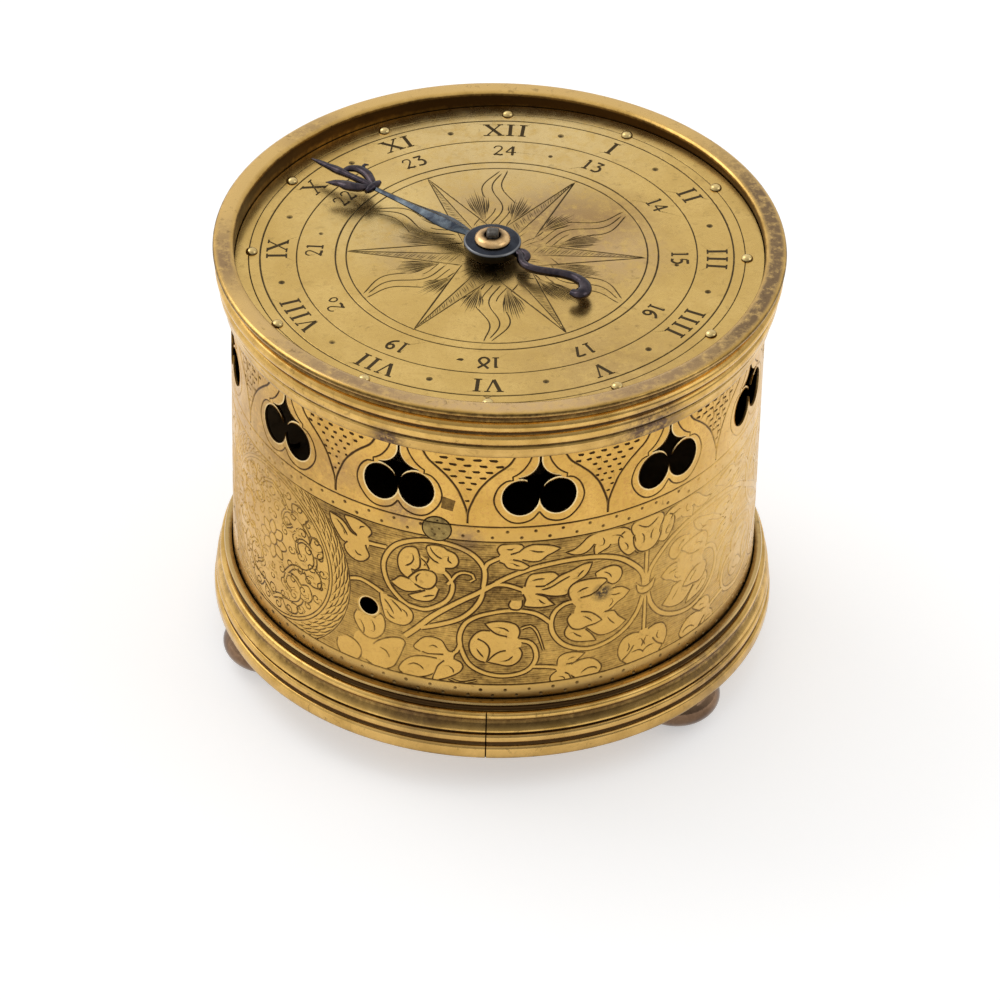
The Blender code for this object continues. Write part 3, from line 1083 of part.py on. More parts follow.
def barrel_parts(brass, steel, spring_steel):
    """Spring barrel with its cap, arbor and mainspring, and the set-up ratchet under the back plate."""
    hole = bore(BARREL_ARBOR_RADIUS)
    inner = BARREL_RADIUS - BARREL_WALL
    floor = BARREL_BOTTOM + BARREL_FLOOR
    profile = ((BARREL_RADIUS, BARREL_BOTTOM), (BARREL_RADIUS, BARREL_TOP), (inner, BARREL_TOP), (inner, floor),
               (hole, floor), (hole, BARREL_BOTTOM))
    turned("mainspring_barrel", profile, brass, DRUM_STEPS, BARREL_AXIS, hollow=True)
    cap_bottom = BARREL_TOP + SEAT_GAP
    cap_top = cap_bottom + BARREL_CAP_THICKNESS
    cap = ((BARREL_RADIUS, cap_bottom), (BARREL_RADIUS, cap_top), (hole, cap_top), (hole, cap_bottom))
    turned("barrel_cap", cap, brass, DRUM_STEPS, BARREL_AXIS, hollow=True)
    ratchet_top = BACK_PLATE_BOTTOM - SEAT_GAP
    ratchet_bottom = ratchet_top - RATCHET_THICKNESS
    end = BACK_PLATE_BOTTOM - WINDING_SQUARE_DROP
    upper = TOP_PLATE_BOTTOM - SHOULDER_GAP
    square_half = BARREL_ARBOR_RADIUS * math.cos(math.pi / 4)
    mesh = bmesh.new()
    rings = [at_height(square(square_half, SHAFT_STEPS), end),
             at_height(square(square_half, SHAFT_STEPS), BACK_PLATE_BOTTOM),
             at_height(circle(BARREL_ARBOR_RADIUS, SHAFT_STEPS), BACK_PLATE_BOTTOM),
             at_height(circle(BARREL_ARBOR_RADIUS, SHAFT_STEPS), upper),
             at_height(circle(PIVOT_RADIUS, SHAFT_STEPS), upper),
             at_height(circle(PIVOT_RADIUS, SHAFT_STEPS), TOP_PLATE_TOP)]
    add_loft(mesh, rings)
    finish("barrel_arbor", mesh, steel, BARREL_AXIS)
    teeth = []
    valley = RATCHET_RADIUS - RATCHET_TOOTH_DEPTH
    for tooth in range(RATCHET_TEETH):
        for share, radius in ((0.0, valley), (0.1, RATCHET_RADIUS)):
            angle = 2 * math.pi * (tooth + share) / RATCHET_TEETH
            teeth.append(Vector((radius * math.cos(angle), radius * math.sin(angle), 0)))
    square_hole = square(square_half + FIT_GAP, SHAFT_STEPS)
    plate("setup_ratchet", teeth, [square_hole], ratchet_bottom, ratchet_top, steel, BARREL_AXIS)
    pivot = click_axis()
    toward = BARREL_AXIS - pivot
    swing = math.degrees(math.atan2(toward.y, toward.x) + math.atan2(RATCHET_RADIUS + CLICK_WIDTH / 2, CLICK_LENGTH))
    bar = turned_points(slot_outline(CLICK_LENGTH - CLICK_WIDTH, CLICK_WIDTH / 2, PIN_STEPS), swing)
    click = plate("setup_click", bar, [], ratchet_bottom, ratchet_top, steel, pivot)
    stud = turned("click_stud", ((PIVOT_RADIUS, ratchet_bottom), (PIVOT_RADIUS, BACK_PLATE_TOP)), steel,
                  SHAFT_STEPS, pivot)
    boolean(click, stud, "UNION")
    spiral = []
    start = BARREL_ARBOR_RADIUS + SPRING_CLEARANCE
    span = inner - SPRING_CLEARANCE - start
    count = SPRING_TURNS * SPRING_STEPS
    for offset, order in ((-SPRING_THICKNESS / 2, 1), (SPRING_THICKNESS / 2, -1)):
        for step in range(count + 1)[::order]:
            radius = start + SPRING_THICKNESS / 2 + (span - SPRING_THICKNESS) * step / count + offset
            angle = 2 * math.pi * step / SPRING_STEPS
            spiral.append(Vector((radius * math.cos(angle), radius * math.sin(angle), 0)))
    plate("mainspring", spiral, [], floor + SEAT_GAP, BARREL_TOP - SEAT_GAP, spring_steel, BARREL_AXIS)


def gut_line(gut):
    """Gut line from the barrel to one groove of the fusee, part way round both."""
    pitch = FUSEE_HEIGHT / FUSEE_GROOVES
    groove_floor = FUSEE_BOTTOM + (LINE_GROOVE + FUSEE_RIDGE_SHARE) * pitch
    height = (groove_floor + FUSEE_BOTTOM + (LINE_GROOVE + 1) * pitch) / 2
    clearance = SEAT_GAP + LINE_RADIUS
    fusee_reach = groove_radius(LINE_GROOVE) + clearance
    barrel_reach = BARREL_RADIUS + clearance
    toward = BARREL_AXIS - FUSEE_AXIS
    heading = math.degrees(math.atan2(toward.y, toward.x))
    tilt = math.degrees(math.asin((barrel_reach - fusee_reach) / toward.length))
    tangent = heading - 90 - tilt
    steps = round(LINE_WRAP / LINE_STEP)
    route = []
    for step in range(steps + 1):
        route.append(BARREL_AXIS + direction(tangent + LINE_WRAP - LINE_STEP * step) * barrel_reach)
    for step in range(steps + 1):
        route.append(FUSEE_AXIS + direction(tangent - LINE_STEP * step) * fusee_reach)
    curve = bpy.data.curves.new("gut_line", "CURVE")
    curve.dimensions = "3D"
    curve.bevel_depth = LINE_RADIUS
    curve.bevel_resolution = 1
    curve.use_fill_caps = True
    spline = curve.splines.new("POLY")
    spline.points.add(len(route) - 1)
    for point, place in zip(spline.points, route):
        point.co = (place.x, place.y, height, 1)
    curve.materials.append(gut)
    line = bpy.data.objects.new("gut_line", curve)
    bpy.context.collection.objects.link(line)


def motion_parts(brass):
    """Hour wheel with its twelve lifting pins."""
    outline = gear(HOUR_TEETH, HOUR_MODULE, ADDENDUM_SHARE, tooth_gap_phase(HOUR_TEETH, REPORT_DIRECTION))
    root = HOUR_TEETH * HOUR_MODULE / 2 - DEDENDUM_SHARE * HOUR_MODULE
    hour = wheel("hour_wheel", outline, root, HOUR_ARBOR_RADIUS, HOUR_WHEEL_BOTTOM, WHEEL_THICKNESS, brass, HOUR_AXIS)
    mesh = bmesh.new()
    for index in range(LIFTING_PIN_COUNT):
        place = direction(360 * index / LIFTING_PIN_COUNT) * LIFTING_PIN_CIRCLE
        ring = shifted(circle(LIFTING_PIN_RADIUS, PIN_STEPS), place)
        add_loft(mesh, [at_height(ring, HOUR_WHEEL_TOP - WHEEL_THICKNESS / 2),
                        at_height(ring, HOUR_WHEEL_TOP + LIFTING_PIN_HEIGHT)])
    boolean(hour, finish("lifting_pins", mesh, brass, HOUR_AXIS), "UNION")


def bell_parts(brass, bell_metal, steel):
    """Bell under the dial on its hollow post, and the hammer that stands on the top plate."""
    hole = bore(HOUR_ARBOR_RADIUS)
    post_top = DIAL_BOTTOM - SEAT_GAP
    flange_bottom = BELL_SEAT - BELL_FLANGE_THICKNESS
    profile = ((BELL_FLANGE_RADIUS, flange_bottom), (BELL_FLANGE_RADIUS, BELL_SEAT), (BELL_POST_RADIUS, BELL_SEAT),
               (BELL_POST_RADIUS, post_top), (BELL_POST_SPIGOT_RADIUS, post_top),
               (BELL_POST_SPIGOT_RADIUS, DIAL_TOP), (hole, DIAL_TOP), (hole, flange_bottom))
    turned("bell_post", profile, brass, SHAFT_STEPS, HOUR_AXIS, hollow=True)
    steps = 6
    crown = BELL_RADIUS / 3
    drop = BELL_HEIGHT - BELL_THICKNESS
    outer = []
    inner = []
    for step in range(steps + 1):
        angle = math.pi / 2 * step / steps
        reach = BELL_RADIUS - BELL_THICKNESS - crown
        inner.append((crown + reach * math.sin(angle), BELL_RIM_BOTTOM + drop * math.cos(angle)))
        outer.append((crown + (reach + BELL_THICKNESS) * math.sin(angle),
                      BELL_RIM_BOTTOM + BELL_HEIGHT * math.cos(angle)))
    post_hole = bore(BELL_POST_RADIUS)
    profile = [(post_hole, BELL_CROWN_TOP)] + outer + inner[::-1] + [(post_hole, BELL_CROWN_TOP - BELL_THICKNESS)]
    turned("bell", profile, bell_metal, DRUM_STEPS, HOUR_AXIS, hollow=True)
    low = TOP_PLATE_TOP + SHOULDER_GAP
    arm_top = HAMMER_ARM_BOTTOM + HAMMER_ARM_THICKNESS
    profile = ((PIVOT_RADIUS, TOP_PLATE_BOTTOM), (PIVOT_RADIUS, low), (HAMMER_HUB_RADIUS, low),
               (HAMMER_HUB_RADIUS, arm_top))
    hammer = turned("bell_hammer", profile, steel, SHAFT_STEPS, HAMMER_AXIS)
    reach = HAMMER_HEAD_AXIS - HAMMER_AXIS
    heading = math.degrees(math.atan2(reach.y, reach.x))
    bar = turned_points(slot_outline(reach.length, HAMMER_ARM_WIDTH / 2, PIN_STEPS), heading)
    boolean(hammer, plate("hammer_arm", bar, [], HAMMER_ARM_BOTTOM + FIT_GAP, arm_top - FIT_GAP, steel, HAMMER_AXIS), "UNION")
    head_bottom = HAMMER_ARM_BOTTOM - HAMMER_HEAD_OVERLAP
    head = ((HAMMER_HEAD_RADIUS, head_bottom), (HAMMER_HEAD_RADIUS, head_bottom + HAMMER_HEAD_HEIGHT))
    boolean(hammer, turned("hammer_head", head, steel, SHAFT_STEPS, HAMMER_HEAD_AXIS), "UNION")
    tail_end = HAMMER_PIVOT_DISTANCE - HOUR_TEETH * HOUR_MODULE / 2 - HOUR_MODULE - HAMMER_TAIL_GAP
    half = HAMMER_ARM_WIDTH / 2
    bar = turned_points(slot_outline(tail_end - half, half, PIN_STEPS), HAMMER_PIVOT_DIRECTION + 180)
    tail = plate("hammer_tail", bar, [], HOUR_WHEEL_TOP, HOUR_WHEEL_TOP + HAMMER_ARM_THICKNESS, steel, HAMMER_AXIS)
    boolean(hammer, tail, "UNION")


def build():
    """Make every piece of the clock."""
    clear_scene()
    gilt = material("gilt_brass", (0.72, 0.47, 0.16), 0.3, 1.0)
    worn_gilt = material("worn_gilt_brass", (0.58, 0.38, 0.15), 0.38, 1.0)
    dial_gilt = material("dial_gilt", (0.7, 0.5, 0.19), 0.36, 1.0)
    dark_brass = material("dark_brass", (0.2, 0.13, 0.09), 0.4, 0.9)
    grey_plug = material("grey_plug", (0.33, 0.28, 0.13), 0.45, 0.9)
    brass = material("movement_brass", (0.68, 0.5, 0.22), 0.35, 1.0)
    copper = material("gilt_copper", (0.66, 0.36, 0.15), 0.3, 1.0)
    blued = material("blued_steel", (0.05, 0.07, 0.1), 0.35, 0.9)
    steel = material("steel", (0.42, 0.41, 0.4), 0.35, 1.0)
    spring_steel = material("spring_steel", (0.25, 0.27, 0.32), 0.3, 1.0)
    bell_metal = material("bell_metal", (0.6, 0.5, 0.3), 0.3, 1.0)
    gut = material("gut", (0.5, 0.36, 0.2), 0.6, 0.0)
    drum_wall(gilt)
    wall_plug(grey_plug)
    top_bezel(worn_gilt)
    base_moulding(gilt)
    feet(dark_brass)
    cover_parts(gilt, steel)
    dial_parts(dial_gilt, gilt)
    hour_hand(blued)
    hand_fixing(copper, steel)
    hour_arbor(steel)
    frame_parts(brass)
    train_parts(brass, steel)
    crown_parts(brass, steel)
    escapement_parts(brass, steel)
    fusee_parts(brass, steel)
    barrel_parts(brass, steel, spring_steel)
    gut_line(gut)
    motion_parts(brass)
    bell_parts(brass, bell_metal, steel)


build()
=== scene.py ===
import json
import math

import bmesh
import bpy
from mathutils import Matrix, Quaternion, Vector
from mathutils.geometry import delaunay_2d_cdt

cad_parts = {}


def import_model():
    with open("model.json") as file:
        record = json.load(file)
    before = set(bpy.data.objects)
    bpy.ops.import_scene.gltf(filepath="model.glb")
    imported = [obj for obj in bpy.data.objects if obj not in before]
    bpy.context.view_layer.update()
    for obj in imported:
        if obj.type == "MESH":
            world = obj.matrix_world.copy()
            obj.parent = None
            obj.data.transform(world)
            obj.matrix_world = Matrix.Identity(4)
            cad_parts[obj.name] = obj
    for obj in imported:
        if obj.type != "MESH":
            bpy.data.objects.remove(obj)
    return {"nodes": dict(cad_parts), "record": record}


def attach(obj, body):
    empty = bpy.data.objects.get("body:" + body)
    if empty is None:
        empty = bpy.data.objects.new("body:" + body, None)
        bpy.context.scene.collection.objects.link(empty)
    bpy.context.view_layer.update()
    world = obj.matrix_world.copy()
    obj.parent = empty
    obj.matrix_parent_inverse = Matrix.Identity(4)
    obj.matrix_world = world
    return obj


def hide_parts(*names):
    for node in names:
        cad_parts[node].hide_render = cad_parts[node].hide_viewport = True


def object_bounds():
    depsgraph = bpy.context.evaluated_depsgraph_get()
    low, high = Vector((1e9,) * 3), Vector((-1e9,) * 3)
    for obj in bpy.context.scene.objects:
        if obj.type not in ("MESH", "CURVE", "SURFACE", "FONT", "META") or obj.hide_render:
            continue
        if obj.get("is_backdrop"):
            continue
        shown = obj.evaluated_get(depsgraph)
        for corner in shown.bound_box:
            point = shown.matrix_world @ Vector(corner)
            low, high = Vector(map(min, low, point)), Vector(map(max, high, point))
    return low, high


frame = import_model()
CAD_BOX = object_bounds()
NODES = frame["nodes"]

# Millimetres on the object; flat patterns are drawn in millimetres and placed in metres
MM = 0.001

# Case sizes, as in the CAD
RIM_TOP = 87.9
WALL_RADIUS = 50.0
WALL_INNER = 49.45
WALL_TOP_DROP = 6.3
WALL_END_DROP = 73.4
DIAL_TOP = 84.9
DIAL_THICKNESS = 1.2
DIAL_RADIUS = 49.1
HOUR_AXIS = (-1.4, 0.0)

# The wall is drawn unrolled: u runs along it from the line that faces the camera, v is the height from the rim's top
FRONT_ANGLE = math.radians(-90 + 1.12)
WALL_DROP = 0.35
GRID_COUNT = 120
GRID_STEP = 2 * math.pi * WALL_RADIUS / GRID_COUNT
MIRROR_U = 30.0
QUARTER = 30 * GRID_STEP
TREFOIL_COUNT = 12
TREFOIL_PITCH = GRID_COUNT // TREFOIL_COUNT * GRID_STEP

# Engraving
LINE_HALF = 0.24
LINE_DEPTH = 0.16
STEM_HALF = 0.55
GROUND_DEPTH = 0.05
GROUND_STAIN = 0.55
ROW_STEP = 0.26
# Stain of the deepest part of a line round a shape, and of a free stroke
LINE_STAIN = 1.25
STROKE_STAIN = 1.35
# Stain beside a thin stroke
THIN_STAIN = 0.35
# How close two points of a pattern may be before they become one, in millimetres
WELD_REACH = 1e-5
# Value of the stain_and_shade attribute that paints a face inside the drum near black: painted shade, where little
# light reaches
PAINTED_INNER_SHADE = 3.0


def polar(radius, degrees, centre=(0.0, 0.0)):
    """Point at a radius and an angle in degrees."""
    angle = math.radians(degrees)
    return Vector((centre[0] + radius * math.cos(angle), centre[1] + radius * math.sin(angle)))


def smooth(points, step, closed=False):
    """Curve through the points; a point given twice is a sharp corner."""
    points = [Vector(point) for point in points]
    count = len(points)
    spans = count if closed else count - 1
    route = []
    for span in range(spans):
        a, b, c, d = (points[(span + shift) % count] if closed else points[min(max(span + shift, 0), count - 1)]
                      for shift in (-1, 0, 1, 2))
        length = (c - b).length
        if length < 1e-6:
            continue
        cuts = max(1, round(length / step))
        for cut in range(cuts):
            t = cut / cuts
            route.append(0.5 * (2 * b + (c - a) * t + (2 * a - 5 * b + 4 * c - d) * t * t
                                + (3 * b - a - 3 * c + d) * t * t * t))
    if not closed:
        route.append(points[-1])
    return route


def circle(radius, steps, centre=(0.0, 0.0)):
    """Points round a circle."""
    return [polar(radius, 360 * step / steps, centre) for step in range(steps)]


def turned_area(points):
    """Twice the area of an outline, positive when it runs anticlockwise."""
    return sum(a.x * b.y - b.x * a.y for a, b in zip(points, points[1:] + points[:1]))


class Pattern:
    """Engraving on a flat sheet. Each painted face covers the ones painted before it."""

    def __init__(self, sheet, ground=None):
        self.points = []
        self.edges = []
        self.faces = []
        self.paint = []
        self.ground = ground
        self.fill(sheet, "skin")

    def add_points(self, points):
        start = len(self.points)
        self.points += points
        return list(range(start, len(self.points)))

    def add_face(self, corners, kind, values=None):
        """A face from point numbers, turned anticlockwise; values are (depth, stain) at its corners."""
        area = turned_area([self.points[corner] for corner in corners])
        if abs(area) < 1e-6:
            return
        if area < 0:
            corners = corners[::-1]
            values = values and values[::-1]
        self.faces.append(corners)
        self.paint.append((kind, [self.points[corner] for corner in corners], values))

    def fill(self, outline, kind):
        """An area without depth of its own: skin, ground or hole."""
        self.add_face(self.add_points([Vector(point) for point in outline]), kind)

    def seam(self, route):
        """Edges that only divide the sheet, so that it can bend."""
        numbers = self.add_points([Vector(point) for point in route])
        self.edges += list(zip(numbers, numbers[1:]))

    def ribbon(self, route, halves, tracks, kind="cut", closed=False):
        """Bands along a route. Each track is (share of the half width, offset, depth, stain)."""
        count = len(route)
        if not isinstance(halves, (list, tuple)):
            halves = [halves] * count
        normals = []
        for step in range(count):
            after = route[(step + 1) % count] if closed else route[min(step + 1, count - 1)]
            before = route[step - 1] if closed or step else route[0]
            along = (after - before).normalized()
            normals.append(Vector((-along.y, along.x)))
        rows = []
        for share, offset, depth, stain_and_shade in tracks:
            points = [route[step] + normals[step] * (share * halves[step] + offset) for step in range(count)]
            rows.append((self.add_points(points), (depth, stain_and_shade)))
        spans = count if closed else count - 1
        for (low, low_value), (high, high_value) in zip(rows, rows[1:]):
            for step in range(spans):
                after = (step + 1) % count
                self.add_face([low[step], low[after], high[after]], kind, [low_value, low_value, high_value])
                self.add_face([low[step], high[after], high[step]], kind, [low_value, high_value, high_value])

    def stroke(self, route, half=LINE_HALF, depth=LINE_DEPTH, side=0.15, closed=False, taper=True):
        """Engraved stroke, deepest along its middle and pointed at its ends."""
        route = [Vector(point) for point in route]
        halves = [half] * len(route)
        if taper and not closed:
            halves[0] = halves[-1] = 0.0
        if len(route) > 2 and taper and not closed:
            halves[1] = max(halves[1] * 0.8, 0.5 * half)
        self.ribbon(route, halves, ((-1, 0, 0, side), (0, 0, -depth, STROKE_STAIN), (1, 0, 0, side)), closed=closed)

    def line(self, route, half=LINE_HALF):
        """Open stroke that runs off the sheet, so its ends aren't pointed."""
        self.stroke(route, half, taper=False)

    def dot(self, centre, radius, depth=0.22, steps=8):
        """Round punch mark."""
        ring = self.add_points(circle(radius, steps, centre))
        middle = self.add_points([Vector(centre)])[0]
        for step in range(steps):
            self.add_face([ring[step], ring[(step + 1) % steps], middle], "cut", [(0, 0.6), (0, 0.6), (-depth, 1)])

    def outline(self, curve):
        """Line round a raised shape that runs anticlockwise, stained outside it and clean inside."""
        self.ribbon(curve, 0.0, ((0, -LINE_HALF * 1.1, -GROUND_DEPTH, GROUND_STAIN), (0, 0, -LINE_DEPTH, LINE_STAIN),
                                 (0, LINE_HALF, 0, 0)))

    def leaf(self, points, step=0.55):
        """Leaf or lobe: filled, and outlined from its first point to its last."""
        curve = smooth(points, step)
        if turned_area(curve) < 0:
            curve.reverse()
        self.fill(curve, "skin")
        self.outline(curve)

    def stems(self, routes, half=STEM_HALF, step=0.8):
        """Stems that run into each other: all their outlines first, then all their bodies."""
        curves = []
        for points, start, end in routes:
            curve = smooth(points, step)
            last = len(curve) - 1
            curves.append((curve, [half * (start + (end - start) * place / last) for place in range(last + 1)]))
        ground, clean = (-GROUND_DEPTH, GROUND_STAIN), (0, 0)
        for curve, halves in curves:
            for side, right, left in ((-1, ground, clean), (1, clean, ground)):
                self.ribbon(curve, halves, ((side, -LINE_HALF, *right), (side, 0, -LINE_DEPTH, LINE_STAIN),
                                            (side, LINE_HALF, *left)))
        body = LINE_HALF * 0.9
        for curve, halves in curves:
            self.ribbon(curve, halves, ((-1, body, 0, 0), (1, -body, 0, 0)), kind="skin")

    def cut(self):
        """The finished skin: points with depth, and faces as (corners, kind, stains)."""
        result = delaunay_2d_cdt(self.points, self.edges, self.faces, 0, WELD_REACH, True)
        points, faces, face_ids = result[0], result[2], result[5]
        top = {}
        kept = []
        for corners, ids in zip(faces, face_ids):
            if not ids or min(ids) != 0:
                continue
            winner = max(ids)
            if self.paint[winner][0] == "hole":
                continue
            kept.append((corners, winner))
            for corner in corners:
                top[corner] = max(top.get(corner, 0), winner)
        depths = {corner: self.value(winner, points[corner])[0] for corner, winner in top.items()}
        cut_faces = []
        for corners, winner in kept:
            stains_and_shade = [self.value(winner, points[corner])[1] for corner in corners]
            cut_faces.append((corners, self.paint[winner][0], stains_and_shade))
        return points, depths, cut_faces

    def value(self, number, point):
        """Depth and stain of one painted face at a point."""
        kind, corners, values = self.paint[number]
        if kind == "ground":
            return self.ground(point)
        if values is None:
            return 0.0, 0.0
        a, b, c = corners
        span = (b.y - c.y) * (a.x - c.x) + (c.x - b.x) * (a.y - c.y)
        first = ((b.y - c.y) * (point.x - c.x) + (c.x - b.x) * (point.y - c.y)) / span
        second = ((c.y - a.y) * (point.x - c.x) + (a.x - c.x) * (point.y - c.y)) / span
        first = min(max(first, 0.0), 1.0)
        second = min(max(second, 0.0), 1.0 - first)
        third = 1.0 - first - second
        return tuple(first * values[0][item] + second * values[1][item] + third * values[2][item] for item in (0, 1))


def linked(name, data):
    """A new object in the scene."""
    result = bpy.data.objects.new(name, data)
    bpy.context.collection.objects.link(result)
    return result


class Skin:
    """Welded mesh with a stain_and_shade value and a normal at each corner."""

    def __init__(self):
        self.numbers = {}
        self.points = []
        self.faces = []
        self.stains_and_shade = []
        self.normals = []

    def number(self, point):
        key = tuple(round(value * 1e6) for value in point)
        if key not in self.numbers:
            self.numbers[key] = len(self.points)
            self.points.append(point)
        return self.numbers[key]

    def add(self, corners, stains_and_shade, normals):
        """A face from placed corners; corners that weld together drop out."""
        numbers = [self.number(corner) for corner in corners]
        if len(set(numbers)) < len(numbers):
            return
        self.faces.append(numbers)
        self.stains_and_shade += stains_and_shade
        self.normals += normals

    def add_cut(self, cut, place, flip=False, hatch_tilt=0.6, inner_shade=0.0):
        """Faces of a cut pattern; place(x, y, depth) gives a point and the sheet's own normal there."""
        points, depths, faces = cut
        placed = {}
        for corner, depth in depths.items():
            placed[corner] = place(points[corner].x, points[corner].y, depth)
        for corners, kind, stains_and_shade in faces:
            if flip:
                corners, stains_and_shade = corners[::-1], stains_and_shade[::-1]
            places = [placed[corner][0] for corner in corners]
            normals = [placed[corner][1] for corner in corners]
            if kind != "skin":
                own = (places[1] - places[0]).cross(places[2] - places[0])
                if own.length > 1e-14:
                    own.normalize()
                    normals = [normal.lerp(own, hatch_tilt).normalized() for normal in normals]
            # Faces inside the drum are raised at least to the painted-shade value
            self.add(places, [max(stain_and_shade, inner_shade) if inner_shade else stain_and_shade for stain_and_shade in stains_and_shade], normals)

    def add_plain(self, corners, stain_and_shade=0.0, normals=None):
        """A face with its own normal."""
        own = (corners[1] - corners[0]).cross(corners[2] - corners[0])
        if own.length < 1e-14:
            return
        own.normalize()
        stains_and_shade = list(stain_and_shade) if isinstance(stain_and_shade, tuple) else [stain_and_shade] * len(corners)
        self.add(corners, stains_and_shade, normals or [own] * len(corners))

    def build(self, name, material):
        mesh = bpy.data.meshes.new(name)
        mesh.from_pydata(self.points, [], self.faces)
        stain_and_shade = mesh.attributes.new("stain_and_shade", "FLOAT", "CORNER")
        stain_and_shade.data.foreach_set("value", self.stains_and_shade)
        mesh.shade_smooth()
        mesh.normals_split_custom_set(self.normals)
        mesh.materials.append(material)
        mesh.update()
        return linked(name, mesh)


def border_edges(cut):
    """Edges of a cut pattern with one face, each in its face's direction."""
    points, _, faces = cut
    single = {}
    for corners, _, _ in faces:
        for step, corner in enumerate(corners):
            before = corners[step - 1]
            if (corner, before) in single:
                del single[(corner, before)]
            else:
                single[(before, corner)] = True
    return [(points[a], points[b]) for a, b in single]


# Wall
FIELD_TOP = 31.4
FIELD_END = 65.0
LOWER_LINE = 27.95
BAND_TOP = 27.3
MEDALLION = (MIRROR_U - QUARTER, -48.6)
SIDE_HOLE = (-23.8, -51.2)
SIDE_HOLE_RADIUS = 1.9


def row_wave(place, row):
    """How far a hatch row wanders from its own height."""
    return 0.1 * math.sin(0.55 * place + 1.3 * row) + 0.06 * math.sin(1.7 * place + 0.37 * row * row)


def wall_ground(point):
    """Depth and stain of the hatched ground behind the foliage."""
    row = round((-point.y - FIELD_TOP) / ROW_STEP)
    beat = 0.5 + 0.5 * math.sin(0.9 * point.x + 2.4 * (row // 2)) * math.sin(0.43 * point.x + 1.1 * (row // 2) + 1.0)
    if row % 2:
        return -0.04 - 0.11 * beat, 0.53 + 0.25 * beat
    return -0.03, 0.42


def down(points):
    """Points given as place and drop below the rim, as the pattern's coordinates."""
    return [(place, -drop) for place, drop in points]


# Stems, from root to tip: (place, drop) points, then the share of the half width at each end
STEMS = (
    (((-13.4, 53.1), (-9.9, 51.7), (-5.6, 49.4), (-2.6, 45.6), (-1.7, 41.1), (-1.9, 37.3), (-4.6, 34.0),
      (-9.4, 32.4), (-14.4, 32.9), (-18.7, 35.4), (-20.8, 39.8), (-19.9, 44.4), (-16.9, 47.8), (-14.4, 48.6),
      (-11.9, 48.4), (-8.4, 45.6), (-7.5, 41.9), (-9.1, 39.2), (-10.9, 38.8)), 1.0, 0.9),
    (((-16.4, 55.9), (-14.2, 53.5), (-10.9, 49.7), (-6.8, 46.2), (-2.4, 43.1), (2.2, 39.8), (6.7, 37.8),
      (11.1, 36.9), (15.6, 36.7), (20.0, 37.3), (23.9, 38.9), (26.7, 41.2), (28.9, 43.9), (29.6, 46.4),
      (29.4, 49.8), (28.3, 53.1), (26.1, 55.9), (22.8, 57.8), (18.9, 58.6), (15.6, 57.8), (13.1, 56.2),
      (11.4, 53.7), (10.9, 50.9), (11.6, 48.4), (13.3, 46.9), (15.0, 46.6)), 1.1, 0.9),
    (((10.8, 50.9), (8.3, 48.6), (5.6, 47.6), (2.8, 47.4), (0.0, 47.9), (-2.8, 48.9), (-4.9, 50.6),
      (-5.9, 53.0), (-6.0, 55.3), (-5.3, 58.1), (-3.9, 60.6), (-1.1, 62.3), (2.2, 62.9), (5.6, 62.3),
      (7.5, 60.9), (8.3, 58.7), (7.8, 56.2), (6.6, 54.9), (4.9, 54.5)), 0.9, 0.9),
    (((-20.3, 36.2), (-22.5, 36.4), (-25.0, 36.6)), 0.9, 0.9),
    (((-1.7, 37.8), (-1.1, 36.4), (0.8, 35.2), (2.0, 34.9)), 0.9, 0.9),
    (((-1.3, 42.0), (0.4, 41.3), (2.6, 41.4), (5.0, 42.4), (6.6, 43.0)), 0.9, 0.9),
    (((-6.0, 56.0), (-6.6, 57.6), (-8.0, 58.6)), 0.8, 0.8),
    (((7.5, 60.9), (10.0, 61.2), (12.4, 61.8)), 0.8, 0.9),
    (((-8.4, 42.0), (-7.5, 40.6), (-6.6, 39.3), (-5.3, 38.8), (-3.9, 39.2), (-3.5, 40.2), (-4.3, 40.8)), 0.8, 0.6),
    (((-7.9, 64.2), (-5.8, 64.9), (-4.3, 64.6), (-2.8, 64.1)), 0.4, 0.3),
    (((5.4, 51.7), (7.0, 51.2), (8.2, 52.6), (9.0, 55.0), (9.6, 57.2)), 0.6, 0.3),
    (((-28.0, 46.4), (-25.6, 45.6), (-23.0, 46.2), (-20.9, 47.2)), 0.8, 1.0),
    (((30.0, 37.5), (30.0, 40.0), (30.0, 46.6)), 0.8, 0.8),
    (((30.0, 49.4), (30.0, 54.0), (30.0, 58.6)), 0.7, 0.8),
)

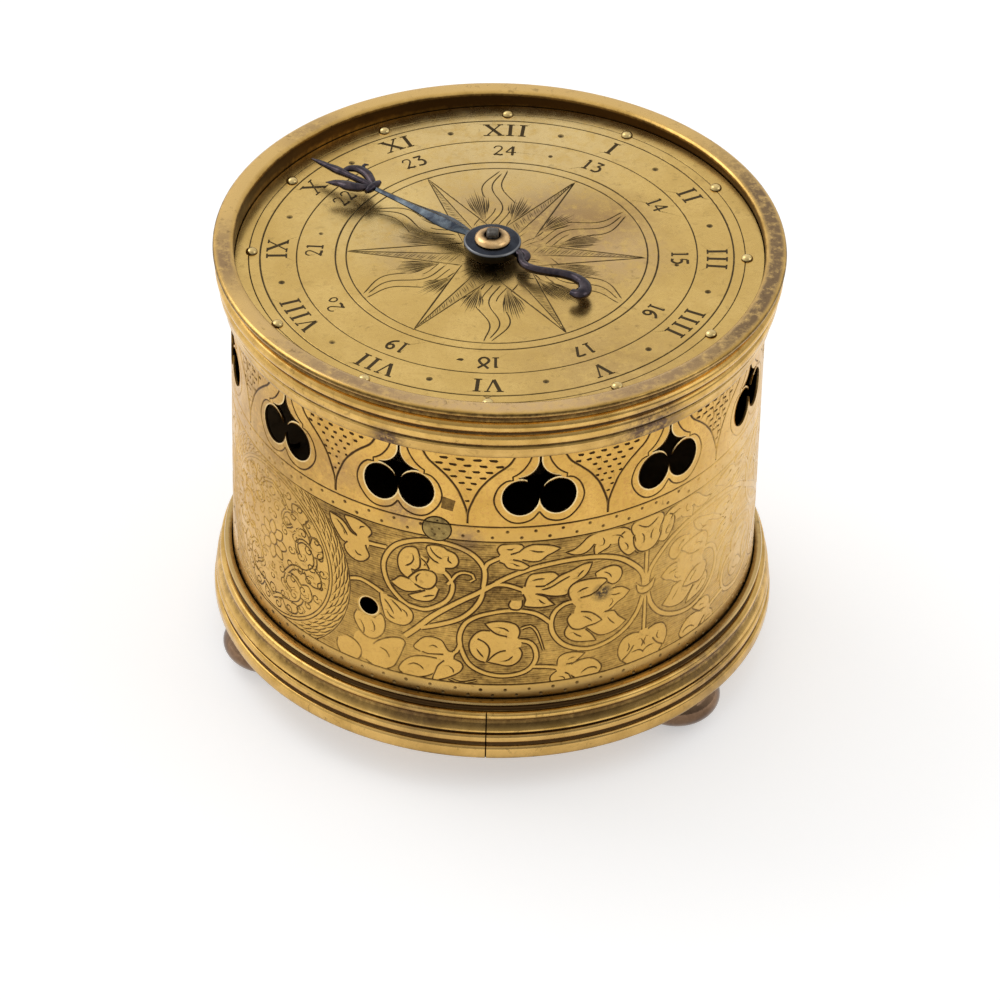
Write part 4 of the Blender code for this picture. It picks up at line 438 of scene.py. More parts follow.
# Leaves and lobes, each outlined from its first point to its last; a repeated point is a tip
LEAVES = (
    # Left circle
    ((-14.9, 41.9), (-16.0, 42.0), (-17.4, 41.0), (-18.0, 39.0), (-17.7, 36.8), (-16.4, 35.0), (-14.6, 34.6),
     (-14.0, 35.6), (-13.7, 37.4), (-13.8, 39.0), (-14.6, 39.9), (-15.4, 39.8)),
    ((-12.8, 38.4), (-12.0, 36.8), (-12.4, 35.0), (-12.4, 33.8), (-10.8, 33.2), (-9.2, 33.5), (-8.6, 34.0),
     (-7.2, 34.6), (-6.5, 35.9), (-6.6, 37.1), (-7.4, 38.0), (-9.0, 38.3)),
    ((-15.7, 42.2), (-17.4, 42.0), (-18.6, 43.2), (-19.4, 43.8), (-19.4, 43.8), (-18.0, 44.8), (-16.4, 45.3),
     (-14.6, 44.9), (-13.4, 44.3)),
    ((-15.8, 41.9), (-14.6, 40.4), (-13.2, 39.5), (-11.4, 39.5), (-10.6, 40.4), (-10.6, 42.0), (-11.5, 43.4),
     (-12.9, 43.8), (-14.6, 43.1)),
    ((-12.6, 44.2), (-14.4, 45.2), (-15.9, 46.0), (-15.9, 46.0), (-14.6, 46.8), (-12.2, 46.7), (-10.8, 45.7),
     (-10.2, 44.0), (-10.0, 43.3)),
    # Bottom left
    ((-13.4, 58.8), (-14.7, 58.0), (-13.8, 56.4), (-12.6, 55.2), (-11.0, 54.9), (-9.4, 55.4), (-8.6, 56.8),
     (-8.0, 57.7), (-7.2, 57.7)),
    ((-13.0, 58.7), (-12.0, 59.0), (-10.4, 58.8), (-9.0, 58.6)),
    ((-10.2, 59.8), (-13.0, 59.8), (-15.2, 60.6), (-16.8, 62.2), (-17.6, 64.0), (-16.6, 64.9), (-14.0, 65.0),
     (-11.9, 64.3), (-10.4, 63.0), (-9.6, 61.2), (-8.6, 60.2)),
    ((-8.8, 60.1), (-9.9, 61.4), (-10.4, 62.8), (-10.9, 64.9), (-9.2, 64.6), (-7.4, 63.6), (-5.9, 62.4),
     (-5.3, 61.0), (-5.9, 59.9), (-7.0, 59.4), (-6.8, 58.4)),
    # Bud at the end of the upper left stem
    ((-21.6, 47.2), (-21.4, 49.0), (-20.8, 51.4), (-20.2, 52.9), (-18.4, 53.6), (-16.4, 53.4), (-15.1, 52.0),
     (-14.9, 50.4), (-15.6, 49.2), (-17.0, 48.3), (-18.8, 47.6), (-20.0, 47.3)),
    # Upper left leaf
    ((-24.0, 35.2), (-23.3, 34.1), (-23.8, 33.0), (-25.6, 32.1), (-27.6, 31.9), (-29.2, 32.3), (-28.6, 33.4),
     (-27.6, 34.8), (-26.4, 35.6)),
    ((-26.4, 35.8), (-27.8, 35.4), (-29.0, 34.0), (-30.6, 33.2), (-32.6, 33.0), (-32.6, 33.0), (-32.2, 34.8),
     (-31.0, 36.6), (-29.6, 38.2), (-28.2, 38.2)),
    ((-28.4, 38.0), (-29.2, 39.2), (-28.6, 40.6), (-26.8, 41.6), (-25.0, 41.2), (-23.8, 39.6), (-24.4, 38.0),
     (-24.6, 37.2)),
    # Lower left leaves
    ((-26.4, 53.2), (-27.0, 55.0), (-26.0, 57.2), (-24.4, 58.6), (-22.6, 58.6), (-21.0, 57.0), (-20.4, 55.0),
     (-20.6, 53.2), (-21.4, 52.2), (-22.6, 53.6)),
    ((-22.8, 60.0), (-21.6, 58.6), (-19.4, 57.2), (-17.4, 56.7), (-16.4, 57.4), (-16.8, 59.2), (-17.6, 61.6),
     (-18.6, 63.8), (-20.4, 65.0), (-22.8, 64.9), (-24.4, 64.2)),
    ((-28.6, 60.2), (-26.8, 60.6), (-25.6, 61.8), (-25.4, 63.4), (-26.2, 65.0), (-28.0, 65.6), (-29.8, 65.0),
     (-30.8, 63.4), (-30.6, 61.6)),
    # Top leaf
    ((1.1, 34.4), (0.6, 33.2), (1.2, 32.1), (2.6, 31.8), (4.4, 31.8), (5.4, 32.5), (4.6, 33.6), (3.0, 34.2)),
    ((4.6, 33.8), (5.6, 32.8), (7.0, 32.2), (8.8, 32.3), (10.8, 32.8), (12.3, 33.6), (12.3, 33.6), (11.0, 34.4),
     (9.8, 35.0), (8.6, 36.0), (7.0, 36.1), (5.2, 35.5)),
    ((3.5, 35.5), (5.0, 36.0), (6.6, 37.2), (6.6, 37.2), (5.6, 37.9), (4.0, 37.8), (2.5, 37.3), (1.9, 36.4),
     (1.0, 36.0)),
    # Long top leaf and its curl
    ((18.9, 36.4), (18.8, 35.0), (19.3, 33.6), (20.4, 32.7), (21.6, 33.1), (22.1, 34.4), (21.8, 35.5), (20.8, 36.0),
     (19.6, 36.5)),
    ((18.8, 34.0), (17.8, 35.2), (16.6, 35.8), (15.0, 35.7), (13.3, 34.8), (13.3, 34.8), (15.0, 34.4), (16.4, 33.3),
     (17.6, 32.1), (19.4, 31.5), (22.0, 31.5), (24.6, 32.0), (26.2, 33.2), (27.1, 35.0), (27.4, 36.4)),
    # Middle cluster
    ((5.8, 41.9), (6.2, 40.2), (7.0, 39.1), (9.0, 38.9), (11.0, 39.0), (12.1, 40.0), (12.1, 40.0), (10.9, 41.3),
     (9.5, 42.0), (7.8, 41.9)),
    ((9.8, 41.9), (11.2, 41.0), (12.6, 39.9), (14.6, 39.2), (16.6, 38.3), (18.5, 38.2), (18.5, 38.2), (18.0, 39.8),
     (17.0, 41.2), (15.4, 42.1), (14.4, 43.3), (13.8, 44.6), (12.2, 44.8), (10.2, 44.4), (8.7, 43.8), (7.8, 43.8)),
    ((8.2, 43.9), (9.6, 44.5), (10.5, 45.6), (11.5, 46.7), (11.5, 46.7), (9.4, 47.0), (7.2, 46.8), (5.7, 46.3),
     (6.0, 45.0), (5.5, 43.6)),
    ((5.4, 45.0), (5.4, 46.4), (4.8, 47.2), (3.4, 47.0), (2.9, 46.0), (3.3, 45.0)),
    # Right circle
    ((19.4, 41.8), (19.2, 41.0), (20.8, 40.3), (22.8, 40.2), (24.3, 41.2), (24.7, 42.8), (24.0, 44.2), (22.8, 44.6),
     (21.4, 43.4)),
    ((14.6, 46.2), (14.1, 44.8), (14.2, 43.4), (15.3, 42.3), (17.2, 42.0), (19.2, 42.2), (21.0, 42.7), (21.6, 43.4),
     (20.6, 44.2), (19.4, 45.4), (17.8, 46.0), (16.4, 46.0)),
    ((22.8, 45.6), (24.6, 45.8), (26.5, 47.3), (26.5, 47.3), (25.4, 48.5), (24.0, 49.2), (22.7, 50.3), (21.3, 50.7)),
    ((21.4, 50.7), (23.2, 51.0), (24.2, 52.5), (25.9, 54.2), (25.9, 54.2), (24.4, 55.4), (22.4, 56.1), (20.6, 56.0),
     (19.2, 55.0), (17.8, 53.5)),
    ((14.4, 51.9), (13.7, 53.0), (13.6, 54.3), (14.6, 55.6), (16.2, 56.4), (18.2, 56.8), (19.8, 57.0), (19.8, 57.0),
     (18.8, 55.2), (17.6, 53.8)),
    ((14.7, 49.5), (14.0, 50.5), (14.3, 51.9), (15.2, 53.1), (16.6, 53.5), (18.0, 53.1), (19.6, 52.9), (20.8, 52.4),
     (20.8, 52.4), (19.8, 51.2), (18.4, 50.0), (16.6, 49.4)),
    # Lower circle
    ((4.8, 53.9), (5.1, 52.4), (4.4, 50.8), (2.6, 50.0), (0.6, 49.9), (-1.4, 50.5), (-1.4, 50.5), (-0.4, 51.8),
     (0.9, 52.9), (2.8, 53.5)),
    ((-1.2, 59.7), (-2.6, 59.2), (-3.9, 57.6), (-4.2, 55.4), (-3.4, 53.4), (-2.0, 52.2), (-0.4, 52.2)),
    ((-2.7, 54.2), (-1.4, 55.0), (-0.5, 56.4), (-0.6, 58.2), (-1.0, 59.7)),
    ((5.0, 56.2), (5.6, 57.4), (5.3, 59.0), (4.2, 60.2), (2.8, 60.5), (1.2, 60.1), (-0.8, 59.6), (-0.8, 59.6),
     (0.4, 58.0), (1.6, 57.1), (2.6, 56.9)),
    # Lower right leaf
    ((12.3, 61.4), (12.5, 59.7), (13.7, 58.7), (15.6, 58.7), (17.7, 59.4), (17.7, 59.4), (16.6, 60.4), (15.4, 61.2),
     (14.0, 61.3)),
    ((15.0, 61.6), (16.6, 60.9), (18.6, 60.9), (20.2, 62.0), (21.1, 63.6), (20.4, 65.0), (18.4, 65.5), (16.2, 65.1),
     (14.6, 63.8), (13.9, 63.2)),
    ((12.3, 62.6), (11.2, 63.6), (11.1, 64.8), (12.4, 65.3), (13.8, 65.7), (15.5, 66.0), (15.0, 64.8), (14.6, 63.9)),
    # Upper flower
    ((27.6, 38.2), (26.0, 38.9), (24.6, 37.6), (23.8, 35.8), (23.9, 34.0), (25.0, 33.1)),
    ((28.9, 38.2), (28.8, 38.8), (27.8, 39.0), (27.2, 38.2)),
    ((26.9, 34.6), (26.3, 33.0), (26.9, 31.8), (28.4, 31.4), (30.0, 31.3), (31.6, 31.4), (33.1, 31.8), (33.7, 33.0),
     (33.1, 34.6)),
    ((26.9, 34.8), (27.1, 37.0), (28.2, 38.8), (30.0, 39.4), (31.8, 38.8), (32.9, 37.0), (33.1, 34.8)),
    # Lower flower
    ((29.0, 58.4), (27.4, 58.0), (25.6, 58.5), (24.6, 60.2), (24.5, 62.2), (25.2, 63.8), (25.2, 63.8), (26.8, 62.6),
     (27.8, 61.0)),
    ((25.4, 63.9), (26.8, 65.2), (28.6, 65.7), (30.0, 65.8), (31.4, 65.7), (33.2, 65.2), (34.6, 63.9)),
    # Collar where the stems meet
    ((27.9, 46.2), (28.0, 47.6), (28.6, 48.9), (30.0, 49.4), (31.4, 48.9), (32.0, 47.6), (32.1, 46.2), (32.1, 46.2),
     (31.3, 47.2), (30.0, 47.8), (28.7, 47.2), (27.9, 46.2)),
)

# Bodies that join lobes to one leaf, without a line of their own
BODIES = (
    ((-13.8, 36.0), (-12.2, 37.0), (-9.0, 38.2), (-8.8, 39.6), (-11.2, 39.6), (-14.2, 40.6), (-14.0, 38.0)),
    ((-13.6, 43.4), (-10.8, 42.6), (-10.4, 44.2), (-13.4, 45.0)),
    ((-12.6, 58.9), (-7.4, 57.8), (-6.8, 59.4), (-8.6, 60.6), (-12.2, 60.2)),
    ((-28.6, 37.4), (-26.6, 35.2), (-24.2, 35.2), (-24.2, 38.0), (-28.2, 38.6)),
    ((-26.0, 58.0), (-21.6, 57.4), (-22.4, 64.0), (-26.0, 63.4), (-27.0, 60.6)),
    ((1.2, 34.0), (4.8, 33.4), (5.4, 35.8), (2.2, 36.4), (1.2, 35.8)),
    ((5.6, 41.8), (10.2, 41.8), (13.0, 44.4), (8.6, 44.6), (6.0, 45.2), (5.3, 43.4)),
    ((14.8, 45.8), (22.6, 44.4), (23.2, 50.6), (20.8, 52.0), (18.0, 49.6), (15.2, 49.6), (15.6, 47.8)),
    ((17.4, 53.2), (20.6, 51.4), (20.6, 54.8)),
    ((-3.0, 53.2), (-0.2, 52.0), (4.8, 54.0), (5.2, 56.4), (2.0, 57.4), (-0.4, 58.6), (-0.6, 56.4)),
    ((12.3, 61.2), (15.4, 61.0), (15.0, 64.0), (12.4, 62.8)),
    ((26.6, 33.4), (33.4, 33.4), (33.6, 38.0), (31.0, 38.4), (29.0, 38.4), (26.4, 38.0)),
    ((27.4, 58.6), (32.6, 58.6), (34.0, 64.0), (26.0, 64.0)),
)

# Veins and folds inside the leaves
VEINS = (
    ((-19.2, 48.2), (-18.0, 49.2), (-17.0, 50.4)), ((-20.2, 50.8), (-19.4, 52.0), (-18.4, 52.4)),
    ((-15.8, 62.6), (-14.6, 61.9), (-13.4, 62.2), (-12.6, 63.0)),
    ((17.0, 64.0), (18.3, 63.2), (19.6, 63.3), (20.3, 63.9)),
    ((27.8, 32.6), (29.0, 33.5), (30.2, 33.9), (31.4, 33.7), (33.2, 32.7)), ((33.0, 33.2), (31.8, 34.4), (31.1, 35.8)),
    ((27.0, 34.6), (27.4, 36.4)), ((27.4, 62.6), (28.8, 62.5), (29.8, 63.1), (30.6, 64.2)),
    ((32.0, 60.9), (32.8, 62.2), (33.8, 63.0)), ((-25.6, 55.2), (-24.8, 56.8), (-24.9, 58.4)),
    ((-24.6, 33.0), (-25.6, 33.4), (-26.0, 34.2)), ((-30.4, 34.4), (-29.4, 35.4), (-29.0, 36.8)),
    ((22.8, 48.0), (23.0, 48.8), (22.2, 49.8)), ((16.6, 45.9), (18.2, 45.9), (19.6, 45.2)),
    # Left circle
    ((-15.2, 36.2), (-14.9, 37.4), (-15.5, 38.6), (-16.6, 39.4)),
    ((-13.9, 36.6), (-12.8, 37.4), (-12.2, 38.4), (-11.8, 39.4)),
    ((-13.6, 40.4), (-14.4, 41.4), (-14.2, 42.6)), ((-11.9, 33.6), (-11.4, 34.8), (-10.4, 35.8), (-9.4, 36.2)),
    ((-12.6, 34.4), (-12.1, 35.8), (-11.0, 36.9), (-10.0, 37.3)), ((-8.3, 35.4), (-8.4, 36.4), (-7.6, 37.0)),
    ((-10.8, 45.0), (-11.8, 45.2), (-13.0, 45.8)),
    # Leaves of the upper left and the bud
    ((-31.0, 33.9), (-29.8, 34.7), (-28.4, 36.6)), ((-26.9, 39.2), (-26.2, 40.0), (-25.2, 39.9)),
    ((-20.7, 48.3), (-19.6, 49.6), (-18.6, 51.4)), ((-17.2, 49.6), (-16.2, 50.4), (-16.0, 51.4)),
    # Middle cluster
    ((8.8, 42.9), (10.6, 42.5), (12.6, 41.3), (14.4, 40.4)), ((7.0, 40.6), (8.2, 40.3), (9.6, 40.3)),
    ((8.4, 45.0), (9.0, 45.8), (9.8, 46.2)), ((6.6, 33.5), (8.0, 33.9), (9.4, 34.0)),
    ((2.2, 33.0), (3.2, 33.1), (3.9, 32.6)),
    ((3.4, 36.3), (4.2, 36.8), (5.0, 37.0)), ((15.6, 41.2), (16.2, 40.3), (17.0, 39.5)),
    # Right circle
    ((15.8, 44.6), (16.8, 44.1), (18.0, 43.9)), ((17.2, 50.6), (18.2, 51.4), (18.9, 52.2)),
    ((21.9, 52.0), (22.6, 53.2), (23.6, 54.2)),
    ((15.1, 53.9), (16.0, 54.8), (17.0, 55.4)), ((22.4, 47.0), (23.6, 47.3), (24.6, 47.2)),
    ((20.9, 41.2), (22.0, 41.9), (22.6, 43.0)),
    # Lower circle and the leaves beside it
    ((0.9, 51.3), (2.2, 51.6), (3.2, 52.4)), ((-2.9, 56.4), (-2.2, 57.6), (-1.4, 58.6)),
    ((2.0, 59.4), (3.2, 59.0), (4.0, 58.0)),
    ((-11.8, 57.2), (-11.0, 56.8), (-10.0, 57.2)), ((-8.0, 61.2), (-7.2, 61.9), (-7.0, 62.8)),
    ((14.4, 60.2), (15.2, 59.9), (15.9, 59.9)),
    ((12.6, 64.0), (13.4, 64.2), (14.0, 64.9)), ((-21.4, 60.2), (-20.2, 60.6), (-19.4, 62.0)),
    ((-23.2, 54.4), (-22.6, 55.6), (-22.6, 57.0)),
    # Flowers on the axis
    ((28.6, 34.8), (29.2, 35.8), (29.2, 37.2)), ((24.9, 35.6), (25.6, 36.4), (25.8, 37.4)),
    ((26.6, 60.0), (26.9, 61.0), (26.5, 61.9)),
    ((29.4, 60.0), (29.9, 61.0), (29.6, 62.0)), ((20.4, 33.0), (20.8, 33.9), (20.6, 34.8)),
    ((22.8, 33.2), (24.0, 33.6), (24.8, 34.6)),
)

# Ornament of the medallion: one side, given round its centre as right and up
ROUNDEL_STEMS = (
    (((0.0, -13.4), (2.6, -12.0), (5.8, -11.8), (8.4, -10.0), (8.9, -7.0), (7.0, -5.0), (4.6, -5.4), (4.0, -7.6),
      (5.6, -8.8)), 1.0, 0.6),
    (((4.2, -5.4), (6.6, -2.6), (10.2, -1.8), (12.4, 0.8), (11.8, 4.0), (9.2, 5.0), (7.4, 3.4), (8.2, 1.2)), 0.9, 0.6),
    (((11.9, 3.6), (11.0, 7.0), (8.0, 9.6), (4.6, 9.6), (3.2, 7.4), (4.6, 5.8), (6.2, 7.0)), 0.8, 0.5),
    (((4.8, 9.7), (3.0, 12.0), (0.0, 13.4)), 0.7, 0.7),
)
ROUNDEL_LEAVES = (
    ((8.6, -8.8), (10.4, -9.0), (11.6, -7.2), (10.6, -5.0), (8.9, -5.6)),
    ((9.6, -2.0), (11.4, -4.2), (13.8, -3.6), (13.6, -1.2), (12.0, 0.0)),
    ((12.2, 2.8), (14.2, 3.6), (13.9, 6.2), (11.8, 7.2), (11.2, 5.6)),
    ((9.2, 8.8), (10.6, 10.8), (8.6, 12.2), (6.2, 12.0), (6.4, 9.9)),
    ((3.0, -12.0), (4.6, -14.0), (7.2, -13.4), (7.6, -11.4), (5.8, -11.6)),
)


def seams(pattern, low, high, top, end):
    """Upright seams at the wall's regular steps, so that the sheet wraps round the drum."""
    first = math.ceil((low - MIRROR_U) / GRID_STEP + 1e-6)
    last = math.floor((high - MIRROR_U) / GRID_STEP - 1e-6)
    for step in range(first, last + 1):
        place = MIRROR_U + step * GRID_STEP
        pattern.seam([(place, -top), (place, -end)])


RING_STEPS = 72
WREATH_LEAVES = 46
# Rows of the wreath's leaves: radius, lift, degrees of run, and shift as a share of the pitch
WREATH_ROWS = ((19.9, 0.8, 12, 0.0), (19.0, 0.9, 13, 0.5), (18.0, 0.8, 12, 0.0), (17.3, 0.5, 10, 0.5))
# Radii of the two rings inside the wreath
WREATH_INNER = (16.6, 15.9)


def wreath(pattern, centre):
    """Laurel wreath of leaf strokes between two rings, and the plain disc inside it."""
    pattern.fill(circle(20.9, RING_STEPS, centre), "skin")
    pattern.stroke(circle(20.7, RING_STEPS, centre), 0.22, closed=True)
    for turn in range(WREATH_LEAVES):
        for radius, lift, run, shift in WREATH_ROWS:
            start = 360 * (turn + shift) / WREATH_LEAVES
            route = [polar(radius - lift * 0.6, start, centre), polar(radius + 0.25, start + 0.4 * run, centre),
                     polar(radius + lift * 0.7, start + run, centre)]
            pattern.stroke(smooth(route, 1.2), 0.19, side=THIN_STAIN)
    pattern.fill(circle(WREATH_INNER[0] + 0.25, RING_STEPS, centre), "skin")
    for radius in WREATH_INNER:
        pattern.stroke(circle(radius, RING_STEPS, centre), 0.2, closed=True)


# Rings of curls in the medallion: radius, number, size, and shift as a share of the pitch
CURL_RINGS = ((14.3, 26, 1.15, 0.0), (11.4, 20, 1.25, 0.0), (8.6, 15, 1.2, 0.3), (6.0, 10, 1.1, 0.3))


def curl(pattern, middle, size, degrees, hand):
    """Small scroll with a leaf stroke beside it."""
    steps = 9
    route = [polar(size * (1 - 0.85 * step / steps), degrees + hand * 46 * step, middle) for step in range(steps + 1)]
    pattern.stroke(route, 0.19, side=0.4)
    pattern.stroke([polar(size * 1.15, degrees - 40 * hand, middle), polar(size * 1.5, degrees, middle),
                    polar(size * 1.15, degrees + 45 * hand, middle)], 0.2, side=0.4)


def roundel(pattern, centre):
    """Generic scrolls and a rosette inside the wreath."""
    x, y = centre
    for side in (-1, 1):
        pattern.stems([([(x + side * right, y + up) for right, up in points], start, end)
                       for points, start, end in ROUNDEL_STEMS], half=0.5)
        for points in ROUNDEL_LEAVES:
            pattern.leaf([(x + side * right, y + up) for right, up in points])
    for reach, count, size, shift in CURL_RINGS:
        for step in range(count):
            turn = 360 * (step + shift) / count
            curl(pattern, polar(reach, turn, centre), size, turn + 70 * (step % 3), 1 if step % 2 else -1)
    for petal in range(8):
        turn = 45 * petal
        pattern.leaf([polar(1.2, turn - 12, centre), polar(3.0, turn - 22, centre), polar(4.4, turn, centre),
                      polar(3.0, turn + 22, centre), polar(1.2, turn + 12, centre)])
    pattern.leaf([polar(1.3, 60 * step, centre) for step in range(7)])


def band_dots(pattern, upper, lower, low, count):
    """Two rows of punch marks, staggered."""
    pitch = QUARTER / count
    for step in range(count):
        for share, height in ((0.25, upper), (0.75, lower)):
            wander = 0.16 * math.sin(7.3 * step + 40 * share)
            pattern.dot((low + (step + share) * pitch + wander, -height - 0.5 * wander), 0.34 + 0.4 * abs(wander))


def scroll_panel(openings):
    """A quarter of the wall below the frieze: dotted bands, and foliage on a hatched ground."""
    low, high = MIRROR_U - QUARTER, MIRROR_U
    sheet = [(low, -WALL_END_DROP), (high, -WALL_END_DROP), (high, -BAND_TOP), (low, -BAND_TOP)]
    pattern = Pattern(sheet, wall_ground)
    seams(pattern, low, high, BAND_TOP, WALL_END_DROP)
    field = [(low, -FIELD_END), (high, -FIELD_END), (high, -FIELD_TOP), (low, -FIELD_TOP)]
    pattern.fill(field, "ground")
    rows = int((FIELD_END - FIELD_TOP) / ROW_STEP)
    steps = 60
    for row in range(1, rows):
        route = []
        for step in range(steps + 1):
            place = low + QUARTER * step / steps
            route.append((place, -(FIELD_TOP + row * ROW_STEP + row_wave(place, row) * ROW_STEP)))
        pattern.seam(route)
    pattern.stems([(down(points), start, end) for points, start, end in STEMS])
    for points in BODIES:
        pattern.fill(smooth(down(points), 1.0, closed=True), "skin")
    for points in LEAVES:
        pattern.leaf(down(points))
    for points in VEINS:
        pattern.stroke(smooth(down(points), 0.6))
    wreath(pattern, MEDALLION)
    roundel(pattern, MEDALLION)
    for top, end in ((BAND_TOP - 1, FIELD_TOP), (FIELD_END, WALL_END_DROP + 1)):
        pattern.fill([(low - 30, -end), (high + 30, -end), (high + 30, -top), (low - 30, -top)], "skin")
    for height in (LOWER_LINE, FIELD_TOP, FIELD_END):
        pattern.line([(low - 1, -height)] + [(low + QUARTER * step / 30, -height) for step in range(31)]
                     + [(high + 1, -height)], 0.24)
    band_dots(pattern, 30.3, 28.9, low - 0.3, 15)
    band_dots(pattern, 66.2, 67.5, low - 0.9, 17)
    if openings:
        rim = circle(SIDE_HOLE_RADIUS, 32, SIDE_HOLE)
        worn_rim = ((0, -0.55, 0, 0), (0, -0.35, -0.05, 0.5), (0, -0.2, 0, -1), (0, 0, -0.1, -0.6))
        pattern.ribbon(rim, 0.0, worn_rim, closed=True)
        pattern.fill(rim, "hole")
    return pattern.cut()


# Frieze
TREFOIL_AXIS = 8.1
LOBE_CENTRE = (3.45, -21.3)
LOBE_RADIUS = 3.4
LOBE_STRETCH = 1.15
BARB_THICKNESS = 0.5
OGEE_CENTRE = (4.1, -12.8)
OGEE_RADIUS = 3.95
# Angle round the lobe at which each barb ends, left and right of every trefoil, from the front one on
BARB_ENDS = ((112, 148), (150, 150), (148, 144), (146, 148), (148, 148), (150, 144),
             (148, 148), (144, 148), (148, 150), (146, 146), (148, 148), (150, 150))


def trefoil_half(barb_end, side):
    """One side of a pierced trefoil, from the cusp at the bottom round the lobe to the spike at the top."""
    points = [Vector((0.0, -21.2))]

    def on_lobe(radius, degrees):
        point = polar(radius, degrees)
        return Vector((LOBE_CENTRE[0] + point.x, LOBE_CENTRE[1] + point.y * LOBE_STRETCH))

    for step in range(23):
        points.append(on_lobe(LOBE_RADIUS, -172 + (barb_end + 172) * step / 22))
    for step in range(1, 6):
        share = step / 5
        points.append(on_lobe(LOBE_RADIUS + BARB_THICKNESS * math.sqrt(share), barb_end + (92 - barb_end) * share))
    points.append(Vector((3.95, -16.85)))
    for step in range(9):
        points.append(polar(OGEE_RADIUS, -98 - 78 * step / 8, OGEE_CENTRE))
    points.append(Vector((OGEE_CENTRE[0] - OGEE_RADIUS, -11.6)))
    return [(side * point.x, point.y) for point in points]


def trefoil(number, axis):
    """Outline of one pierced trefoil."""
    left, right = BARB_ENDS[number % TREFOIL_COUNT]
    right_half, left_half = trefoil_half(right, 1), trefoil_half(left, -1)
    return [(axis + x, y) for x, y in right_half + left_half[:0:-1]]


FRIEZE_LINE = (
    (1.3, 10.6), (1.6, 11.8), (2.1, 13.3), (3.2, 15.0), (4.3, 16.0), (5.0, 16.4), (5.0, 16.4), (4.95, 17.2),
    (4.95, 17.2), (6.2, 17.45), (7.6, 19.0), (8.35, 21.7), (7.6, 24.2), (5.7, 26.4), (3.6, 27.0), (1.4, 26.3),
    (0.0, 24.6))
SPANDREL_LINE = (
    (4.2, 10.8), (4.7, 12.0), (5.7, 13.7), (7.6, 15.4), (9.4, 17.2), (11.1, 19.6), (12.2, 22.2), (12.9, 24.4),
    (13.05, 26.0), (13.05, 27.7))


def spandrel_reach(drop):
    """Half the width of a spandrel at a height."""
    for (near, upper), (far, lower) in zip(SPANDREL_LINE, SPANDREL_LINE[1:]):
        if upper <= drop <= lower:
            return TREFOIL_PITCH / 2 - near - (far - near) * (drop - upper) / (lower - upper)
    return 0.0


def dashes(pattern, middle, long):
    """Rows of short dashes between the two lines of a spandrel."""
    for row in range(9):
        drop = 11.45 + 1.34 * row
        reach = spandrel_reach(drop)
        length = max(0.75, (1.95 if long else 1.35) - 0.12 * row)
        pitch = max(1.5, (3.05 if long else 2.35) - 0.14 * row)
        for dash in range(-4, 5):
            start = (dash + 0.5 * (row % 2)) * pitch + 0.2 * math.sin(5.1 * dash + 2.3 * row)
            if abs(start) + length / 2 > reach - 0.3:
                continue
            tilt = 0.08 * math.sin(3.1 * dash + row)
            route = [(middle + start + share * length, -drop + tilt * side)
                     for share, side in ((-0.5, -1), (-0.3, -0.5), (0.3, 0.5), (0.5, 1))]
            pattern.stroke(route, 0.34 - 0.012 * row, 0.2, 0.85)


# The panel left of the front one, with a square stain and the side hole
LEFT_PANEL = 10
STAINED_SQUARE = ((-9.9, -24.4), (-7.7, -24.9), (-7.2, -22.4), (-9.6, -21.7))


def frieze_panel(number):
    """A twelfth of the frieze: one pierced trefoil in its outline, and the dashed spandrels beside it."""
    low = MIRROR_U - 3 * GRID_STEP
    high = low + TREFOIL_PITCH
    sheet = [(low, -BAND_TOP), (high, -BAND_TOP), (high, -WALL_TOP_DROP), (low, -WALL_TOP_DROP)]
    pattern = Pattern(sheet, wall_ground)
    seams(pattern, low, high, WALL_TOP_DROP, BAND_TOP)
    for period in (0, 1, 2):
        axis = TREFOIL_AXIS + TREFOIL_PITCH * period
        for side in (-1, 1):
            for line in (FRIEZE_LINE, SPANDREL_LINE):
                route = smooth([(axis + side * x, -drop) for x, drop in line], 0.6)
                pattern.stroke(route, 0.27 if line is SPANDREL_LINE else 0.21, 0.18, 0.4, taper=False)
        dashes(pattern, axis - TREFOIL_PITCH / 2, (number + period) % TREFOIL_COUNT == 0)
    if number == LEFT_PANEL:
        for corners in (STAINED_SQUARE[:3], STAINED_SQUARE[2:] + STAINED_SQUARE[:1]):
            points = [Vector((x + 2 * TREFOIL_PITCH, y)) for x, y in corners]
            pattern.add_face(pattern.add_points(points), "skin", [(0, 0.72)] * 3)
    opening = trefoil(number + 1, TREFOIL_AXIS + TREFOIL_PITCH)
    worn_edge = ((0, -0.34, 0, -0.2), (0, -0.12, -0.07, -1), (0, 0, -0.16, -1))
    pattern.ribbon([Vector(point) for point in opening], 0.0, worn_edge, closed=True)
    pattern.fill(opening, "hole")
    return pattern.cut()


def inner_panel(number):
    """A twelfth of the wall's inner face, with the same openings."""
    low = MIRROR_U - 3 * GRID_STEP
    high = low + TREFOIL_PITCH
    pattern = Pattern([(low, -WALL_END_DROP), (high, -WALL_END_DROP), (high, -WALL_TOP_DROP), (low, -WALL_TOP_DROP)])
    seams(pattern, low, high, WALL_TOP_DROP, WALL_END_DROP)
    pattern.fill(trefoil(number + 1, TREFOIL_AXIS + TREFOIL_PITCH), "hole")
    if number == LEFT_PANEL:
        pattern.fill(circle(SIDE_HOLE_RADIUS, 32, (SIDE_HOLE[0] + 2 * TREFOIL_PITCH, SIDE_HOLE[1])), "hole")
    return pattern.cut()


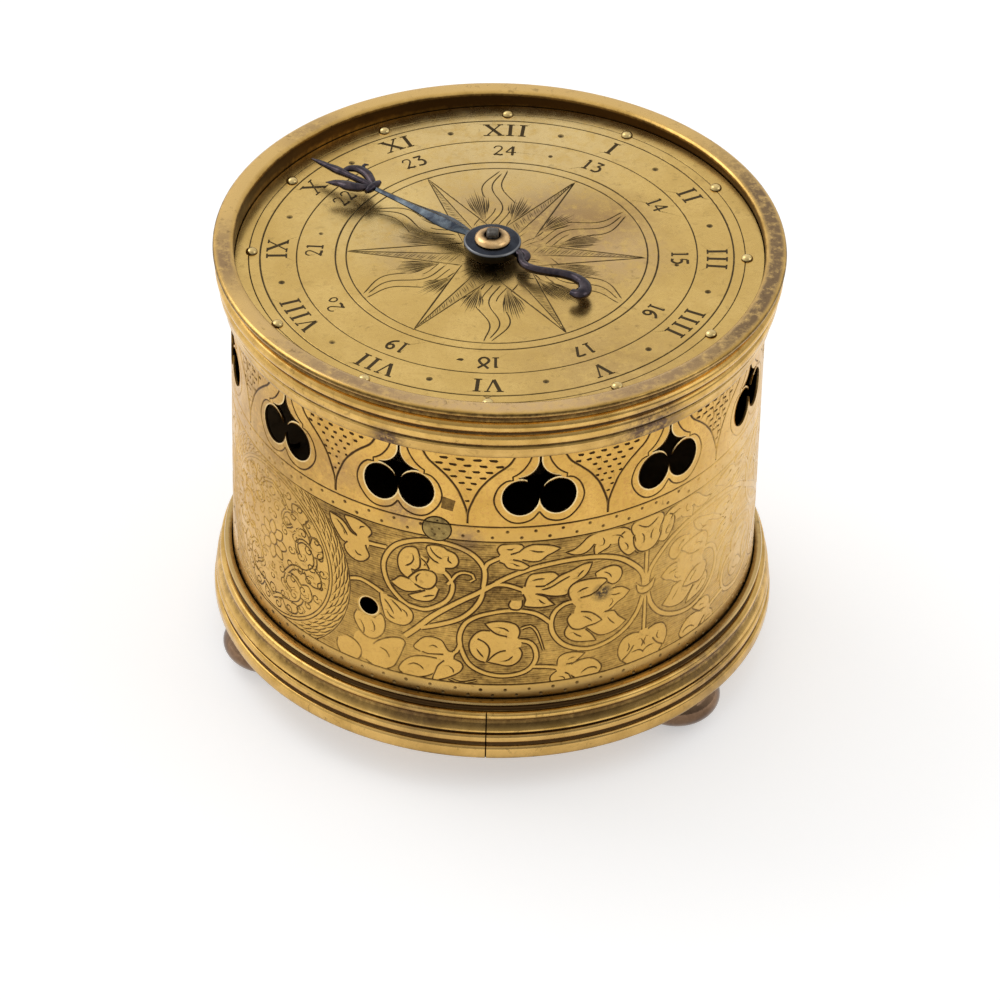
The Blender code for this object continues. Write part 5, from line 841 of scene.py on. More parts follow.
def on_wall(shift, mirror=False, inner=False):
    """Placing function for a panel of the wall."""
    def place(x, y, depth):
        along = (2 * MIRROR_U - x if mirror else x) + shift
        angle = FRONT_ANGLE + along / WALL_RADIUS
        away = Vector((math.cos(angle), math.sin(angle), 0))
        radius = WALL_INNER if inner else WALL_RADIUS + depth
        point = Vector((away.x * radius, away.y * radius, RIM_TOP - WALL_DROP + y)) * MM
        return point, -away if inner else away
    return place


def drum_wall(material):
    """The rolled wall: engraved skin, plain inner face and the cut edges between them."""
    skin = Skin()
    plain, opened = scroll_panel(False), scroll_panel(True)
    for quarter in range(4):
        mirror = quarter % 2 == 1
        shift = QUARTER * (quarter - mirror)
        skin.add_cut(opened if quarter == 0 else plain, on_wall(shift, mirror), flip=mirror)
    edge_cuts = [(opened, 0.0)]
    for turn in range(TREFOIL_COUNT):
        frieze = frieze_panel(turn)
        skin.add_cut(frieze, on_wall(TREFOIL_PITCH * turn))
        # The wall's inner face is painted near black as shade
        skin.add_cut(inner_panel(turn), on_wall(TREFOIL_PITCH * turn, inner=True), flip=True, inner_shade=PAINTED_INNER_SHADE)
        edge_cuts.append((frieze, TREFOIL_PITCH * turn))
    borders = (-WALL_END_DROP, -WALL_TOP_DROP, -BAND_TOP)
    for cut, shift in edge_cuts:
        edges = border_edges(cut)
        lows = min(point.x for edge in edges for point in edge)
        highs = max(point.x for edge in edges for point in edge)
        outside, within = on_wall(shift), on_wall(shift, inner=True)
        for a, b in edges:
            if any(abs(a.y - y) < 1e-4 and abs(b.y - y) < 1e-4 for y in borders):
                continue
            if any(abs(a.x - x) < 1e-4 and abs(b.x - x) < 1e-4 for x in (lows, highs)):
                continue
            corners = [outside(a.x, a.y, 0)[0], within(a.x, a.y, 0)[0], within(b.x, b.y, 0)[0], outside(b.x, b.y, 0)[0]]
            # Cut edges of the openings darken towards the inside as painted shade
            skin.add_plain(corners, (0.5, PAINTED_INNER_SHADE, PAINTED_INNER_SHADE, 0.5))
    for step in range(GRID_COUNT):
        start, end = MIRROR_U + step * GRID_STEP, MIRROR_U + (step + 1) * GRID_STEP
        outside, within = on_wall(0.0), on_wall(0.0, inner=True)
        # Upper and lower edges of the sheet
        for y, order in ((-WALL_TOP_DROP, 1), (-WALL_END_DROP, -1)):
            corners = [outside(start, y, 0)[0], outside(end, y, 0)[0], within(end, y, 0)[0], within(start, y, 0)[0]]
            skin.add_plain(corners[::order])
    return skin.build("drum_wall_engraved", material)


# Dial
DIAL_CENTRE = (-0.5, 0.1)
SUN_CENTRE = (-0.7, 0.0)
# The dial sits askew in its rim, higher on the right, and is turned a little clockwise
DIAL_TILT = 0.022
DIAL_TURN = -0.8
DIAL_STEPS = 192
DIAL_HOLE = 2.7
# Engraved circles as (radius, half width), and where the hours and the figures 13 to 24 stand
DIAL_CIRCLES = ((46.1, 0.13), (44.0, 0.2), (37.2, 0.16), (30.0, 0.2), (28.0, 0.18))
HOUR_RING, HOUR_HEIGHT = 40.9, 3.6
FIGURE_RING, FIGURE_HEIGHT = 34.0, 3.0
# Short strokes round the sun's middle
SUN_RAYLETS = 36
THICK, MIDDLE, THIN = 0.36, 0.27, 0.17
FILLED = 0.9
ROMAN = ("I", "II", "III", "IIII", "V", "VI", "VII", "VIII", "IX", "X", "XI", "XII")
SERIF = 0.2
# Letters and figures as strokes in a box one unit high: (points, half width in millimetres)
GLYPHS = {
    "I": (((0, 0), (0, 1)), THICK, ((-SERIF, 1), (SERIF, 1)), THIN, ((-SERIF, 0), (SERIF, 0)), THIN),
    "V": (((-0.32, 1), (0.02, 0)), THICK, ((0.34, 1), (0.02, 0)), THIN, ((-0.5, 1), (-0.14, 1)), THIN,
          ((0.18, 1), (0.48, 1)), THIN),
    "X": (((-0.38, 1), (0.38, 0)), THICK, ((0.36, 1), (-0.36, 0)), THIN, ((-0.56, 1), (-0.2, 1)), THIN,
          ((0.2, 1), (0.52, 1)), THIN, ((-0.54, 0), (-0.18, 0)), THIN, ((0.2, 0), (0.56, 0)), THIN),
    "1": (((0, 0), (0, 1)), MIDDLE, ((-0.16, 0.92), (0, 1)), THIN, ((-SERIF, 0), (SERIF, 0)), THIN),
    "2": (((-0.26, 0.78), (-0.14, 0.98), (0.14, 0.98), (0.24, 0.74), (0.0, 0.36), (-0.28, 0.04)), THIN,
          ((-0.28, 0.04), (-0.1, 0.1), (0.12, 0.02), (0.3, 0.08)), MIDDLE),
    "3": (((-0.26, 0.96), (0.24, 0.96)), MIDDLE, ((0.24, 0.96), (-0.06, 0.6)), THIN,
          ((-0.06, 0.6), (0.18, 0.54), (0.28, 0.28), (0.12, 0.02), (-0.24, 0.04)), MIDDLE),
    "4": (((0.12, 0), (0.12, 1)), MIDDLE, ((0.12, 1), (-0.3, 0.32)), THIN, ((-0.3, 0.32), (0.34, 0.32)), THIN),
    "5": (((0.26, 1.0), (-0.16, 0.96)), MIDDLE, ((-0.16, 0.96), (-0.2, 0.58)), THIN,
          ((-0.2, 0.58), (0.1, 0.6), (0.26, 0.34), (0.08, 0.02), (-0.24, 0.04)), MIDDLE),
    "6": (((0.22, 1.0), (-0.08, 0.78), (-0.24, 0.4), (-0.12, 0.04), (0.14, 0.04), (0.22, 0.3), (0.04, 0.5),
           (-0.2, 0.36)), MIDDLE),
    "7": (((-0.26, 0.94), (0.0, 0.98), (0.28, 0.96)), MIDDLE, ((0.28, 0.96), (-0.08, 0)), MIDDLE),
    "8": (((-0.3, 1.08), (-0.1, 0.84), (0.14, 0.62), (0.3, 0.3), (0.14, 0.02), (-0.14, 0.02), (-0.3, 0.3),
           (-0.14, 0.62), (0.1, 0.84), (0.32, 1.06)), MIDDLE),
    "9": (((-0.2, 0.02), (0.1, 0.22), (0.24, 0.6), (0.12, 0.96), (-0.14, 0.96), (-0.22, 0.7), (-0.04, 0.5),
           (0.2, 0.64)), MIDDLE),
    "0": (((0.0, 0.56), (-0.2, 0.34), (-0.12, 0.06), (0.12, 0.04), (0.2, 0.3), (0.0, 0.56)), THIN),
}
ADVANCES = {"I": 0.66, "V": 1.0, "X": 1.12, "1": 0.62}


def write_round(pattern, text, radius, degrees, height):
    """Figures along a circle, centred on an angle, with their tops outwards."""
    advances = [ADVANCES.get(sign, 0.8) * height for sign in text]
    place = -sum(advances) / 2
    for sign, advance in zip(text, advances):
        turn = degrees - math.degrees((place + advance / 2) / radius)
        place += advance
        out = polar(1, turn)
        right = Vector((out.y, -out.x))
        foot = Vector(DIAL_CENTRE) + out * (radius - height / 2)
        glyph = GLYPHS[sign]
        for points, half in zip(glyph[::2], glyph[1::2]):
            route = [foot + right * (x * height) + out * (y * height) for x, y in points]
            if len(route) > 2:
                route = smooth(route, 0.35)
            pattern.stroke(route, half, 0.1, FILLED, taper=False)


RAY_TIP, RAY_FOOT, RAY_HALF = 28.0, 6.2, 3.6
SHADE_STAIN = 0.22
# Lines of a wavy ray: share of its half width, start, end and half thickness
FLAME_LINES = ((-1, 9.0, 27.6, 0.16), (0, 9.5, 26.6, 0.16), (1, 9.0, 27.4, 0.16), (0.5, 10.0, 15.0, 0.12),
               (-0.5, 9.5, 14.0, 0.12))


def shade(pattern, corners, stain_and_shade):
    """Triangle of tarnish under the engraved lines."""
    pattern.add_face(pattern.add_points(corners), "skin", [(0, stain_and_shade)] * 3)


def straight_ray(pattern, degrees):
    """Long triangular ray with a ridge line, hatched on its anticlockwise side."""
    out = polar(1, degrees)
    across = Vector((-out.y, out.x))
    centre = Vector(SUN_CENTRE)

    def at(reach, share):
        return centre + out * reach + across * (share * RAY_HALF * (RAY_TIP - reach) / (RAY_TIP - RAY_FOOT))

    shade(pattern, [at(RAY_TIP, 0), at(RAY_FOOT, 0), at(RAY_FOOT, 1)], SHADE_STAIN)
    strokes = 27
    for step in range(strokes):
        start = RAY_FOOT + 0.3 + (RAY_TIP - RAY_FOOT - 2.5) * step / strokes
        run = (2.1 + 0.4 * math.sin(2.1 * step + degrees)) * (1 - 0.5 * step / strokes)
        pattern.stroke([at(start, 0.02), at(start + 0.5 * run, 0.5), at(start + run, 0.98)], 0.11, 0.08, 0.45)
    for share, half in ((-1, 0.2), (0, 0.16), (1, 0.16)):
        route = [at(reach, share) for reach in (RAY_TIP, 27, 20, 12, RAY_FOOT)]
        pattern.stroke(route, half, side=0.4)


def flame(pattern, degrees, side):
    """Wavy ray of three waving lines, the outer ones closing in towards the tip."""
    out = polar(1, degrees)
    across = Vector((-out.y, out.x)) * side
    centre = Vector(SUN_CENTRE)
    steps = 24
    for share, start, end, thick in FLAME_LINES:
        route = []
        for step in range(steps + 1):
            reach = start + (end - start) * step / steps
            half = 3.0 - 2.5 * ((reach - 9) / 19) ** 2
            sway = 0.5 + 1.15 * math.sin(2 * math.pi * (reach - 18.5) / 14.0)
            route.append(centre + out * reach + across * (share * half + sway))
        pattern.stroke(route, thick, side=THIN_STAIN)


def tuft(pattern, degrees, reach):
    """Fan of dark strokes between two rays."""
    out = polar(1, degrees)
    across = Vector((-out.y, out.x))
    centre = Vector(SUN_CENTRE)
    for side in (-1, 1):
        corner = centre + out * (reach - 3.5) + across * 2.1 * side
        shade(pattern, [centre + out * 10.5, centre + out * (reach - 1.5), corner], SHADE_STAIN)
    for step in range(-5, 6):
        start = 11.2 + 0.3 * abs(step) + 0.5 * math.sin(1.7 * step + degrees)
        end = reach - 0.55 * abs(step) + 0.9 * math.sin(2.3 * step + degrees)
        route = [centre + out * start + across * step * 0.14,
                 centre + out * (start * 0.5 + end * 0.5) + across * step * 0.34,
                 centre + out * end + across * step * 0.44]
        pattern.stroke(route, 0.17, 0.1, 0.6)


def dial_pattern():
    """The whole dial seen from above."""
    pattern = Pattern(circle(DIAL_RADIUS, DIAL_STEPS))
    for radius, half in DIAL_CIRCLES:
        pattern.stroke(circle(radius, 144, DIAL_CENTRE), half, side=THIN_STAIN, closed=True)
    for step in range(SUN_RAYLETS):
        degrees = 360 // SUN_RAYLETS * step + 3 * math.sin(4.1 * step)
        reach = 8.8 + 2.2 * math.sin(2.7 * step) ** 2
        pattern.stroke([polar(5.6, degrees, SUN_CENTRE), polar(7.4, degrees + 0.8, SUN_CENTRE),
                        polar(reach, degrees, SUN_CENTRE)], 0.14, side=THIN_STAIN)
    for turn in range(6):
        degrees = 90 + 60 * turn + DIAL_TURN
        flame(pattern, degrees, -1 if turn in (1, 2, 5) else 1)
        for side in (-1, 1):
            tuft(pattern, degrees + 13.5 * side, 20.5 + 1.2 * math.sin(2 * turn + side))
    for turn in range(6):
        straight_ray(pattern, 60 * turn + DIAL_TURN)
    for hour, sign in enumerate(ROMAN, start=1):
        degrees = 90 - 30 * hour + DIAL_TURN
        write_round(pattern, sign, HOUR_RING, degrees, HOUR_HEIGHT)
        write_round(pattern, str(hour + 12), FIGURE_RING, degrees, FIGURE_HEIGHT)
        pattern.dot(polar(40.7, degrees - 15, DIAL_CENTRE), 0.62, steps=12)
    # Punch marks and a short stroke between the figures, and a small cross outside the VI
    for degrees in (-4.7, 170.0, 74.0):
        pattern.dot(polar(33.5, degrees, DIAL_CENTRE), 0.45, steps=12)
    pattern.stroke([polar(33.6, degrees, DIAL_CENTRE) for degrees in (-101.2, -100.2, -99.2, -98.6)], 0.42, 0.15, 0.8)
    for side in (-1, 1):
        pattern.stroke([(-1.0 - 0.9 * side, -45.3), (-1.0, -44.6), (-1.0 + 0.9 * side, -43.9)], 0.16, 0.1, 0.5)
    pattern.fill(circle(DIAL_HOLE, 32, HOUR_AXIS), "hole")
    return pattern.cut()


def on_dial(level):
    """Placing function for the dial's faces."""
    up = Vector((-DIAL_TILT, 0, 1)).normalized()

    def place(x, y, depth):
        return Vector((x, y, level + DIAL_TILT * x + depth)) * MM, up
    return place


def dial(material):
    """Engraved dial plate with its centre hole."""
    skin = Skin()
    cut = dial_pattern()
    top, bottom = on_dial(DIAL_TOP), on_dial(DIAL_TOP - DIAL_THICKNESS)
    skin.add_cut(cut, top)
    for a, b in border_edges(cut):
        skin.add_plain([top(a.x, a.y, 0)[0], bottom(a.x, a.y, 0)[0], bottom(b.x, b.y, 0)[0], top(b.x, b.y, 0)[0]])
    under = Pattern(circle(DIAL_RADIUS, DIAL_STEPS))
    under.fill(circle(DIAL_HOLE, 32, HOUR_AXIS), "hole")
    points, _, faces = under.cut()
    for corners, _, _ in faces:
        skin.add_plain([bottom(points[corner].x, points[corner].y, 0)[0] for corner in reversed(corners)])
    return skin.build("dial_engraved", material)


# Turned pieces
def place_object(name, mesh, material, sharp=34):
    """An object from a bmesh, smooth except at its edges."""
    bmesh.ops.recalc_face_normals(mesh, faces=mesh.faces)
    data = bpy.data.meshes.new(name)
    mesh.to_mesh(data)
    mesh.free()
    data.shade_smooth()
    data.set_sharp_from_angle(angle=math.radians(sharp))
    data.materials.append(material)
    return linked(name, data)


def join_rings(mesh, rings, closed=False):
    """Faces between rings of vertices, run into a loop or capped at both ends."""
    count = len(rings[0])
    pairs = list(zip(rings, rings[1:]))
    if closed:
        pairs.append((rings[-1], rings[0]))
    for lower, upper in pairs:
        for step in range(count):
            after = (step + 1) % count
            mesh.faces.new((lower[step], lower[after], upper[after], upper[step]))
    if not closed:
        mesh.faces.new(list(reversed(rings[0])))
        mesh.faces.new(rings[-1])


def lofted(name, sections, material, sharp=40):
    """Closed skin through rings of points in millimetres."""
    mesh = bmesh.new()
    join_rings(mesh, [[mesh.verts.new(point * MM) for point in section] for section in sections])
    return place_object(name, mesh, material, sharp)


def turned(name, profile, material, steps=64, centre=(0, 0), stains_and_shade=None, ring=False, angles=None, sink=None):
    """Piece turned from (radius, height) points: a closed ring, or a solid with its ends closed."""
    mesh = bmesh.new()
    layer = mesh.verts.layers.float.new("stain_and_shade")
    stains_and_shade = stains_and_shade or [0.0] * len(profile)
    angles = angles or [360 * step / steps for step in range(steps)]
    loops = []
    for index, (radius, height) in enumerate(profile):
        loop = []
        for angle in angles:
            sunk = sink(angle, height) if sink else 0.0
            point = polar(radius - sunk, angle, centre)
            vert = mesh.verts.new((point.x * MM, point.y * MM, height * MM))
            vert[layer] = 1.0 if sunk else stains_and_shade[index]
            loop.append(vert)
        loops.append(loop)
    join_rings(mesh, loops, ring)
    return place_object(name, mesh, material)


def moulding(points, top, step=0.28):
    """Profile and stains through (radius, drop, stain) points; a repeated point is a sharp edge."""
    route = smooth(points, step)
    return [(point.x, top - point.y) for point in route], [min(max(point.z, -1.0), 1.0) for point in route]


# Mouldings from the top down: (radius, drop, stain)
BEZEL_POINTS = (
    (52.2, 0.0, -1.0), (52.2, 0.0, -1.0), (52.75, 0.1, -0.3), (53.2, 0.4, 0.75), (53.22, 0.8, 0.4), (52.9, 1.25, 0.0),
    (52.1, 1.5, 0.6), (52.1, 1.5, 0.85), (51.95, 2.2, 0.85), (52.0, 2.8, 0.6), (52.0, 2.8, 0.1), (52.55, 3.1, 0.0),
    (52.9, 3.6, 0.0), (52.85, 4.3, 0.0), (52.45, 4.8, 0.1), (51.75, 5.0, 0.8), (51.75, 5.0, 1.0), (51.55, 5.45, 1.0),
    (51.65, 6.0, 0.8), (51.65, 6.0, 0.2), (52.1, 6.35, 0.0), (52.3, 6.9, 0.0), (52.25, 7.7, 0.0), (51.95, 8.15, 0.2),
    (51.25, 8.35, 0.8), (51.25, 8.35, 1.0), (51.05, 8.8, 0.95), (51.25, 9.2, 0.5), (51.25, 9.2, 0.1),
    (51.45, 9.45, 0.0), (51.35, 10.2, 0.0), (51.35, 10.9, 0.15), (51.25, 11.4, 0.4), (50.9, 11.65, 0.9),
    (50.9, 11.65, 0.95))
BASE_POINTS = (
    (51.0, 0.0, 0.3), (51.0, 0.0, 0.1), (51.6, 0.08, 0.0), (51.75, 0.45, 0.0), (51.45, 0.85, 0.4), (51.15, 1.2, 0.95),
    (51.2, 1.7, 1.0), (51.5, 2.0, 0.8), (51.5, 2.0, 0.3), (52.0, 2.05, 0.0), (52.45, 2.35, 0.0), (52.55, 2.95, 0.1),
    (52.3, 3.6, 0.45), (52.3, 4.3, 0.52), (52.75, 4.9, 0.25), (53.1, 5.4, 0.0), (53.2, 5.8, 0.0), (53.2, 5.8, 0.2),
    (52.75, 6.05, 0.95), (52.7, 6.55, 1.0), (52.7, 6.55, 0.7), (53.15, 6.75, 0.0), (53.38, 7.4, 0.0), (53.25, 8.1, 0.0),
    (52.9, 8.45, 0.8), (52.9, 8.45, 1.0), (52.9, 8.85, 1.0), (53.0, 9.1, 0.8), (53.0, 9.1, 0.3), (53.45, 9.3, 0.0),
    (53.66, 9.8, 0.0), (53.7, 10.6, 0.1), (53.68, 11.3, 0.2), (53.55, 11.7, 0.5), (53.55, 11.7, 0.6))
BASE_TOP = 19.5
# Steps round a moulded ring
CASE_STEPS = 256
# The soldered joint of the base moulding: its place and half width in degrees, the turn kept free of other points,
# its depth, and how far below the top it starts
SEAM_ANGLE = -89.7
SEAM_HALF = 0.14
SEAM_CLEAR = 0.3
SEAM_DEPTH = 0.35
SEAM_START = 2.0


def top_bezel(material):
    """Moulded ring round the dial, with its ledge and skirt."""
    outer, stains_and_shade = moulding(BEZEL_POINTS, RIM_TOP)
    inner = [(50.3, 76.25), (50.3, 81.9), (47.4, 81.9), (47.4, 82.4), (49.3, 82.4), (49.3, 84.6), (49.3, 86.2),
             (49.3, 87.0), (49.45, 87.55), (49.85, 87.82), (50.4, RIM_TOP), (51.3, RIM_TOP)]
    # Painted shade darkens the inner wall above the dial; the inner top edge is worn bright
    stains_and_shade += [0.0, 0.0, 0.0, 0.0, 0.5, 0.8, 1.0, 1.0, 0.5, -0.3, -1.0, -1.0]
    return turned("top_bezel_moulded", outer + inner, material, CASE_STEPS, stains_and_shade=stains_and_shade, ring=True)


def base_ring(material):
    """Moulded ring round the foot of the wall, with its flange and a soldered joint at the front."""
    outer, stains_and_shade = moulding(BASE_POINTS, BASE_TOP)
    inner = [(36.8, 7.8), (36.8, 9.6), (35.0, 9.6), (35.0, 10.6), (48.0, 10.6), (48.0, 13.9), (50.7, 13.9),
             (50.7, 17.5), (50.25, 19.0), (50.3, 19.35), (50.6, BASE_TOP)]
    # The flange and the inner walls are painted near black as shade
    stains_and_shade += [0.2, 0.2, 0.2, PAINTED_INNER_SHADE, PAINTED_INNER_SHADE, PAINTED_INNER_SHADE, PAINTED_INNER_SHADE, 0.9, 0.9, 0.6, 0.3]
    around = [360 * step / CASE_STEPS - 180 for step in range(CASE_STEPS)]
    angles = [angle for angle in around if abs(angle - SEAM_ANGLE) > SEAM_CLEAR]
    angles = sorted(angles + [SEAM_ANGLE - SEAM_HALF, SEAM_ANGLE, SEAM_ANGLE + SEAM_HALF])

    def sink(angle, height):
        return SEAM_DEPTH if angle == SEAM_ANGLE and height < BASE_TOP - SEAM_START else 0.0

    return turned("base_moulding_turned", outer + inner, material, stains_and_shade=stains_and_shade, ring=True, angles=angles, sink=sink)


# The cover's hinge pin: its direction and the middle of its axis
HINGE_AXIS = Vector((-0.988756, 0.149535, 0.0))
HINGE_CENTRE = Vector((-5.48, -36.238, 6.2))
# Where the case's two knuckles start and end along it
KNUCKLE_ENDS = ((-6.3, -3.3), (3.3, 6.3))


def knuckle(name, start, end, material):
    """Hinge knuckle of the case with its web, along the hinge pin."""
    across = Vector((-HINGE_AXIS.y, HINGE_AXIS.x, 0.0))
    radius, web, height = 1.3, 0.5, 2.35
    outline = [(radius, height), (web, height)]
    first = math.degrees(math.acos(web / radius))
    outline += [polar(radius, first + (360 - first) * step / 20) for step in range(21)]
    sections = [[HINGE_CENTRE + HINGE_AXIS * along + across * x + Vector((0, 0, y)) for x, y in outline]
                for along in (start, end)]
    return lofted(name, sections, material, 34)


FOOT_PLACES = ((35.794, -28.574), (6.849, 45.285), (-42.642, -16.711))


def foot(number, material):
    """Bun foot with its tenon."""
    belly, half_depth, radius, top, steps = 4.6, 4.9, 8.45, 7.5, 18
    start = -math.degrees(math.asin(belly / half_depth))
    end = math.degrees(math.asin((top - belly) / half_depth))
    profile = []
    for step in range(steps + 1):
        angle = math.radians(start + (end - start) * step / steps)
        profile.append((radius * math.cos(angle), belly + half_depth * math.sin(angle)))
    profile += [(1.6, top), (1.6, 10.6)]
    return turned(f"bun_foot_{number}", profile, material, 48, FOOT_PLACES[number - 1])


# Radius of each touch pin's circle, and how far it stands from its hour, clockwise from XII
PIN_PLACES = ((46.35, -0.3), (46.0, -0.25), (46.0, -0.7), (45.9, -0.35), (46.1, -1.7), (46.3, -1.2),
              (46.2, -1.0), (45.8, -0.7), (46.15, -0.1), (46.1, 0.3), (46.0, 0.1), (46.4, 0.0))


def touch_pin(number, material):
    """Domed rivet head of one touch pin, with its shank through the dial."""
    radius, off = PIN_PLACES[number - 1]
    place = polar(radius, 90 - 30 * (number - 1) + off)
    face = DIAL_TOP + DIAL_TILT * place.x
    seat = face + 0.04
    profile = [(0.5, face - 1.15), (0.5, seat), (1.05, seat)]
    for step in range(8):
        angle = math.radians(8 + 11.5 * step)
        profile.append((1.13 * math.cos(angle), seat + 0.72 * math.sin(angle)))
    stains_and_shade = [0.9, 0.9, 0.9, 0.4] + [0.0] * 7
    return turned(f"touch_pin_{number:02d}_domed", profile, material, 24, place, stains_and_shade)


# Hand
HUB_LOW, HUB_HIGH = 86.2, 88.2
HAND_LEVEL = 87.2
HAND_DIRECTION = 143.3
HAND_LENGTH = 43.5


def on_hand(places):
    """Points on the hand from their reach, their offset to the left and their height."""
    x, y = HOUR_AXIS
    out = polar(1, HAND_DIRECTION)
    return [Vector((x + out.x * reach - out.y * side, y + out.y * reach + out.x * side, height))
            for reach, side, height in places]


def bar_sections(route, widths, heights, steps=16):
    """Round or oval sections across a route in space."""
    sections = []
    count = len(route)
    for index, point in enumerate(route):
        tangent = (route[min(index + 1, count - 1)] - route[max(index - 1, 0)]).normalized()
        side = Vector((0, 0, 1)).cross(tangent).normalized()
        up = tangent.cross(side)
        ring = []
        for step in range(steps):
            angle = 2 * math.pi * step / steps
            ring.append(point + side * (widths[index] * math.cos(angle)) + up * (heights[index] * math.sin(angle)))
        sections.append(ring)
    return sections


def eased(values, count):
    """Values eased along a number of steps."""
    result = []
    for step in range(count):
        place = step / (count - 1) * (len(values) - 1)
        low = min(int(place), len(values) - 2)
        share = place - low
        share = share * share * (3 - 2 * share)
        result.append(values[low] * (1 - share) + values[low + 1] * share)
    return result


def bar(name, points, widths, heights, material, step=0.35):
    """Tapered round bar along a curve."""
    route = smooth(points, step)
    count = len(route)
    return lofted(name, bar_sections(route, eased(widths, count), eased(heights, count)), material)


# The blade: (reach, half width) along it, and its section as shares of the half width and of the ridge's height
BLADE_HALVES = ((4.4, 0.8), (6.0, 0.95), (7.6, 1.35), (9.4, 1.72), (11.4, 1.85), (13.6, 1.7), (16.6, 1.2), (20.0, 0.84),
                (24.0, 0.64), (27.6, 0.56), (28.4, 0.56))
BLADE_SECTION = ((1, 0), (0.96, 0.22), (0.5, 0.52), (0, 1), (-0.5, 0.52), (-0.96, 0.22), (-1, 0), (-0.9, -0.35),
                 (-0.4, -0.6), (0.4, -0.6), (0.9, -0.35))
# Bars of the hand's head: (reach, side, height) points, then half widths and half heights from root to tip
HEAD_BARS = (
    ("hand_spike", ((28.4, 0, 87.3), (30.5, 0, 87.4), (33.0, 0, 87.4), (36.0, 0, 87.35), (39.6, 0, 87.25),
                    (HAND_LENGTH, 0, HAND_LEVEL)),
     (0.7, 0.72, 0.66, 0.9, 0.62, 0.16), (0.55, 0.62, 0.6, 0.7, 0.5, 0.16)),
    ("hand_barb_1", ((29.0, 0.5, 87.3), (30.4, 1.8, 87.35), (32.2, 2.7, 87.4), (34.2, 3.2, 87.4), (36.4, 4.5, 87.35)),
     (0.5, 1.05, 1.25, 0.85, 0.1), (0.5, 0.75, 0.75, 0.5, 0.1)),
    ("hand_barb_2", ((29.0, -0.5, 87.3), (30.4, -1.5, 87.35), (32.2, -2.4, 87.5), (34.2, -2.5, 87.6),
                     (35.6, -1.6, 87.6), (36.2, -0.4, 87.5)),
     (0.55, 0.9, 1.0, 0.95, 0.8, 0.4), (0.5, 0.75, 0.75, 0.65, 0.55, 0.3)),
    ("hand_barb_3", ((32.8, -2.6, 87.6), (33.7, -3.3, 87.75), (34.0, -4.2, 87.8), (33.4, -4.6, 87.8)),
     (0.5, 0.42, 0.3, 0.12), (0.5, 0.42, 0.3, 0.12)),
)
# The scrolled tail as shares of its size, and its small loop in millimetres, right and up from the hour axis
TAIL_SIZE = 21.0
TAIL_LINE = ((0.2, -0.1), (0.248, -0.165), (0.262, -0.245), (0.31, -0.325), (0.4, -0.375), (0.51, -0.4),
             (0.63, -0.425), (0.74, -0.475), (0.815, -0.56), (0.825, -0.66), (0.775, -0.72), (0.715, -0.69))
TAIL_LOOP = ((4.4, -1.9), (5.8, -2.2), (6.5, -3.4), (6.3, -4.6), (5.5, -5.0))


def hand_pieces(blued, dark, hub_steel):
    """The single hand: hub, ridged blade, knop, barbed head and scrolled tail."""
    hub_profile = [(1.55, HUB_LOW), (4.9, HUB_LOW), (5.1, 86.35), (5.25, 86.9), (5.32, 87.5), (5.35, 87.9),
                   (5.15, 88.13), (4.95, HUB_HIGH), (1.55, HUB_HIGH)]
    # Painted shade darkens the hub's side towards the dial; the bevelled upper edge is worn bright and painted light
    # grey as its highlight too
    hub_shade_and_wear = [1, 1, 1, 0.9, 0.5, -0.1, -0.55, 0, 0]
    hub = turned("hand_hub", hub_profile, hub_steel, 72, HOUR_AXIS, stains_and_shade=hub_shade_and_wear, ring=True)
    sections = []
    for reach, half in smooth(BLADE_HALVES, 0.8):
        ridge = 0.3 + 0.26 * half
        sections.append(on_hand((reach, side * half, HAND_LEVEL + lift * ridge) for side, lift in BLADE_SECTION))
    blade = lofted("hand_blade", sections, blued, 18)
    knop = bar("hand_knop", on_hand((28.6, side, 87.35) for side in (-2.1, -1.0, 0, 1.0, 2.1)),
               (0.4, 0.75, 0.85, 0.75, 0.4), (0.4, 0.72, 0.82, 0.72, 0.4), dark, 0.25)
    bars = [bar(name, on_hand(places), widths, heights, dark) for name, places, widths, heights in HEAD_BARS]
    tail_points = [Vector((HOUR_AXIS[0] + TAIL_SIZE * x, TAIL_SIZE * y, 87.25)) for x, y in TAIL_LINE]
    tail = bar("hand_tail", tail_points, (0.9, 0.75, 0.8, 0.85, 0.85, 0.9, 0.9, 0.95, 1.05, 1.3, 1.45, 0.9),
               (0.65, 0.68, 0.72, 0.78, 0.8, 0.8, 0.8, 0.82, 0.9, 0.95, 0.95, 0.6), dark)
    loop = bar("hand_tail_loop", [Vector((HOUR_AXIS[0] + x, y, HAND_LEVEL)) for x, y in TAIL_LOOP],
               (0.6, 0.7, 0.75, 0.7, 0.4), (0.5, 0.55, 0.6, 0.55, 0.4), dark)
    return [hub, blade, knop, *bars, tail, loop]


# The arbor from below: height, half width, and the power that squares its section
ARBOR_STEPS = 32
ARBOR_SECTIONS = ((48.0, 0.8, 1.0), (49.8, 0.8, 1.0), (49.8, 1.5, 1.0), (88.2, 1.5, 1.0), (88.4, 1.18, 0.4),
                  (89.9, 1.18, 0.4), (90.3, 1.0, 0.5), (90.44, 0.6, 0.7))


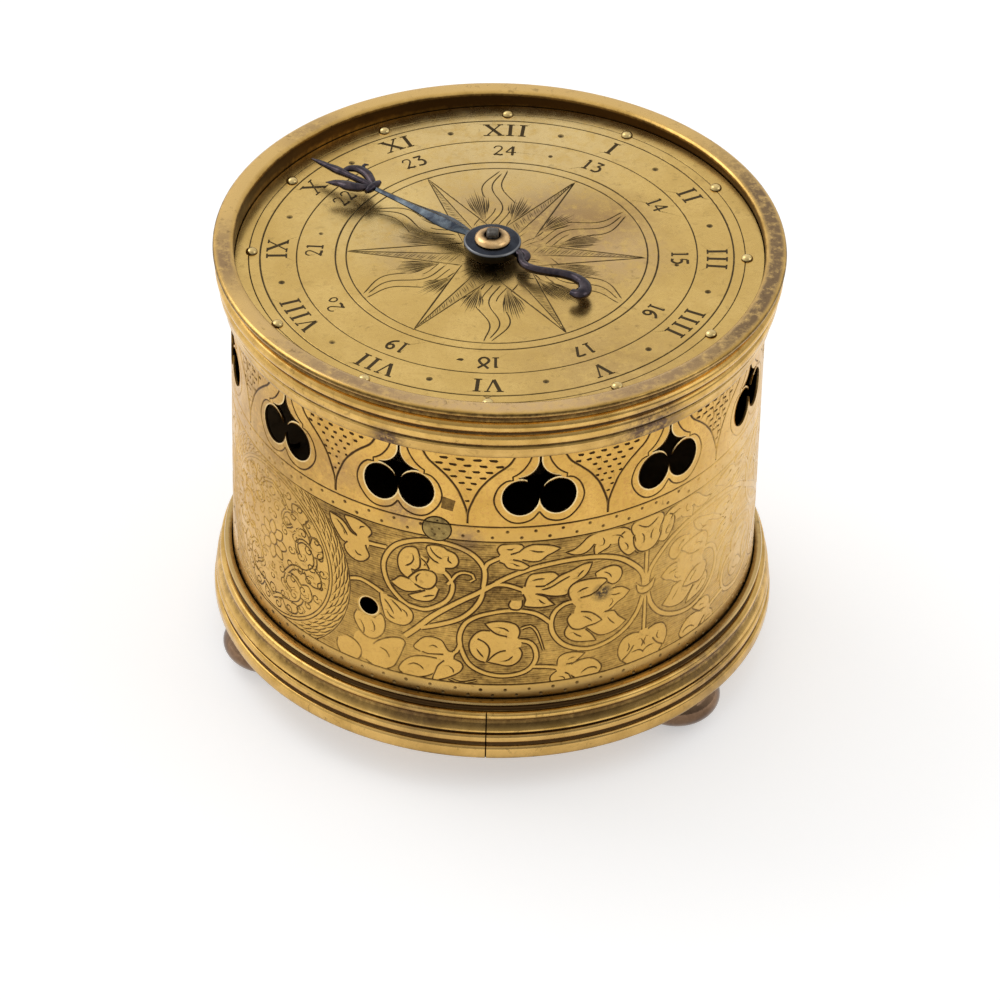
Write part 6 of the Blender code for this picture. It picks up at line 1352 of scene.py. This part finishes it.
def hand_fixing(copper, steel):
    """Domed collar, the arbor's squared end and the pin across it."""
    dome = [(1.56, 88.35), (3.25, 88.3), (3.35, 88.5), (3.2, 88.85), (2.8, 89.15), (2.2, 89.32), (1.56, 89.35)]
    dome_stains = [0.9, 0.8, 0.3, 0, 0, 0.35, 0.9]
    collar = turned("hand_collar_domed", dome, copper, 64, HOUR_AXIS, stains_and_shade=dome_stains, ring=True)
    sections = []
    for height, half, power in ARBOR_SECTIONS:
        ring = []
        for step in range(ARBOR_STEPS):
            angle = 2 * math.pi * step / ARBOR_STEPS
            c, s = (math.copysign(abs(value) ** power, value) for value in (math.cos(angle), math.sin(angle)))
            ring.append(Vector((HOUR_AXIS[0] + half * c, HOUR_AXIS[1] + half * s, height)))
        sections.append(ring)
    arbor = lofted("hour_arbor_shaft", sections, steel, 50)
    turn = math.radians(HAND_DIRECTION + 90)
    way = Vector((math.cos(turn), math.sin(turn), 0))
    middle = Vector((HOUR_AXIS[0], HOUR_AXIS[1], 89.73))
    halves = (0.2, 0.26, 0.27, 0.27, 0.2)
    pin = bar("hand_pin_taper", [middle + way * reach for reach in (-1.7, -0.8, 0.0, 0.8, 1.7)], halves, halves,
              steel, 0.3)
    return collar, arbor, pin


# Materials
STAIN_COLOUR = (0.045, 0.024, 0.009)
# Near-black colour of the painted shade inside the drum
SHADE_BLACK = (0.006, 0.005, 0.004)
# Scratches: width in millimetres and share of the relief, and the depth of the fine relief
SCRATCH_WIDTH = 0.35
SCRATCHES = 0.35
GRAIN = 0.0025


class Shader:
    """One procedural material on the surface's own coordinates, in millimetres."""

    def __init__(self, name):
        self.material = bpy.data.materials.new(name)
        self.material.use_nodes = True
        self.nodes = self.material.node_tree.nodes
        self.links = self.material.node_tree.links
        self.surface = self.nodes["Principled BSDF"]
        coordinates = self.nodes.new("ShaderNodeTexCoord")
        self.place = self.stretched(coordinates.outputs["Object"], (1 / MM, 1 / MM, 1 / MM))

    def put(self, socket, value):
        if isinstance(value, bpy.types.NodeSocket):
            self.links.new(value, socket)
        elif isinstance(value, tuple) and len(value) == 3 and socket.type == "RGBA":
            socket.default_value = (*value, 1.0)
        else:
            socket.default_value = value

    def stretched(self, vector, scales):
        node = self.nodes.new("ShaderNodeVectorMath")
        node.operation = "MULTIPLY"
        self.put(node.inputs[0], vector)
        node.inputs[1].default_value = scales
        return node.outputs[0]

    def noise(self, size, detail=3.0, rough=0.55, stretch=None, warp=0.0):
        """Noise from 0 to 1, with features about as wide as the size."""
        node = self.nodes.new("ShaderNodeTexNoise")
        node.inputs["Scale"].default_value = 1.0 / size
        node.inputs["Detail"].default_value = detail
        node.inputs["Roughness"].default_value = rough
        node.inputs["Distortion"].default_value = warp
        self.put(node.inputs["Vector"], self.stretched(self.place, stretch) if stretch else self.place)
        return node.outputs["Fac"]

    def maths(self, operation, first, second=0.0, clamp=False):
        node = self.nodes.new("ShaderNodeMath")
        node.operation = operation
        node.use_clamp = clamp
        self.put(node.inputs[0], first)
        self.put(node.inputs[1], second)
        return node.outputs[0]

    def times(self, first, second, clamp=False):
        return self.maths("MULTIPLY", first, second, clamp)

    def spread(self, value, low, high, to_low=0.0, to_high=1.0):
        """A value carried from one range to another, held at its ends."""
        node = self.nodes.new("ShaderNodeMapRange")
        inputs = {"Value": value, "From Min": low, "From Max": high, "To Min": to_low, "To Max": to_high}
        for name, item in inputs.items():
            self.put(node.inputs[name], item)
        return node.outputs["Result"]

    def mix(self, share, first, second, blend="MIX"):
        node = self.nodes.new("ShaderNodeMix")
        node.data_type = "RGBA"
        node.blend_type = blend
        self.put(node.inputs["Factor"], share)
        colours = [socket for socket in node.inputs if socket.type == "RGBA"]
        self.put(colours[0], first)
        self.put(colours[1], second)
        return [socket for socket in node.outputs if socket.type == "RGBA"][0]

    def stain_and_shade(self):
        node = self.nodes.new("ShaderNodeAttribute")
        node.attribute_name = "stain_and_shade"
        return node.outputs["Fac"]

    def bump(self, height, depth, before=None):
        node = self.nodes.new("ShaderNodeBump")
        node.inputs["Strength"].default_value = 1.0
        node.inputs["Distance"].default_value = depth * MM
        self.put(node.inputs["Height"], height)
        if before is not None:
            self.links.new(before, node.inputs["Normal"])
        return node.outputs["Normal"]

    def near(self, place, radius, soft):
        """One near a point in millimetres, falling to zero past the radius."""
        node = self.nodes.new("ShaderNodeVectorMath")
        node.operation = "DISTANCE"
        self.put(node.inputs[0], self.place)
        node.inputs[1].default_value = place
        return self.spread(node.outputs["Value"], radius - soft, radius + soft, 1.0, 0.0)

    def band(self, low, high, soft, strength, place, radius):
        """Share of a level band round the vertical axis, near a point."""
        split = self.nodes.new("ShaderNodeSeparateXYZ")
        self.links.new(self.place, split.inputs[0])
        level = split.outputs["Z"]
        above, below = self.spread(level, low - soft, low), self.spread(level, high, high + soft, 1.0, 0.0)
        share = self.times(above, below)
        return self.times(share, self.times(self.near(place, radius, radius * 0.4), strength))

    def patch(self, place, radius, soft, strength):
        """Share of a blotchy patch of colour round a point, for tarnish and for the painted reflections in the patch
        tables.
        """
        spot = self.times(self.near(place, radius, soft), strength)
        return self.times(spot, self.spread(self.noise(min(radius * 0.45, 2.2), 5.0, 0.75), 0.3, 0.54))


def metal(name, light, dark, rough=(0.28, 0.42), blotch=9.0, freckles=0.35, grime_and_shade_colour=STAIN_COLOUR,
          hammer=0.0, patches=(), stained=True, metallic=1.0, worn=None, fades=(), mottle=None, worn_patches=(),
          bands=()):
    """Worn metal: two tones in blotches, freckles of tarnish, fine scratches, and dirt, polish and painted shade where
    the stain_and_shade attribute says, near black where it is very high; some patches and bands of colour are painted
    light.
    """
    shader = Shader(name)
    blotches = shader.spread(shader.noise(blotch, 4.0, 0.6, warp=0.4), 0.36, 0.64)
    colour = shader.mix(blotches, light, dark)
    fine = shader.noise(0.9, 4.0, 0.65)
    colour = shader.mix(shader.spread(fine, 0.35, 0.75, 0.0, 0.4), colour, dark)
    if mottle:
        colour = shader.mix(shader.spread(shader.noise(0.6, 3.0, 0.6, warp=0.3), 0.48, 0.7, 0.0, 0.6), colour, mottle)
    specks = shader.times(shader.spread(shader.noise(1.6, 5.0, 0.7, warp=0.5), 0.57, 0.68),
                          shader.spread(shader.noise(14.0, 2.0), 0.38, 0.6, 0.2, 1.0))
    grime_and_shade = shader.times(specks, freckles)
    for tint, *limits in bands:
        colour = shader.mix(shader.band(*limits), colour, tint)
    for place, radius, soft, strength, tint in patches:
        colour = shader.mix(shader.patch(place, radius, soft, strength), colour, tint)
    if stained:
        given = stain_and_shade = shader.stain_and_shade()
        for place, radius, soft, strength in fades:
            kept = shader.spread(shader.near(place, radius, soft), 0.0, 1.0, 1.0, 1.0 - strength)
            stain_and_shade = shader.times(stain_and_shade, kept)
        centred = shader.maths("SUBTRACT", stain_and_shade, 0.5)
        off_middle = shader.maths("ABSOLUTE", shader.times(centred, 2.0))
        middle = shader.maths("SUBTRACT", 1.0, off_middle, clamp=True)
        wander = shader.maths("ADD", shader.noise(1.1, 5.0, 0.7), shader.noise(13.0, 3.0, 0.6))
        wander = shader.times(shader.maths("SUBTRACT", wander, 1.0), 1.5)
        wander = shader.times(wander, middle)
        full = shader.maths("ADD", shader.times(centred, 1.2), 0.5)
        full = shader.maths("ADD", full, wander, clamp=True)
        grime_and_shade = shader.maths("MAXIMUM", grime_and_shade, full)
        if worn:
            bare = shader.times(stain_and_shade, -1.0, clamp=True)
            colour = shader.mix(bare, colour, worn)
            for place, radius, soft, strength, tint in worn_patches:
                spot = shader.times(shader.patch(place, radius, soft, strength), bare)
                colour = shader.mix(spot, colour, tint)
    colour = shader.mix(grime_and_shade, colour, grime_and_shade_colour)
    if stained:
        # Painted shade: faces inside the drum turn near black
        colour = shader.mix(shader.spread(given, 1.8, 2.6), colour, SHADE_BLACK)
    shader.put(shader.surface.inputs["Base Color"], colour)
    shader.surface.inputs["Metallic"].default_value = metallic
    roughness = shader.spread(shader.noise(5.0, 5.0, 0.65), 0.35, 0.65, rough[0], rough[1])
    roughness = shader.maths("ADD", roughness, shader.times(grime_and_shade, 0.2), clamp=True)
    shader.put(shader.surface.inputs["Roughness"], roughness)
    long_way = shader.noise(SCRATCH_WIDTH, 2.0, 0.5, (0.1, 1.0, 1.0))
    cross_way = shader.noise(SCRATCH_WIDTH, 2.0, 0.5, (1.0, 0.12, 1.0))
    height = shader.times(shader.maths("ADD", long_way, cross_way), SCRATCHES)
    height = shader.maths("ADD", height, fine)
    height = shader.maths("SUBTRACT", height, shader.times(grime_and_shade, 0.6))
    normal = shader.bump(height, GRAIN)
    if hammer:
        normal = shader.bump(shader.noise(4.0, 2.0, 0.5), hammer, normal)
    shader.links.new(normal, shader.surface.inputs["Normal"])
    return shader.material


BROWN = (0.16, 0.085, 0.03)
PURPLE = (0.3, 0.17, 0.09)
# Pinkish tone of a painted reflection
PAINTED_PINK_REFLECTION = (0.72, 0.5, 0.27)
UMBER = (0.26, 0.16, 0.09)
# Patches of colour: place, radius, softness, strength, colour. Most are tarnish; a painted reflection is marked where
# it stands.
WALL_PATCHES = (
    ((-16, -47.5, 60.9), 3.4, 2, 0.75, UMBER), ((-4.3, -49.8, 56.3), 2.6, 1.4, 0.7, UMBER),
    ((-40, -30, 62), 12, 9, 0.5, BROWN), ((-27, -42, 66), 5, 4, 0.5, PURPLE),
    ((20.95, -45.3, 41.75), 1.7, 0.8, 1.0, (0.07, 0.05, 0.032)),
    # Pale gold at the wall's right end: a painted reflection
    ((48, -14, 45), 24, 12, 0.4, (0.84, 0.62, 0.28)))
WALL_FADES = (((48, -15, 46), 27, 13, 0.85), ((-48, -14, 50), 22, 12, 0.75), ((-24, -44, 25), 13, 10, 0.45),
              ((25, -43, 28), 11, 9, 0.35))
# Colour in level bands: colour, lowest and highest level, softness, strength, place, radius. On the wall, the first
# band deepens the gold of the scroll panel at the front, and the second is painted shade along the foot of the wall,
# where it meets the base moulding.
WALL_BANDS = (
    ((0.62, 0.38, 0.1), 20, 57.5, 2.0, 0.55, (0, -50, 40), 50),
    ((0.4, 0.28, 0.12), 10, 20, 3.0, 0.85, (0, 0, 20), 90))
# Bands on the mouldings: the first, second and fourth darken the bezel skirt and the base mouldings at the front as a
# painted dark reflection; the third is painted shade on the top of the base moulding, where it meets the wall.
RIM_BANDS = (
    ((0.5, 0.31, 0.11), 76.2, 78.3, 0.3, 0.3, (0, -52, 77), 30),
    ((0.16, 0.09, 0.03), 14.7, 16.0, 0.8, 0.75, (8, -54, 15), 40),
    ((0.55, 0.38, 0.16), 18.4, 19.6, 0.2, 0.7, (0, 0, 19), 90),
    ((0.5, 0.31, 0.11), 7.8, 13.0, 0.3, 0.4, (6, -54, 10), 36))
RIM_PATCHES = (
    ((28.7, -42.6, 78), 6, 3, 1.0, (0.13, 0.08, 0.05)), ((-18.9, -47.8, 77.3), 2.8, 1.6, 1.0, (0.1, 0.06, 0.045)),
    ((42, -32, 16), 8, 4, 0.6, (0.16, 0.1, 0.06)), ((-12, -50.5, 17.5), 6, 3, 0.5, (0.14, 0.08, 0.045)))
RIM_TOP_PATCHES = (
    ((0, -50, 88), 44, 14, 0.8, (0.66, 0.44, 0.22)), ((58, -4, 88), 36, 12, 1.1, (0.235, 0.15, 0.075)),
    ((-52, -8, 88), 9, 6, 0.8, UMBER), ((-26, -44, 88), 13, 8, 0.6, UMBER), ((-36, 34, 88), 6, 4, 0.5, UMBER),
    ((30, -42, 88), 12, 6, 0.6, UMBER))
# Patches on the dial: the purple ones are tarnish; the pink one on the right is a painted reflection; the pale gold
# ones at the back and the left make the dial lighter there.
DIAL_PATCHES = (
    ((12, 3, 85.1), 14, 10, 0.55, PURPLE), ((-17, 6, 84.5), 6, 5, 0.6, PURPLE), ((-6, 16, 84.7), 5, 4, 0.5, PURPLE),
    ((9, 15, 85.1), 6, 4, 0.65, PURPLE), ((20, 12, 85.3), 6, 5, 0.45, PURPLE), ((-17, -2, 84.5), 5, 4, 0.4, PURPLE),
    ((20, -34, 85.2), 12, 10, 0.35, PURPLE), ((0, 30, 84.9), 14, 10, 0.25, PURPLE), ((22, 0, 85.3), 7, 5, 0.4, PAINTED_PINK_REFLECTION),
    ((0, 44, 84.9), 24, 12, 0.5, (0.92, 0.72, 0.36)), ((-22, 10, 84.5), 12, 8, 0.4, (0.92, 0.72, 0.34)))


def make_materials():
    """One material for each of the record's slots, and a few of the scene's own."""
    return {
        "gilt_brass": metal("gilt_brass_engraved", (0.78, 0.475, 0.12), (0.62, 0.36, 0.08), (0.24, 0.36), hammer=0.014,
                            grime_and_shade_colour=(0.07, 0.035, 0.012), patches=WALL_PATCHES, worn=(0.9, 0.7, 0.36),
                            fades=WALL_FADES, mottle=(0.54, 0.27, 0.08), bands=WALL_BANDS),
        "worn_gilt_brass": metal("moulded_gilt_brass", (0.79, 0.5, 0.155), (0.55, 0.33, 0.085), (0.14, 0.28),
                                 blotch=6.0, grime_and_shade_colour=(0.065, 0.034, 0.012), freckles=0.5, hammer=0.006,
                                 patches=RIM_PATCHES, worn=(0.76, 0.5, 0.18), worn_patches=RIM_TOP_PATCHES,
                                 bands=RIM_BANDS),
        "dial_gilt": metal("dial_gilt_engraved", (0.79, 0.54, 0.18), (0.67, 0.44, 0.13), (0.22, 0.32), blotch=12.0,
                           grime_and_shade_colour=(0.07, 0.046, 0.018), freckles=0.3, hammer=0.012, patches=DIAL_PATCHES,
                           mottle=(0.62, 0.4, 0.13)),
        "dark_brass": metal("dark_polished_brass", (0.28, 0.175, 0.105), (0.11, 0.064, 0.04), (0.12, 0.26), blotch=5.0,
                            freckles=0.5, stained=False, hammer=0.01),
        "grey_plug": metal("olive_plug_metal", (0.4, 0.275, 0.09), (0.19, 0.13, 0.045), (0.3, 0.45), blotch=1.6,
                           freckles=0.8),
        "movement_brass": metal("movement_satin_brass", (0.56, 0.4, 0.17), (0.42, 0.28, 0.1), (0.25, 0.4),
                                stained=False),
        "gilt_copper": metal("worn_gilt_copper", (0.95, 0.64, 0.31), (0.66, 0.4, 0.17), (0.18, 0.3), blotch=1.6),
        "blued_steel": metal("blued_steel_worn", (0.13, 0.155, 0.172), (0.036, 0.042, 0.055), (0.16, 0.3), blotch=2.4,
                             grime_and_shade_colour=(0.05, 0.03, 0.02), stained=False),
        "steel": metal("grey_steel", (0.2, 0.185, 0.165), (0.07, 0.06, 0.05), (0.2, 0.38), blotch=0.8, freckles=0.7,
                       stained=False),
        "spring_steel": metal("spring_steel_blue", (0.22, 0.25, 0.33), (0.15, 0.15, 0.19), (0.2, 0.3), stained=False),
        "bell_metal": metal("bell_metal_cast", (0.55, 0.42, 0.25), (0.36, 0.26, 0.14), (0.22, 0.4), hammer=0.01,
                            stained=False),
        "gut": metal("gut_line_fibre", (0.62, 0.48, 0.28), (0.4, 0.28, 0.14), (0.45, 0.6), blotch=2.0, stained=False,
                     metallic=0.0),
        # Movement brass darkened as painted shade, for the parts inside the drum
        "shaded_movement_brass": metal("movement_brass_painted_shade", (0.13, 0.09, 0.045), (0.07, 0.045, 0.022), (0.4, 0.55),
                             stained=False),
        "dark_iron": metal("browned_iron", (0.1, 0.078, 0.085), (0.035, 0.03, 0.038), (0.14, 0.28), blotch=2.0,
                           grime_and_shade_colour=(0.12, 0.06, 0.03), stained=False, hammer=0.004),
        # Its light grey worn colour also paints the highlight on the hub's upper edge
        "hub_steel": metal("blued_hub_steel", (0.042, 0.048, 0.062), (0.024, 0.027, 0.037), (0.2, 0.34), blotch=2.5,
                           grime_and_shade_colour=(0.02, 0.016, 0.014), worn=(0.42, 0.42, 0.42), hammer=0.004),
        "pale_brass": metal("pale_rivet_brass", (0.9, 0.7, 0.32), (0.64, 0.45, 0.17), (0.14, 0.3), blotch=0.9,
                            freckles=0.4),
    }


def wall_plug(material):
    """Proud round plug in the wall; the engraved line and the dots run on over it."""
    centre, radius, proud, sunk, steps = (-10.6, -29.3), 2.85, 0.06, -0.3, 40
    rim = circle(radius, steps, centre)
    pattern = Pattern(rim)
    pattern.stroke(circle(radius - 0.14, steps, centre), 0.14, 0.05, 0.75, closed=True)
    pattern.line([(centre[0] - 4 + step, -LOWER_LINE) for step in range(9)], 0.2)
    for x, y in ((-0.9, -0.2), (0.5, 0.1), (1.3, -0.9), (-0.3, -1.3), (0.1, 1.9)):
        pattern.dot((centre[0] + x, centre[1] + y), 0.24, 0.08)
    place = on_wall(0.0)
    skin = Skin()
    skin.add_cut(pattern.cut(), lambda x, y, depth: place(x, y, depth + proud))
    back = place(*centre, sunk)[0]
    for step in range(steps):
        a, b = rim[step], rim[(step + 1) % steps]
        upper = [place(a.x, a.y, proud)[0], place(b.x, b.y, proud)[0]]
        lower = [place(a.x, a.y, sunk)[0], place(b.x, b.y, sunk)[0]]
        skin.add_plain([upper[0], lower[0], lower[1], upper[1]], 1.0)
        skin.add_plain([lower[1], lower[0], back], 1.0)
    return skin.build("wall_plug_disc", material)


# Assembly
def dress(piece, body, slot, *nodes):
    """Rides a piece on its body and hides the CAD nodes it stands for."""
    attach(piece, body)
    if nodes:
        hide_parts(*nodes)


def dress_case(finish):
    """Everything that stays with the case."""
    dress(drum_wall(finish["gilt_brass"]), "case", "gilt_brass", "drum_wall")
    dress(wall_plug(finish["grey_plug"]), "case", "grey_plug", "wall_plug")
    dress(top_bezel(finish["worn_gilt_brass"]), "case", "worn_gilt_brass", "top_bezel")
    dress(base_ring(finish["worn_gilt_brass"]), "case", "worn_gilt_brass", "base_moulding")
    for number, (start, end) in enumerate(KNUCKLE_ENDS, start=1):
        dress(knuckle(f"case_knuckle_{number}", start, end, finish["worn_gilt_brass"]), "case", "worn_gilt_brass")
    dress(dial(finish["dial_gilt"]), "case", "dial_gilt", "dial_plate")
    for number in range(1, 4):
        dress(foot(number, finish["dark_brass"]), "case", "dark_brass", f"foot_{number}")
    for number in range(1, 13):
        dress(touch_pin(number, finish["pale_brass"]), "case", "gilt_brass", f"touch_pin_{number:02d}")


def dress_hand(finish):
    """The hand, and what holds it on the hour arbor."""
    pieces = hand_pieces(finish["blued_steel"], finish["dark_iron"], finish["hub_steel"])
    dress(pieces[0], "hand", "blued_steel", "hour_hand")
    for piece in pieces[1:]:
        dress(piece, "hand", "blued_steel")
    collar, arbor, pin = hand_fixing(finish["gilt_copper"], finish["steel"])
    dress(collar, "hour", "gilt_copper", "hand_collar")
    dress(arbor, "hour", "steel", "hour_arbor")
    dress(pin, "hour", "steel", "hand_pin")


# Movement parts seen through the openings, darker as painted shade inside the drum
SHADED_MOVEMENT_NODES = ("top_plate", "pillar_1", "pillar_2", "pillar_3", "dial_post_1", "dial_post_2", "dial_post_3")


def finish_nodes(finish):
    """Gives every CAD node the scene's material for its slot, or a darker one with painted shade for the movement parts
    seen through the openings.
    """
    for row in frame["record"]["subparts"]:
        node = NODES.get(row["node"])
        if node is None:
            continue
        look = "shaded_movement_brass" if row["node"] in SHADED_MOVEMENT_NODES else row["material_slot"]
        for slot in node.material_slots:
            slot.material = finish[look]


# Studio
def floor():
    """Pale floor that keeps the object's shadow and shows white elsewhere."""
    shader = Shader("studio_floor")
    mesh = bpy.data.meshes.new("studio_floor")
    half = 4.0
    mesh.from_pydata([(-half, -half, 0), (half, -half, 0), (half, half, 0), (-half, half, 0)], [], [(0, 1, 2, 3)])
    mesh.materials.append(shader.material)
    linked("studio_floor", mesh)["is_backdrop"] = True
    shader.surface.inputs["Base Color"].default_value = (0.8, 0.8, 0.8, 1)
    shader.surface.inputs["Roughness"].default_value = 0.9
    shader.surface.inputs["Specular IOR Level"].default_value = 0.1
    rays = shader.nodes.new("ShaderNodeLightPath")
    seen = shader.maths("MAXIMUM", rays.outputs["Is Camera Ray"], rays.outputs["Is Glossy Ray"])
    seen = shader.maths("MAXIMUM", seen, rays.outputs["Is Transmission Ray"])
    shader.surface.inputs["Emission Color"].default_value = (1, 1, 1, 1)
    shader.put(shader.surface.inputs["Emission Strength"], shader.times(seen, 0.45))


def world():
    """Grey studio, brighter behind and to the left, darker on the side of the camera."""
    scene_world = bpy.data.worlds.new("studio")
    bpy.context.scene.world = scene_world
    scene_world.use_nodes = True
    nodes, links = scene_world.node_tree.nodes, scene_world.node_tree.links
    background = nodes["Background"]
    background.inputs["Color"].default_value = (1, 1, 1, 1)
    coordinates = nodes.new("ShaderNodeTexCoord")
    split = nodes.new("ShaderNodeSeparateXYZ")
    links.new(coordinates.outputs["Generated"], split.inputs[0])
    ramp = nodes.new("ShaderNodeMapRange")
    links.new(split.outputs["Y"], ramp.inputs["Value"])
    for name, value in (("From Min", -0.9), ("From Max", 0.4), ("To Min", 0.4), ("To Max", 0.85)):
        ramp.inputs[name].default_value = value
    left = nodes.new("ShaderNodeMath")
    left.operation = "MULTIPLY_ADD"
    links.new(split.outputs["X"], left.inputs[0])
    left.inputs[1].default_value = -0.22
    links.new(ramp.outputs["Result"], left.inputs[2])
    links.new(left.outputs[0], background.inputs["Strength"])


def lamp(name, place, target, width, power):
    """Soft square lamp aimed at a point, in metres."""
    data = bpy.data.lights.new(name, "AREA")
    data.size = width
    data.energy = power
    light = linked(name, data)
    light.location = place
    light.rotation_euler = (Vector(target) - Vector(place)).to_track_quat("-Z", "Y").to_euler()


def camera():
    """Camera where the photograph was taken from."""
    data = bpy.data.cameras.new("camera")
    data.lens = 211.73
    data.sensor_width = 36.0
    data.clip_start = 0.01
    view = linked("camera", data)
    place = Vector((0.013372, -0.890822, 0.718094))
    target = Vector((0.001143, 0.0, 0.027216))
    turn = (target - place).to_track_quat("-Z", "Y")
    roll = Quaternion((0, 0, 1), math.radians(1.3556))
    view.matrix_world = Matrix.Translation(place) @ (turn @ roll).to_matrix().to_4x4()
    bpy.context.scene.camera = view


materials = make_materials()
finish_nodes(materials)
dress_case(materials)
dress_hand(materials)
floor()
world()
lamp("key_lamp", (-0.9, 0.6, 1.3), (0, 0, 0.05), 0.8, 3.0)
lamp("fill_lamp", (1.1, -0.2, 1.1), (0, 0, 0.05), 0.9, 2.0)
camera()
bpy.context.scene.view_settings.view_transform = "Standard"

[[list(corner) for corner in box] for box in (CAD_BOX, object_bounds())]
